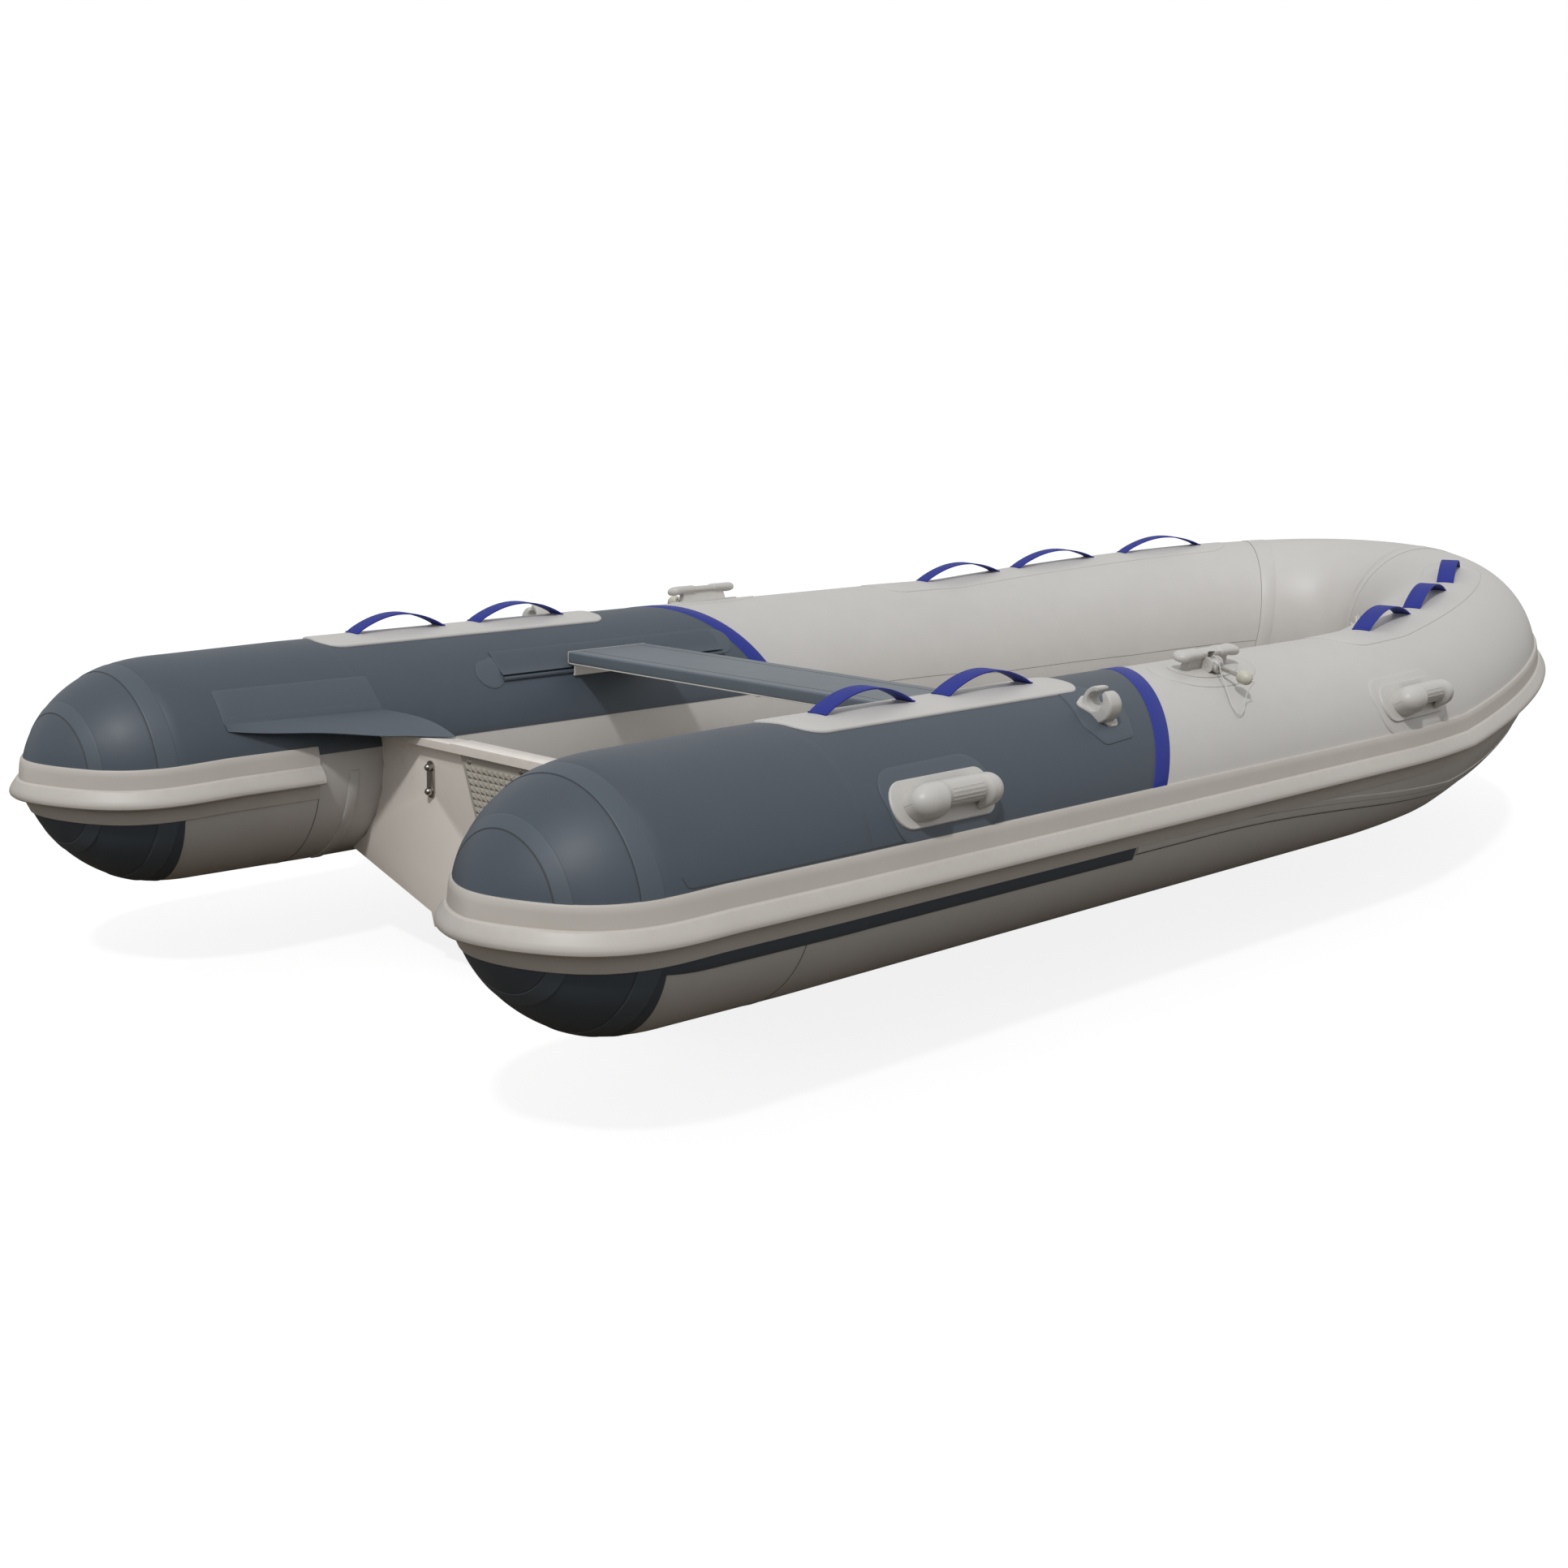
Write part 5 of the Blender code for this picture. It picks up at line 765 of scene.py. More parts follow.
def woven(name, colour, pitch, rough, strength, depth, sheen=0.0):
    """Woven webbing or braided cord on the piece's own UV."""
    material, tree, shader, vector = start_material(name, "UV")
    weave = place_group(tree, WEBBING, vector, "Pitch", pitch)
    # The weave's painted shade darkens the colour in its low parts
    tree.links.new(mix_colour(tree, 1.0, colour, weave["Shade"], "MULTIPLY"), shader.inputs["Base Color"])
    for label, value in (("Roughness", rough), ("Sheen Weight", sheen), ("Sheen Roughness", 0.4)):
        shader.inputs[label].default_value = value
    add_bump(tree, shader, weave["Height"], strength, depth)
    return material


STEEL = polished_steel()
STRAP_WEBBING = woven("blue_webbing", (0.007, 0.020, 0.28), 0.0016, 0.75, 0.5, 0.0004, sheen=0.08)
CORD_BRAID = woven("white_braid", (0.72, 0.71, 0.68), 0.0009, 0.7, 0.6, 0.0003)


# Rowlock lanyards, by the rowlock's own measures
PIVOT = np.array([0.065, HALF_SPACING + 0.0725, 0.2175])
DROOP = math.radians(13.0)
PIN_AWAY = np.array([0.0, math.cos(DROOP), -math.sin(DROOP)])
BARREL_LENGTH, PIN_LENGTH, KNOB_LENGTH = 0.020, 0.044, 0.030
KNOB_END = PIVOT + PIN_AWAY * (BARREL_LENGTH + PIN_LENGTH + KNOB_LENGTH)
LANYARD_RADIUS = 0.0011
LANYARD_ROUTE = (
    (0.0490, 0.7228, 0.2320),
    (0.0472, 0.7300, 0.2368),
    (0.0462, 0.7380, 0.2340),
    (0.0460, 0.7440, 0.2245),
    (0.0440, 0.7490, 0.2130),
    (0.0400, 0.7560, 0.2010),
    (0.0347, 0.7667, 0.1906),
    (0.0232, 0.7820, 0.1730),
    (0.0138, 0.7960, 0.1572),
    (0.0119, 0.8080, 0.1440),
    (0.0150, 0.8145, 0.1380),
    (0.0260, 0.8140, 0.1410),
    (0.0345, 0.8126, 0.1476),
    (0.0390, 0.8100, 0.1568),
    (0.0459, 0.8076, 0.1680),
    (0.0550, 0.8060, 0.1790),
    (0.0610, 0.8095, 0.1895),
    tuple(KNOB_END + PIN_AWAY * 0.0062),
    tuple(KNOB_END + PIN_AWAY * 0.0003),
)


def make_lanyards():
    """Thin cords from each rowlock's saddle, down to the tube and back up to the knob's end."""
    for side, sign in SIDES:
        path = smooth_path(LANYARD_ROUTE, 2.0 * LANYARD_RADIUS) * np.array([1.0, sign, 1.0]) + SHIFT
        shape = swept(path, oval((0.0, 0.0), LANYARD_RADIUS, 10), (1.0, 0.2, 0.3))
        mesh = build_mesh(f"rowlock_cord_{side}", shape)
        cord = place(f"rowlock_cord_{side}", mesh, CORD_BRAID, None, [f"lanyard_{side}"])
        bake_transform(cord)


make_lanyards()


# Tubes and tail cones
TUBE_STEP = 2.5
PANEL_AFT, PANEL_TOP, PANEL_LOW = -1.472, -82.0, 111.5
SEAM_ONE, SEAM_TWO, TAPE_ONE, TAPE_TWO = -1.5035, -1.600, -1.4695, -1.582
CUP_END, SKIN_END = math.radians(89.5), 1.47
TURN_PER_METRE = 2.5
LINE_WIDTH, LINE_HEIGHT = 0.0013, 0.0005
CUP_BASE, CUP_THICK, TAPE_BASE, CONE_RIM, CONE_SUNK = 0.0004, 0.0010, 0.0010, 0.0012, 0.0006
# Each as (name, after edge, forward edge, base, thickness, steps, rim, material)
TAIL_BANDS = (
    ("tail_tape_1", SEAM_ONE, TAPE_ONE, TAPE_BASE, 0.0014, 10, CONE_RIM, DARK_TAPE),
    ("tail_cup_1", SEAM_TWO, SEAM_ONE, CUP_BASE, 0.0008, 26, CONE_RIM, DARK_PVC),
    ("tail_tape_2", SEAM_TWO, TAPE_TWO, TAPE_BASE, 0.0012, 8, CONE_RIM, DARK_TAPE),
    ("tail_line_1", SEAM_ONE - LINE_WIDTH, SEAM_ONE, TAPE_BASE, LINE_HEIGHT, 2, 0.0001, SEAM_DARK_AND_SHADOW),
    ("tail_line_2", SEAM_TWO - LINE_WIDTH, SEAM_TWO, TAPE_BASE, LINE_HEIGHT, 2, 0.0001, SEAM_DARK_AND_SHADOW),
)
SKIRT_FORE, SKIRT_SLANT, SKIRT_MIDDLE, SKIRT_ANGLES = -1.430, 0.0004, 182.0, (103.0, 262.0)


def make_tubes():
    """One smooth skin round the whole collar, from one tail's seam to the other's."""
    far = 2.0 * END - TAIL_START
    run = np.concatenate([np.linspace(-SKIN_END, TAIL_START, 8), np.linspace(TAIL_START, far, 240)[1:-1]])
    s = np.concatenate([run, np.linspace(far, 2.0 * END + SKIN_END, 8)])
    shape = tube_grid(collar(s[:, None], around(TUBE_STEP)[None]))
    single("collar_skin", shape, LIGHT_PVC, nodes=("tube_port", "tube_starboard", "tube_bow"))


def cone_band(aft, fore, base, thick, steps, rim):
    """Band round the tail between two stations: steps of equal turn, rounded edges and an inner wall."""
    first, last = float(tail_turn(fore)), float(tail_turn(aft))
    edge = rim * RIM_SHARES * TURN_PER_METRE
    middle = np.linspace(first, last, steps + 2)[1:-1]
    turn = np.sort(np.concatenate([first + edge, middle, last - edge[::-1]]))[:, None]
    depth = np.minimum(turn - first, last - turn) / TURN_PER_METRE
    rings = collar(tail_station(turn), around(TUBE_STEP)[None], base + thick * crown(depth, rim))
    inner = collar(tail_station(turn[::-1]), around(TUBE_STEP)[None], -CONE_SUNK)
    return looped(np.concatenate([rings, inner]))


def skirt_fore(angle):
    """Forward edge of the dark skirt under each tail, furthest forward at the skirt's middle."""
    return SKIRT_FORE - SKIRT_SLANT * np.abs(angle - SKIRT_MIDDLE)


def make_tail_cones():
    """Tail cones: two dark cups, tapes and fine dark lines over their seams, and a skirt under the tail."""
    for name, aft, fore, base, thick, steps, rim, material in TAIL_BANDS:
        pair(name, cone_band(aft, fore, base, thick, steps, rim), material)
    start = float(tail_turn(SEAM_TWO))
    edge = start + np.array([0.0, 0.001, 0.003])
    turn = np.concatenate([edge, np.linspace(start + 0.01, CUP_END, 44)])[:, None]
    height = CUP_BASE + CUP_THICK * crown((turn - start) / TURN_PER_METRE, CONE_RIM)
    rings = collar(tail_station(turn), around(TUBE_STEP)[None], height)
    pair("tail_cup_2", tube_grid(rings), DARK_PVC, ("tail_cone_{}",))
    pair("tail_skirt", wrap(PANEL_AFT, skirt_fore, *SKIRT_ANGLES, 0.0, 0.0012), DARK_PVC)


# Wear panels, stripes and handle patches
STRIPE_TOP, STRIPE_SLANT, STRIPE_WIDTH, STRIPE_BASE = -0.1025, 0.00215, 0.045, 0.0008
STRIPE_ANGLES, STRIPE_THICK, STRIPE_LAP = (-84.0, 78.0), 0.0014, 0.006
PANEL_THICK, PANEL_LAP, PANEL_SQUARE = 0.0014, (-1.072, -1.05), -0.35


def stripe_fore(angle):
    """Forward edge of the slanted stripe."""
    return STRIPE_TOP - STRIPE_SLANT * angle


def stripe_aft(angle):
    """After edge of the slanted stripe."""
    return stripe_fore(angle) - STRIPE_WIDTH


def panel_fore(angle):
    """Forward edge of the dark panel: under the stripe, then square at its lower end."""
    return np.maximum(stripe_aft(angle) + STRIPE_LAP, PANEL_SQUARE)


def make_panels():
    """Dark wear panels, lapped at a joint, with the stripe glued over their forward edge."""
    shape = wrap(PANEL_AFT, PANEL_LAP[1], PANEL_TOP, PANEL_LOW, 0.0, PANEL_THICK + 0.0004)
    pair("wear_panel_aft", shape, DARK_PVC)
    shape = wrap(PANEL_LAP[0], panel_fore, PANEL_TOP, PANEL_LOW, 0.0, PANEL_THICK)
    pair("wear_panel_fore", shape, DARK_PVC, ("dark_panel_{}",))
    shape = wrap(stripe_aft, stripe_fore, *STRIPE_ANGLES, STRIPE_BASE, STRIPE_THICK)
    pair("band", shape, BLUE_PVC, ("stripe_{}",))


def make_handle_patches():
    """Light padded patches along the tube tops under the after straps."""
    corners = [(-1.072, -0.069), (-0.335, -0.069), (-0.335, 0.069), (-1.040, 0.069)]
    outline = rounded_corners(corners, [0.045, 0.035, 0.035, 0.05], 8)
    shape = patch(outline, base=0.0016, thick=0.0040, rim=0.0045, step=0.007, rings=12)
    pair("top_patch", shape, LIGHT_PVC, ("handle_patch_{}",))


# Rub strake: its section as (outwards, upwards) from the collar's widest line
STRAKE_PROFILE = (
    (0.0002, 0.0470),
    (0.0040, 0.0466),
    (0.0052, 0.0440),
    (0.0056, 0.0340),
    (0.0060, 0.0160),
    (0.0066, 0.0120),
    (0.0085, 0.0108),
    (0.0110, 0.0090),
    (0.0215, -0.0050),
    (0.0255, -0.0115),
    (0.0270, -0.0160),
    (0.0268, -0.0195),
    (0.0245, -0.0222),
    (0.0090, -0.0262),
    (0.0066, -0.0280),
    (0.0058, -0.0300),
    (0.0052, -0.0400),
    (0.0044, -0.0540),
    (0.0010, -0.0556),
)
STRAKE_PARTS = (
    ("strake_upper", slice(0, 8), STRAKE_UPPER, ()),
    ("strake_nose", slice(7, 19), STRAKE_LOWER, ("rub_strake",)),
)
STRAKE_INNER_END, STRAKE_SUNK = -1.185, 0.003
STRAKE_DROP, DROP_START, DROP_RUN = 0.014, -1.36, 0.24


def strake_line():
    """The strake's line from the port tail's inner end round to the bow's middle, on the collar's sides."""
    turn = np.radians(np.linspace(0.0, 90.0, 61))
    inner = np.concatenate([np.linspace(STRAKE_INNER_END, TAIL_START, 12)[:-1], tail_station(turn)])
    outer = np.concatenate([tail_station(turn[::-1][1:]), np.linspace(TAIL_START, END, 190)[1:]])
    side = np.concatenate([np.full(len(inner), -90.0), np.full(len(outer), 90.0)])
    return collar(np.concatenate([inner, outer]), side)


def strake_depth(base, outward, height):
    """How far inwards the collar's surface lies at a height above or below its widest line.

    On the run and the bow the section is a circle. On the tail the surface is found by halving steps
    along the inward direction.
    """
    on_run = RADIUS - np.sqrt(RADIUS**2 - height**2)
    low, high = np.full_like(height, -0.004), np.full_like(height, 0.12)
    for _ in range(26):
        middle = (low + high) / 2.0
        x, y = (base[:, None, axis] - outward[:, None, axis] * middle for axis in (0, 1))
        z = base[:, None, 2] + height - tail_rise(x)
        tail_radius = TAIL_RADIUS * np.maximum(np.cos(tail_turn(x)), 0.0) ** TAIL_RADIUS_POWER
        radius = np.where(x < TAIL_START, tail_radius, run_radius(x))
        outside = (np.hypot(y - HALF_SPACING, z) > radius) | (x < TAIL_TIP)
        low, high = np.where(outside, middle, low), np.where(outside, high, middle)
    return np.where(base[:, None, 0] < TAPER_START, (low + high) / 2.0, on_run)


def make_strake():
    """Moulded strake round the boat in two tones, following the collar's true surface and dropping aft."""
    port = strake_line()
    base = np.concatenate([port, port[-2::-1] * np.array([1.0, -1.0, 1.0])])
    heading = np.gradient(base, axis=0)
    outward = unit(np.stack([-heading[:, 1], heading[:, 0], np.zeros(len(base))], axis=1))
    outward *= -1.0 if outward[len(port) - 1, 0] < 0.0 else 1.0
    to_port = np.ones_like(base)
    to_port[len(port) :, 1] = -1.0
    drop = eased(0.0, -STRAKE_DROP, (DROP_START - base[:, 0]) / DROP_RUN)
    for name, rows, material, nodes in STRAKE_PARTS:
        part = np.array(STRAKE_PROFILE)[rows]
        height = part[None, :, 1] + drop[:, None]
        depth = strake_depth(base * to_port, outward * to_port, height)
        outer = base[:, None] + outward[:, None] * (part[None, :, 0] - depth)[..., None]
        inner = base[:, None] - outward[:, None] * (depth + STRAKE_SUNK)[..., None]
        for face in (outer, inner):
            face[..., 2] += height
        single(name, shell(outer, inner), material, nodes=nodes, sharp=25.0)


# Lifting straps: runs of (after foot, forward foot), the webbing's base and the stitching's base
STRAP_WIDTH, STRAP_THICK, STRAP_RISE = 0.040, 0.0028, 0.031
STRAP_FOOT, STRAP_FULLNESS = 0.005, 0.82
AFT_STRAPS = ((-0.9585, -0.7393), (-0.6520, -0.4209))
BOW_STRAPS = ((0.780, 1.052), (1.120, 1.372), (1.475, 1.715))
STRAP_RUNS = (("aft", AFT_STRAPS, 0.0061, 0.0059), ("bow", BOW_STRAPS, 0.0020, 0.0019))


def strap_shape(start, end, offset):
    """Webbing bowed up between two flat feet: the rise is a power of a sine along the strap."""
    first, last = collar(start, 0.0, offset), collar(end, 0.0, offset)
    length = np.linalg.norm(last - first)
    forward = unit(last - first)
    upward = np.cross(forward, unit(np.cross([0.0, 0.0, 1.0], forward)))
    share = (1.0 - np.cos(np.linspace(0.0, math.pi, 48))) / 2.0
    foot = np.linspace(0.0, STRAP_FOOT, 5)[:-1]
    along = np.concatenate([foot, STRAP_FOOT + (length - 2.0 * STRAP_FOOT) * share, length - foot[::-1]])
    rise = np.concatenate([np.zeros(4), STRAP_RISE * np.sin(math.pi * share) ** STRAP_FULLNESS, np.zeros(4)])
    path = first + forward * along[:, None] + upward * (rise + STRAP_THICK / 2.0)[:, None]
    w, t = STRAP_WIDTH / 2.0, STRAP_THICK / 2.0
    return swept(path, rounded_box(-w, w, -t, t, 0.0009, 3), upward, flat_uv=True)


def make_straps():
    """Two straps on each after patch and three each side of the bow, with a stitched foot at each end."""
    number = 0
    for name, straps, base, stitch_base in STRAP_RUNS:
        for count, (start, end) in enumerate(straps, 1):
            number += 1
            shape = strap_shape(start, end, base)
            pair(f"lifting_strap_{number}", shape, STRAP_WEBBING, (f"strap_{name}_{count}_{{}}",))
            for foot, place_at, inward in ((2 * number - 1, start, 1.0), (2 * number, end, -1.0)):
                middle = place_at + inward * STRAP_FOOT
                outline = rounded_box(middle - 0.008, middle + 0.008, -0.0225, 0.0225, 0.002, 4)
                shape = patch(outline, stitch_base, thick=0.0007, rim=0.0006, step=0.003, rings=4)
                pair(f"strap_foot_{foot}", shape, WHITE_PLASTIC)


# Tapes, seams and reinforcing patches
SEAM_BENDS, SEAM_ANGLES = (-0.02, 0.67, 1.36), (-84.0, -87.0, -96.0)
BOW_TAPES, BOW_TAPE_WIDTH = (("port", 1.0, 1.806, 0.055), ("starboard", -1.0, 1.982, 0.045)), 0.052
# Each as (after edge, forward edge, lowest angle, highest angle)
TRANSOM_TAPE_AFT, TRANSOM_TAPE_FORE = (-1.118, -1.094, -160.0, -92.0), (-1.000, -0.955, -122.0, -84.0)
RING_SEAM = (-1.1835, -1.1815)
SPRAY_RUN, SPRAY_ANGLES, SPRAY_TURN_START, SPRAY_TURN_LENGTH = (-0.345, 1.62), (104.5, 127.0), -0.10, 1.35
CLEAT_STATION, CLEAT_ANGLE = 0.0675, 14.0


def inner_seam(end, last_angle, count):
    """Fine line along the inside of the tube: its angle bends at a few stations up to its end."""
    s = np.linspace(SEAM_BENDS[0], end, count)
    angle = np.interp(s, (*SEAM_BENDS, end), (*SEAM_ANGLES, last_angle))
    return ribbon(s, angle, width=0.0012, base=0.0, thick=0.0004, rim=0.0002, cuts=1)


def slanted(station, lean):
    """A slanted edge: its station at an angle is a fixed one and the lean times the angle's cosine."""
    return lambda angle: station + lean * np.cos(np.radians(angle))


def make_bow_tapes():
    """Slanted tapes over the bow joints, each with its side's slant and a fine line along its after edge."""
    for name, sign, station, lean in BOW_TAPES:
        aft, edge, fore = (slanted(station + ahead, lean) for ahead in (-LINE_WIDTH, 0.0, BOW_TAPE_WIDTH))
        shape = wrap(edge, fore, -178.0, 178.0, 0.0, 0.0012)
        single(f"bow_tape_{name}", moved(shape, mirrored_by(sign)), LIGHT_PVC)
        shape = wrap(aft, edge, -178.0, 178.0, 0.0, LINE_HEIGHT, rim=0.0003, step=0.001)
        single(f"bow_tape_line_{name}", moved(shape, mirrored_by(sign)), SEAM_GREY)


def make_seams():
    """Seam lines and tapes that the cloth shows: lengthwise, round the tubes and under the strake, and a
    painted shadow line along the strake's top.
    """
    single("inner_seam_port", inner_seam(1.80, -98.0, 90), SEAM_GREY)
    shape = moved(inner_seam(2.02, -99.0, 100), mirrored_by(-1.0))
    single("inner_seam_starboard", shape, SEAM_GREY)
    s = np.linspace(*SPRAY_RUN, 110)
    angle = eased(*SPRAY_ANGLES, (s - SPRAY_TURN_START) / SPRAY_TURN_LENGTH)
    ring = ring_band(*RING_SEAM, base=0.0, thick=0.0007, rim=0.0005, segments=96, step=0.002)
    strips = (
        ("spray_strip", ribbon(s, angle, 0.030, 0.0, 0.0022, rim=0.0012, cuts=6), LIGHT_PVC),
        ("spray_line_low", ribbon(s, angle + 4.6, 0.0016, 0.0, 0.0005, rim=0.0003, cuts=1), SEAM_DARK_AND_SHADOW),
        ("spray_line_high", ribbon(s, angle - 0.5, 0.0011, 0.0020, 0.0004, rim=0.0003, cuts=1), SEAM_GREY),
        ("tail_ring_seam", ring, SEAM_GREY),
        ("transom_tape_aft", wrap(*TRANSOM_TAPE_AFT, 0.0, 0.0034, rim=0.008, step=0.006), LIGHT_PVC),
        ("transom_tape_fore", wrap(*TRANSOM_TAPE_FORE, 0.0, 0.0016, rim=0.003, step=0.008), LIGHT_PVC),
    )
    for name, shape, material in strips:
        pair(name, shape, material)
    # Painted shadow: a fine dark strip on the panel along the strake's top, for the slit where the panel
    # lifts off
    s = np.concatenate([np.linspace(-1.438, -1.432, 3), np.linspace(-1.425, -0.948, 40)])
    angle = np.concatenate([np.linspace(72.0, 75.8, 3), np.full(40, 76.6)])
    shape = ribbon(s, angle, width=0.0022, base=PANEL_THICK, thick=0.0008, rim=0.0003, cuts=1)
    pair("panel_edge_painted_shadow", shape, SEAM_DARK_AND_SHADOW)


def turned_corners(*corners):
    """Corners given as (station, degrees from the top), as (station, metres round)."""
    return [(station, float(metres_round(degrees))) for station, degrees in corners]


def make_reinforcing():
    """Cloth patches under the oar clips, handles, rowlocks and bow straps."""
    corners = turned_corners((-0.400, 10.0), (-0.330, 14.0), (-0.285, 30.0))
    corners += turned_corners((-0.318, 52.0), (-0.406, 53.5), (-0.436, 42.0))
    outline = rounded_corners(corners, [0.012, 0.012, 0.026, 0.020, 0.016, 0.030], 8)
    shape = patch(outline, base=0.0012, thick=0.0016, rim=0.0014, step=0.004, rings=8)
    pair("clip_patch", shape, DARK_TAPE)
    grab_radii = [0.045, 0.050, 0.050, 0.060]
    corners = turned_corners((-1.012, 44.5), (-0.742, 43.5), (-0.732, 79.5), (-0.982, 82.0))
    outline = rounded_corners(corners, grab_radii, 10)
    shape = patch(outline, base=0.0010, thick=0.0020, rim=0.0016, step=0.005, rings=10)
    pair("grab_patch_aft", shape, DARK_TAPE)
    corners = turned_corners((0.486, 45.0), (0.780, 45.0), (0.786, 77.0), (0.516, 79.5))
    outline = rounded_corners(corners, grab_radii, 10)
    shape = patch(outline, base=0.0, thick=0.0016, rim=0.0014, step=0.005, rings=10)
    pair("grab_patch_forward", shape, LIGHT_PVC)
    turn = full_turn(96)
    along = CLEAT_STATION + 0.152 * np.sign(np.cos(turn)) * np.abs(np.cos(turn)) ** 0.9
    outline = np.stack([along, metres_round(CLEAT_ANGLE) + 0.071 * np.sin(turn)], axis=1)
    shape = patch(outline, base=0.0, thick=0.0014, rim=0.0012, step=0.005, rings=10)
    pair("rowlock_patch", shape, LIGHT_PVC)
    outline = rounded_box(0.600, 1.790, -0.072, 0.072, [0.060, 0.071, 0.071, 0.060], 12)
    shape = patch(outline, base=0.0, thick=0.0016, rim=0.0014, step=0.008, rings=10)
    pair("bow_patch", shape, LIGHT_PVC)


# Flaps at the transom and under the seat
FLAP_THICK, FLAP_COLUMNS, FLAP_ROWS = 0.0013, 72, 22
FLAP_GLUE_RUN, FLAP_GLUE_ANGLES, FLAP_GLUE_ROWS = (-1.366, -1.026), (-61.0, -63.0), (4.0, 2.6, 1.3, 0.0)
FLAP_CORNER, FLAP_LIFT = (-1.364, -64.5), 0.0034
FLAP_ROUTE = ((-1.22, 0.398, 0.0800), (-1.056, 0.2815, 0.0716), (-1.012, 0.2330, 0.0722))
FLAP_BOW_START, FLAP_BOW_LENGTH, FLAP_BOW_AHEAD, FLAP_BOW_UP = 0.55, 0.45, 0.020, 0.004
FLAP_WAVE, FLAP_WAVE_TURN, FLAP_WAVE_END, FLAP_WAVE_FADE = 0.0014, 11.0, 0.80, 0.1


def thickened(grid, thick):
    """Sheet of even thickness from a grid of points: the lower face is the grid moved along its normals."""
    normal = unit(np.cross(np.gradient(grid, axis=0), np.gradient(grid, axis=1)))
    normal *= np.sign(normal[..., 2].mean())
    return shell(grid, grid - normal * thick)


def transom_flap_grid():
    """Points of a transom flap: straight lines from the glued edge to the free edge.

    The glued run lies on the tube. The free edge goes from the after corner straight to the cap's after
    edge and across the cap; a small wave and sag, growing with distance from the tube, keep it from being
    flat. Points that would fall inside the tube are lifted onto it.
    """
    share = np.linspace(0.0, 1.0, FLAP_COLUMNS)
    glue_x, glue_angle = (low + (high - low) * share for low, high in (FLAP_GLUE_RUN, FLAP_GLUE_ANGLES))
    route = np.array([collar(*FLAP_CORNER, FLAP_LIFT), *FLAP_ROUTE])
    distance = run_length(route)
    free = at_places(distance[-1] * share, distance, route)
    on_tube = np.stack([collar(glue_x, glue_angle + back, 0.0032) for back in FLAP_GLUE_ROWS])
    across = np.linspace(0.0, 1.0, FLAP_ROWS)[1:, None]
    flap = on_tube[-1] + (free - on_tube[-1])[None] * across[..., None]
    bow = np.sin(math.pi * across) * np.clip((share - FLAP_BOW_START) / FLAP_BOW_LENGTH, 0.0, 1.0) ** 2
    flap[..., 0] += FLAP_BOW_AHEAD * bow
    flap[..., 2] += FLAP_BOW_UP * bow
    fade = np.clip((FLAP_WAVE_END - share) / FLAP_WAVE_FADE, 0.0, 1.0)
    flap[..., 2] -= FLAP_WAVE * np.sin(share * FLAP_WAVE_TURN) * across**2 * fade
    out, up = flap[..., 1] - HALF_SPACING, flap[..., 2]
    lowest = collar(flap[..., 0], np.degrees(np.arctan2(out, np.maximum(up, 1e-3))), FLAP_LIFT)
    inside = np.hypot(out, up) < np.hypot(lowest[..., 1] - HALF_SPACING, lowest[..., 2])
    flap[..., 1:] = np.where(inside[..., None], lowest[..., 1:], flap[..., 1:])
    return np.concatenate([on_tube, flap])


def make_transom_flaps():
    """Cloth flaps from the tubes over the transom's corners, and the cloth that glues each to its tube."""
    grid = transom_flap_grid()
    shape = thickened(grid, FLAP_THICK)
    made = pair("transom_flap_sheet", shape, DARK_TAPE, ("transom_flap_{}",))
    corners = turned_corners((-1.366, -41.0), (-1.031, -43.0), (-1.024, -63.5), (-1.368, -62.0))
    outline = rounded_corners(corners, 0.005, 5)
    shape = patch(outline, base=0.0012, thick=0.0017, rim=0.0012, step=0.006, rings=8)
    pair("transom_flap_root", shape, DARK_TAPE)


SEAT_FLAP_AFT, SEAT_FLAP_FORE = -0.714, -0.089
SEAT_FLAP_ANGLES = (-36.0, -36.3, -37.0, -40.0, -44.0, -47.5, -50.0, -51.6, -53.0)
SEAT_FLAP_LIFTS = (0.0016, 0.0024, 0.0030, 0.0031, 0.0031, 0.0033, 0.0044, 0.0066, 0.0084)
BEAD_ANGLE, BEAD_LIFT, BEAD_RADIUS = -55.0, 0.0046, 0.0044
FLAP_DISCS = (("aft", -0.739, -50.5), ("fore", -0.084, -46.0))
DISC_RADIUS = 0.034


def make_seat_flaps():
    """Seat rails: a glued strip, a web that folds off the tube, a bead along its free edge and end discs."""
    s = np.linspace(SEAT_FLAP_AFT, SEAT_FLAP_FORE, 70)
    grid = collar(s[None], np.array(SEAT_FLAP_ANGLES)[:, None], np.array(SEAT_FLAP_LIFTS)[:, None])
    sheets = pair("seat_flap_sheet", thickened(grid, 0.0014), DARK_PVC, ("seat_flap_{}",))
    centre = collar(s, BEAD_ANGLE, BEAD_LIFT)
    centre[:, 0] = s
    ring = np.insert(oval((0.0, 0.0), BEAD_RADIUS, 20), 0, 0.0, axis=1)
    beads = pair("seat_flap_bead", tube_grid(centre[:, None] + ring[None]), DARK_PVC)
    strip = turned_corners((-0.735, -50.5), (-0.075, -50.5), (-0.075, -37.0), (-0.735, -40.0))
    outline = rounded_corners(strip, 0.012, 6)
    shape = patch(outline, base=0.0010, thick=0.0012, rim=0.0010, step=0.007, rings=8)
    pair("seat_flap_strip", shape, DARK_TAPE)
    for name, station, angle in FLAP_DISCS:
        outline = oval((station, metres_round(angle)), DISC_RADIUS, 48)
        shape = patch(outline, base=0.0012, thick=0.0017, rim=0.0010, step=0.004, rings=7)
        pair(f"seat_flap_disc_{name}", shape, DARK_TAPE)


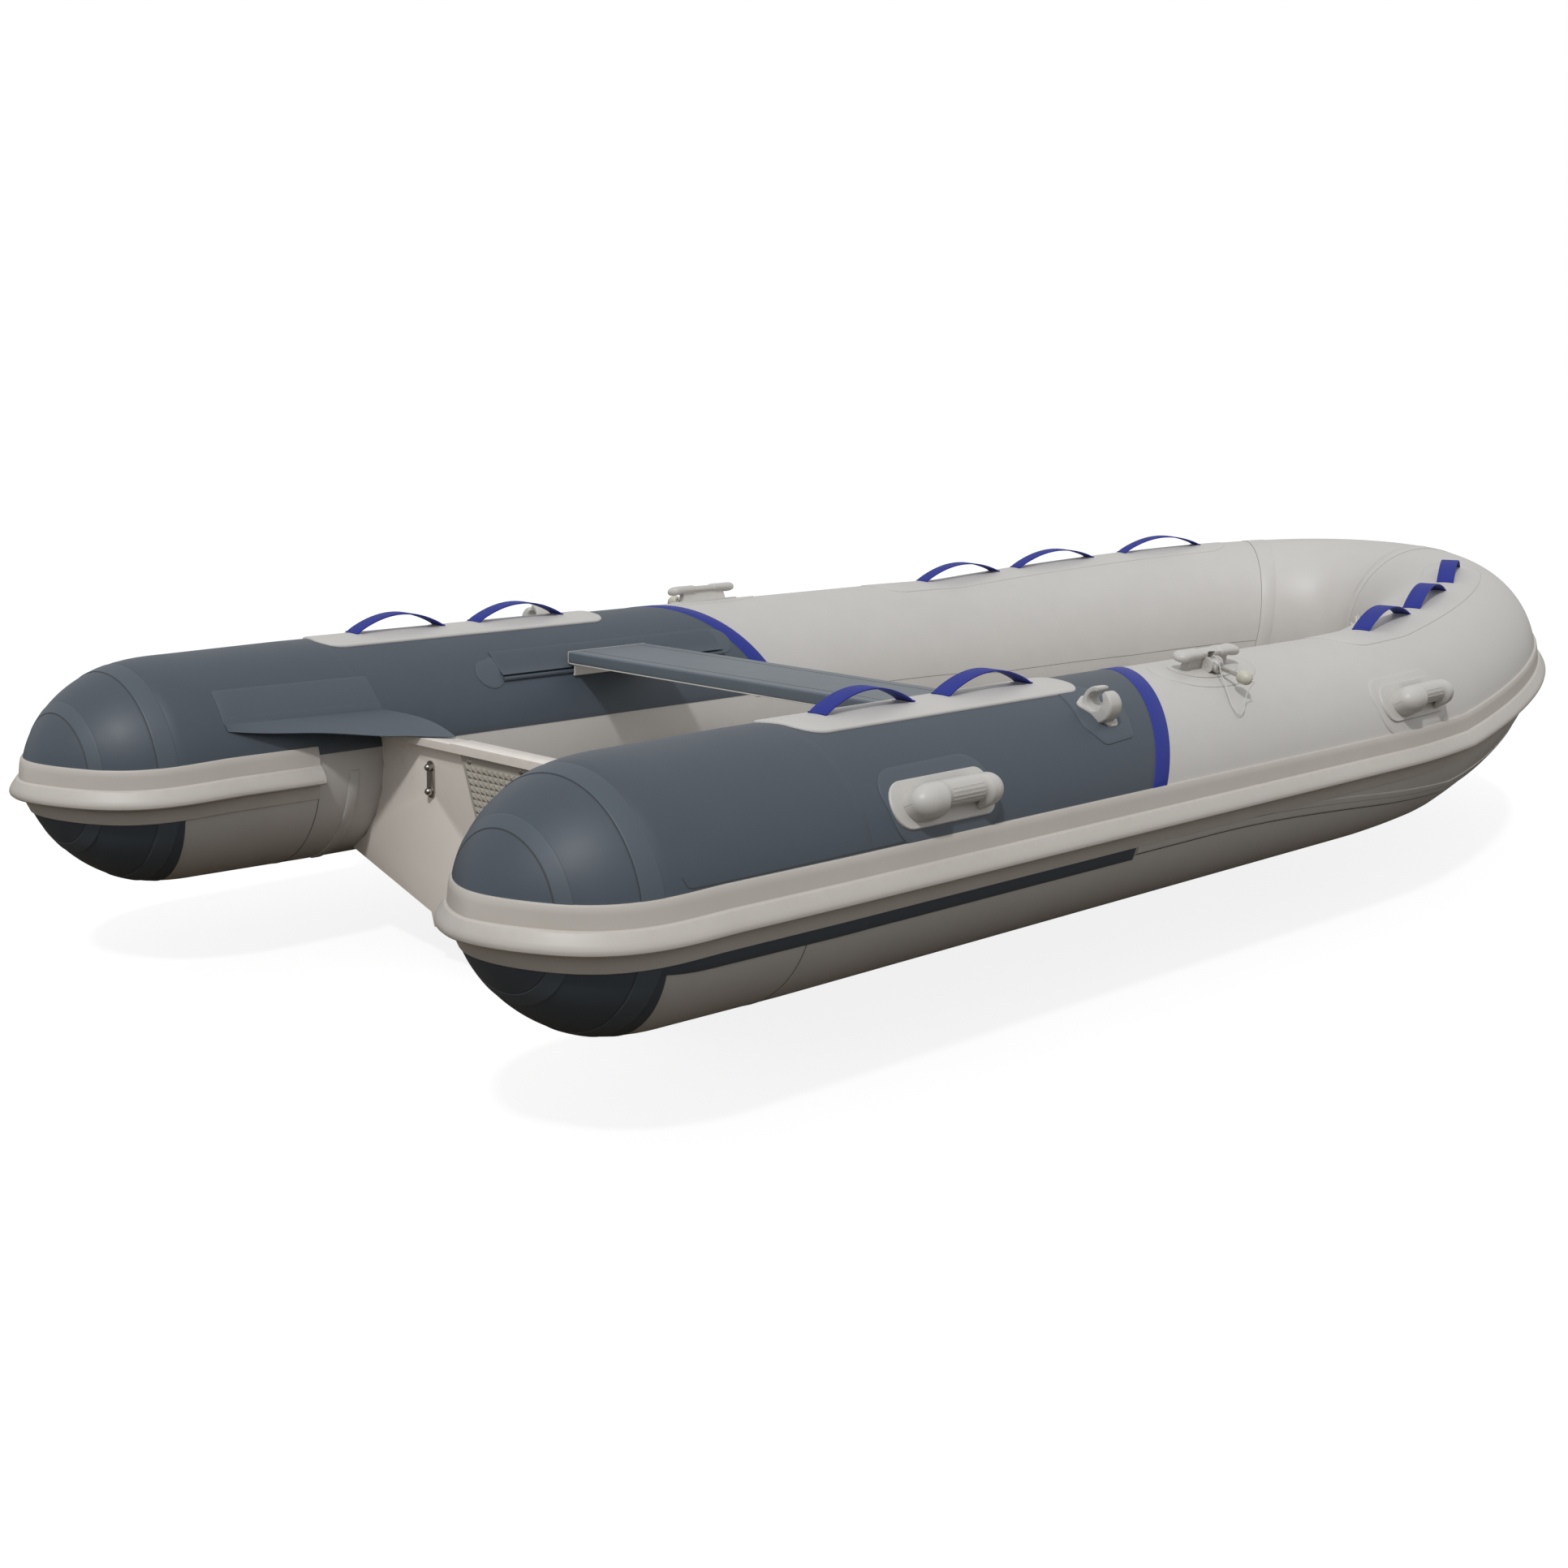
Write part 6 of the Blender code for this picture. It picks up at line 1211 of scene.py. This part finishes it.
# Seat
SEAT_AFT, SEAT_FORE, SEAT_LOW, SEAT_HIGH, SEAT_HALF = -0.536, -0.318, 0.140, 0.166, 0.4693
EDGE_NEAR, EDGE_ROUND, EDGE_SHRINK = np.array([0.0, 0.0004, 0.0014]), 0.0016, 0.0012
LINE_INSET, LINE_HALF = 0.030, 0.0012


def board(outline, across, depths=None):
    """A closed (x, z) outline carried over places across the boat, moved in by a depth at each."""
    depths = np.zeros(len(across)) if depths is None else depths
    levels = np.stack([inset(outline, depth) for depth in depths])
    y = np.broadcast_to(np.asarray(across)[:, None], levels.shape[:2])
    return tube_grid(np.stack([levels[..., 0], y, levels[..., 1]], axis=2))


def plank(aft, fore, low, high, half, radius):
    """Board with rounded long edges, its ends slightly rounded in."""
    middle = np.linspace(-half + 0.004, half - 0.004, 24)
    across = np.concatenate([EDGE_NEAR - half, middle, half - EDGE_NEAR[::-1]])
    share = np.clip((EDGE_ROUND - (half - np.abs(across))) / EDGE_ROUND, 0.0, 1.0)
    return board(rounded_box(aft, fore, low, high, radius), across, share**2 * EDGE_SHRINK)


def make_seat():
    """Painted plank with pale edging under it, a thin pale plate at each end and two fine lines."""
    shape = plank(SEAT_AFT, SEAT_FORE, SEAT_LOW + 0.0022, SEAT_HIGH, SEAT_HALF, 0.0042)
    single("seat_board", shape, SEAT_PAINT, "seat", ("seat_plank",))
    shape = plank(SEAT_AFT + 0.0006, SEAT_FORE - 0.0006, SEAT_LOW, SEAT_LOW + 0.0026, SEAT_HALF, 0.0010)
    single("seat_edging", shape, WHITE_PLASTIC, "seat")
    outline = rounded_box(SEAT_AFT, SEAT_FORE, SEAT_LOW, SEAT_HIGH + 0.0004, 0.004)
    plate = board(outline, (SEAT_HALF + 0.0002, SEAT_HALF + 0.0018))
    for name, sign in SIDES:
        single(f"seat_end_{name}", moved(plate, mirrored_by(sign)), WHITE_PLASTIC, "seat")
    low, high = SEAT_HIGH - 0.0010, SEAT_HIGH + 0.0002
    for name, x in (("aft", SEAT_AFT + LINE_INSET), ("fore", SEAT_FORE - LINE_INSET)):
        line = plank(x - LINE_HALF, x + LINE_HALF, low, high, SEAT_HALF - 0.004, 0.0003)
        single(f"seat_line_{name}", line, SEAM_DARK_AND_SHADOW, "seat")


# Grab handles: along X, outboard Y and out of the tube Z, from the plate's middle
GRAB_PLACES = (("aft", -0.870, 62.0, 0.0020), ("forward", 0.642, 61.0, 0.0008))
PLATE_HALF_LENGTH, PLATE_HALF_ANGLE = 0.122, 10.8
GRIP_HALF, GRIP_AXIS, GRIP_WALL = 0.106, 0.0215, 0.0040
AFT_DOME, FORE_DOME = 0.040, 0.030
GRIP_AHEAD, GRIP_ROUND = 0.010, 1.0
# The slim bar starts and ends at these places, each as (start, length)
WAIST_AFT, WAIST_FORE, WAIST_SHIFT = (-0.048, 0.018), (0.056, 0.010), 0.0062
AFT_RADIUS, FORE_RADIUS, BAR_RADIUS = 0.0290, 0.0275, 0.0225
LEG_LOW, FINGER_GAP = 0.0015, 0.0225


def grip_waist(x):
    """Share of the way from the full ends to the slim bar over the finger gap."""
    slimmer = eased(0.0, 1.0, (x - WAIST_AFT[0]) / WAIST_AFT[1])
    return slimmer * eased(1.0, 0.0, (x - WAIST_FORE[0]) / WAIST_FORE[1])


def grip_shift(x):
    """The bar lies nearer the grip's inboard side, so the fingers reach in from below."""
    return -WAIST_SHIFT * grip_waist(x)


def grip_radius(x):
    """Outer radius along the grip: a full dome aft, a slimmer middle and a lump ahead of it."""
    ends = np.where(x < 0.0, AFT_RADIUS, FORE_RADIUS)
    return ends + (BAR_RADIUS - ends) * grip_waist(x)


def grip_low(x):
    """Height of the grip's lower edge: down on the plate at both legs, raised over the finger gap."""
    return FINGER_GAP * grip_waist(x) - LEG_LOW


def grip_point(x, angle, radius):
    """Point over the grip at an angle from its top towards its outboard side."""
    across, height = radius * math.sin(angle), radius * math.cos(angle)
    return np.stack([x, grip_shift(x) + across, GRIP_AXIS + height], axis=-1)


def grip_section(x, radius):
    """Hoop over the plate: a half circle with straight sides down to the lower edge."""
    radius = np.maximum(radius, 1e-4)[:, None]
    turn = np.linspace(-math.pi / 2.0, math.pi / 2.0, 44)[None]
    drop = np.linspace(0.0, 1.0, 7)[None, :-1]
    low = np.minimum(grip_low(x), GRIP_AXIS - 0.0002)[:, None]
    leg = low + (GRIP_AXIS - low) * drop
    edge = np.broadcast_to(radius, leg.shape)
    y = np.concatenate([-edge, radius * np.sin(turn), edge], axis=1)
    z = np.concatenate([leg, GRIP_AXIS + radius * np.cos(turn), leg[:, ::-1]], axis=1)
    return np.stack([np.broadcast_to(x[:, None], y.shape), y + grip_shift(x)[:, None], z], axis=-1)


def grip_shape():
    """Hollow grip: its hoop carried along, closing in an ellipse over the last part of each end."""
    aft_end, fore_end = -GRIP_HALF + AFT_DOME, GRIP_HALF - FORE_DOME
    turn = np.linspace(0.02, math.pi / 2.0, 20)
    aft = -GRIP_HALF + AFT_DOME * (1.0 - np.cos(turn))
    fore = GRIP_HALF - FORE_DOME * (1.0 - np.cos(turn[::-1]))
    x = np.concatenate([aft, np.linspace(aft_end, fore_end, 74)[1:-1], fore])
    close = np.sqrt(np.maximum(1.0 - np.clip((aft_end - x) / AFT_DOME, 0.0, 1.0) ** 2, 0.0))
    close *= np.sqrt(np.maximum(1.0 - np.clip((x - fore_end) / FORE_DOME, 0.0, 1.0) ** 2, 0.0))
    radius = grip_radius(x) * close
    return shell(grip_section(x, radius), grip_section(x, np.maximum(radius - GRIP_WALL, 2e-4)))


def grip_dots(rows, columns, start, end, first, last):
    """Staggered rows of small round pips over the grip's outboard side."""
    pip = revolved([(0.0016, -0.0004), (0.0015, 0.0004), (0.0008, 0.0009)], 8)
    shapes = []
    for row, angle in enumerate(np.radians(np.linspace(first, last, rows))):
        stagger = 0.5 * (row % 2) * (end - start) / columns
        for x in np.linspace(start, end, columns) + stagger:
            sine, cosine = math.sin(angle), math.cos(angle)
            matrix = np.eye(4)
            matrix[:3, :3] = ((1.0, 0.0, 0.0), (0.0, cosine, sine), (0.0, -sine, cosine))
            matrix[:3, 3] = grip_point(x, angle, float(grip_radius(x)))
            shapes.append(moved(pip, matrix))
    return joined(*shapes)


def grip_ribs(start, end):
    """Thin raised lines along the grip's outboard side."""
    x = np.linspace(start, end, 12)
    shapes = []
    for angle in np.radians([0.0, 18.0, 36.0]):
        path = grip_point(x, angle, grip_radius(x) + 0.0001)
        shapes.append(swept(path, oval((0.0, 0.0), 0.0007, 8), (0.0, math.sin(angle), math.cos(angle))))
    return joined(*shapes)


def make_grab_handles():
    """Moulded handles: a dished base plate on the tube and a hollow domed grip with its grip marks."""
    width = float(metres_round(PLATE_HALF_ANGLE))
    plate_outline = rounded_box(
        -PLATE_HALF_LENGTH, PLATE_HALF_LENGTH, -width, width, [0.040, 0.024, 0.024, 0.040], 8
    )
    marks = {"aft": grip_dots(5, 16, -0.026, 0.048, -4.0, 62.0), "forward": grip_ribs(-0.024, 0.046)}
    for name, station, angle, base in GRAB_PLACES:
        outline = plate_outline + np.array([station, 0.0])
        plate = patch(outline, base, 0.0046, rim=0.0022, step=0.005, rings=10, angle=angle, dish=0.0014)
        here = on_collar(station + GRIP_AHEAD, angle + GRIP_ROUND, base)
        parts = (
            ("plate", plate, ()),
            ("grip", moved(grip_shape(), here), (f"grab_handle_{name}_{{}}",)),
            ("marks", moved(marks[name], here), ()),
        )
        for part, shape, nodes in parts:
            pair(f"grab_{part}_{name}", shape, WHITE_PLASTIC, nodes)


# Moulded and metal fittings keep the solids' own shape with rounded edges
SLOT_OF = {entry["node"]: entry["material_slot"] for entry in frame["record"]["subparts"]}
BODY_OF = {node: body for body, nodes in frame["record"]["behaviour"]["bodies"].items() for node in nodes}
EVERY_SIDE = ("port", "starboard")
ROUNDED = (
    ("rowlock_body_{}", EVERY_SIDE, WHITE_PLASTIC, 0.0014, 3),
    ("rowlock_barrel_{}", EVERY_SIDE, WHITE_PLASTIC, 0.0010, 2),
    ("rowlock_knob_{}", EVERY_SIDE, KNOB_PLASTIC, 0.0012, 2),
    ("seat_hook_{}", EVERY_SIDE, WHITE_PLASTIC, 0.0004, 1),
    ("towing_eye_{}", EVERY_SIDE, STEEL, 0.0006, 2),
    ("valve_body_{}", (*EVERY_SIDE, "bow"), WHITE_PLASTIC, 0.0004, 1),
    ("valve_cap_{}", EVERY_SIDE, VALVE_PLASTIC, 0.0006, 2),
    ("valve_cap_{}", ("bow",), WHITE_PLASTIC, 0.0006, 2),
    ("transom", ("",), GELCOAT, 0.0024, 3),
    ("drain_socket", ("",), WHITE_PLASTIC, 0.0006, 2),
    ("drain_plug", ("",), WHITE_PLASTIC, 0.0008, 2),
    ("motor_pad_inner", ("",), PAD_PLASTIC, 0.0010, 2),
)
SAME_POINT, FLAT_ANGLE, EDGE_ANGLE = 1e-6, math.radians(0.4), math.radians(32.0)


def softened(node, material, width, segments):
    """A solid's surface with its points merged, its flat faces joined and its edges rounded by a bevel."""
    mesh = frame["nodes"][node].data.copy()
    work = bmesh.new()
    work.from_mesh(mesh)
    bmesh.ops.remove_doubles(work, verts=work.verts[:], dist=SAME_POINT)
    bmesh.ops.dissolve_limit(work, angle_limit=FLAT_ANGLE, verts=work.verts[:], edges=work.edges[:])
    work.to_mesh(mesh)
    work.free()
    mesh.name = f"{node}_rounded"
    mesh.materials.clear()
    mesh.shade_smooth()
    made = place(mesh.name, mesh, material, BODY_OF[node], (node,))
    bevel = made.modifiers.new("edges", "BEVEL")
    bevel.width = width
    bevel.segments = segments
    bevel.limit_method = "ANGLE"
    bevel.angle_limit = EDGE_ANGLE
    bevel.harden_normals = True


def make_fittings():
    """Rowlocks, hooks, eyes, transom, drain, valves and the inner motor pad."""
    for stem, sides, material, width, segments in ROUNDED:
        for side in sides:
            softened(stem.format(side), material, width, segments)


# Oar clips
CLIP_STATION, CLIP_ANGLE, CLIP_SCALE = -0.368, 33.0, 1.1
CLIP_BORE, CLIP_CENTRE = 0.0140, 0.0190
CLIP_TIP, CLIP_HORN = 106.0, 442.4
# Wall and half width of the ring's bar at angles in degrees from the finger's tip to the horn
CLIP_WALL = (
    (106.0, 0.0088), (130.0, 0.0090), (180.0, 0.0085), (225.0, 0.0095), (262.0, 0.0120),
    (300.0, 0.0235), (345.0, 0.0240), (385.0, 0.0195), (415.0, 0.0140), (442.0, 0.0085),
)
CLIP_HALF = (
    (106.0, 0.0145), (150.0, 0.0165), (235.0, 0.0195), (300.0, 0.0205),
    (360.0, 0.0195), (415.0, 0.0160), (442.0, 0.0130),
)


def clip_ring():
    """Open ring round the oar: a rounded bar bent round the bore, thin at the finger, swelling to the horn.

    Angles run from the finger's tip over the top, down the inboard side, under the bore and up to the horn.
    """
    tip, horn = CLIP_TIP + np.array([0.0, 0.6, 2.5, 6.0]), CLIP_HORN - np.array([7.4, 3.4, 0.8, 0.0])
    degrees = np.concatenate([tip, np.linspace(118.0, 430.0, 92), horn])
    wall, half = (np.interp(degrees, *np.transpose(rows))[:, None] for rows in (CLIP_WALL, CLIP_HALF))
    ends = np.minimum(degrees - CLIP_TIP, CLIP_HORN - degrees) + 0.1
    close = np.sqrt(np.clip(1.0 - (1.0 - np.clip(ends / 9.0, 0.0, 1.0)) ** 2, 0.004, 1.0))[:, None]
    bar = rounded_box(-1.0, 1.0, -1.0, 1.0, [0.35, 0.75, 0.75, 0.35])
    across = bar[None, :, 0] * half * (0.55 + 0.45 * close)
    out = CLIP_BORE + wall / 2.0 + bar[None, :, 1] * wall / 2.0 * close
    turn = np.radians(degrees)[:, None]
    return tube_grid(np.stack([across, out * np.cos(turn), CLIP_CENTRE + out * np.sin(turn)], axis=-1))


def clip_web():
    """Oval stem under the ring that narrows as it rises."""
    outline = oval((0.0, 0.0), (0.021, 0.030), 48)[None] * np.linspace(1.0, 0.80, 8)[:, None, None]
    z = np.broadcast_to(np.linspace(-0.003, 0.006, 8)[:, None], outline.shape[:2])
    return tube_grid(np.stack([outline[..., 0], 0.004 + outline[..., 1], z], axis=-1))


def make_oar_clips():
    """Oar clips: a kite-shaped base on the tube, the open ring and the web that joins them."""
    corners = [(-0.044, -0.020), (0.006, -0.044), (0.040, 0.004), (0.022, 0.050), (-0.006, 0.048)]
    outline = rounded_corners(corners, [0.012, 0.018, 0.020, 0.014, 0.014], 8) * 0.92
    outline += np.array([CLIP_STATION + 0.002, 0.0])
    base = patch(outline, 0.0024, 0.0044, rim=0.0026, step=0.004, rings=10, angle=CLIP_ANGLE)
    pair("oar_clip_base", base, WHITE_PLASTIC, ("oar_clip_{}",))
    here = on_collar(CLIP_STATION, CLIP_ANGLE, 0.0030) @ np.diag([CLIP_SCALE, CLIP_SCALE, CLIP_SCALE, 1.0])
    for name, shape in (("ring", clip_ring()), ("web", clip_web())):
        pair(f"oar_clip_{name}", moved(shape, here), WHITE_PLASTIC)


# Rowlock cleat horns and pad screws
HORN_START, HORN_END, HORN_HEIGHT = 0.0275, 0.1005, 0.0308
HORN_OVAL, HORN_DROOP, HORN_THIN = (0.0158, 0.0092), 0.0025, 0.0006
HORN_SWELL, HORN_SWELL_AT, HORN_SWELL_REACH = 0.10, 0.082, 0.012
# Where the horn closes in an ellipse at its tip and at its root, each as (place, length)
HORN_TIP, HORN_ROOT = (0.0865, 0.014), (0.0335, 0.006)


def make_cleat_horns():
    """Rounded horns of each rowlock cleat: oval sections, swollen near the end, with room for the barrel."""
    share = (1.0 - np.cos(np.linspace(0.0, math.pi, 44))) / 2.0
    x = (HORN_START + (HORN_END - HORN_START) * share)[:, None]
    past_tip, past_root = (x - HORN_TIP[0]) / HORN_TIP[1], (HORN_ROOT[0] - x) / HORN_ROOT[1]
    close = np.sqrt(np.clip(1.0 - np.clip(past_tip, 0.0, 1.0) ** 2, HORN_THIN, 1.0))
    close *= np.sqrt(np.clip(1.0 - np.clip(past_root, 0.0, 1.0) ** 2, HORN_THIN, 1.0))
    swell = close * (1.0 + HORN_SWELL * np.exp(-(((x - HORN_SWELL_AT) / HORN_SWELL_REACH) ** 2)))
    section = oval((0.0, 0.0), HORN_OVAL, 28, 0.8)
    height = HORN_HEIGHT - HORN_DROOP * (x / HORN_END) ** 4 + section[None, :, 1] * swell
    wide = section[None, :, 0] * swell
    fore = tube_grid(np.stack([np.broadcast_to(x, wide.shape), wide, height], axis=-1))
    both = joined(fore, moved(fore, np.diag([-1.0, 1.0, 1.0, 1.0])))
    here = on_collar(CLEAT_STATION, CLEAT_ANGLE, 0.0004)
    pair("rowlock_horns", moved(both, here), WHITE_PLASTIC)


SCREW_HEAD = (
    (0.0058, -0.0006),
    (0.0058, 0.0002),
    (0.0050, 0.0012),
    (0.0020, 0.0014),
    (0.0018, 0.0006),
    (0.0004, 0.0006),
)
SCREW_PLACES = ((-1.0452, 0.150, 0.040), (-1.0452, -0.150, 0.040), (-1.0452, 0.0, 0.043))


def make_pad_screws():
    """Countersunk screws along the outer pad's upper edge, their heads facing aft."""
    turn = np.eye(4)
    turn[:3, :3] = ((0.0, 0.0, -1.0), (1.0, 0.0, 0.0), (0.0, 1.0, 0.0))
    for number, here in enumerate(SCREW_PLACES, 1):
        turn[:3, 3] = here
        single(f"pad_screw_{number}", moved(revolved(SCREW_HEAD, 24), turn), STEEL)


make_tubes()
make_tail_cones()
make_panels()
make_handle_patches()
make_strake()
make_straps()
make_seams()
make_bow_tapes()
make_reinforcing()
make_transom_flaps()
make_seat_flaps()
make_seat()
make_grab_handles()
make_fittings()
make_pad_screws()
make_oar_clips()
make_cleat_horns()

# Carried-over solids take the finish of their slot
FINISH = {
    "light_pvc": LIGHT_PVC,
    "dark_pvc": DARK_PVC,
    "blue_pvc": BLUE_PVC,
    "webbing": STRAP_WEBBING,
    "light_rubber": STRAKE_LOWER,
    "gelcoat": GELCOAT,
    "pad_plastic": PAD_PLASTIC,
    "white_plastic": WHITE_PLASTIC,
    "knob_plastic": KNOB_PLASTIC,
    "valve_plastic": VALVE_PLASTIC,
    "seat_paint": SEAT_PAINT,
    "cord_white": CORD_BRAID,
    "steel": STEEL,
}
for node, solid in frame["nodes"].items():
    solid.data.materials.clear()
    solid.data.materials.append(DECK_GRIP if node == "deck_liner" else FINISH[SLOT_OF[node]])


# Studio
FLOOR_HALF, FLOOR_DROP = 60.0, 0.001
FLOOR_COLOUR, FLOOR_GLOW, GROUND_COLOUR = (0.2, 0.2, 0.2), 0.86, (0.085, 0.066, 0.046)
SKY_STRENGTH, SUN_STRENGTH, SUN_ANGLE, SUN_AIM = 0.63, 1.4, math.radians(4.0), (0.65, 0.45, -1.0)


def seen_directly(tree):
    """1 for rays from the camera or through glass, 0 for rays that light the boat."""
    path = tree.nodes.new("ShaderNodeLightPath").outputs
    return math_node(tree, "MAXIMUM", path["Is Camera Ray"], path["Is Transmission Ray"])


def join_shaders(tree, kind, *sockets):
    """A Mix or Add Shader node with its inputs linked in order."""
    made = tree.nodes.new(kind)
    for index, socket in enumerate(sockets):
        tree.links.new(socket, made.inputs[index])
    return made.outputs[0]


def floor_material():
    """Pale floor that keeps the shadow; rays that light the boat from below meet a warmer, darker ground."""
    material = bpy.data.materials.new("studio_floor")
    material.use_nodes = True
    tree = material.node_tree
    tree.nodes.remove(tree.nodes["Principled BSDF"])
    pale, ground = (tree.nodes.new("ShaderNodeBsdfDiffuse") for _ in range(2))
    feed(tree, pale.inputs["Color"], FLOOR_COLOUR)
    feed(tree, ground.inputs["Color"], GROUND_COLOUR)
    glow = tree.nodes.new("ShaderNodeEmission")
    glow.inputs["Strength"].default_value = FLOOR_GLOW
    both = join_shaders(tree, "ShaderNodeAddShader", pale.outputs[0], glow.outputs[0])
    pick = join_shaders(tree, "ShaderNodeMixShader", seen_directly(tree), ground.outputs[0], both)
    tree.links.new(pick, tree.nodes["Material Output"].inputs["Surface"])
    return material


def make_floor():
    """One wide square just under the boat."""
    ways = ((-1.0, -1.0), (1.0, -1.0), (1.0, 1.0), (-1.0, 1.0))
    corners = [(x * FLOOR_HALF, y * FLOOR_HALF, -FLOOR_DROP) for x, y in ways]
    mesh = bpy.data.meshes.new("studio_floor")
    mesh.from_pydata(corners, [], [(0, 1, 2, 3)])
    mesh.materials.append(floor_material())
    floor = bpy.data.objects.new("studio_floor", mesh)
    bpy.context.scene.collection.objects.link(floor)


def make_light():
    """Even sky light and one key from high on the starboard quarter; the sky shows at a strength of 1."""
    world = bpy.data.worlds.new("studio")
    bpy.context.scene.world = world
    world.use_nodes = True
    tree = world.node_tree
    background = tree.nodes["Background"]
    feed(tree, background.inputs["Color"], (1.0, 1.0, 1.0))
    strength = math_node(tree, "MULTIPLY_ADD", seen_directly(tree), 1.0 - SKY_STRENGTH, SKY_STRENGTH)
    tree.links.new(strength, background.inputs["Strength"])
    sun = bpy.data.lights.new("key", "SUN")
    sun.energy = SUN_STRENGTH
    sun.angle = SUN_ANGLE
    key = bpy.data.objects.new("key", sun)
    key.rotation_euler = Vector(SUN_AIM).normalized().to_track_quat("-Z", "Y").to_euler()
    bpy.context.scene.collection.objects.link(key)


make_floor()
make_light()
bpy.context.scene.view_settings.view_transform = "Standard"
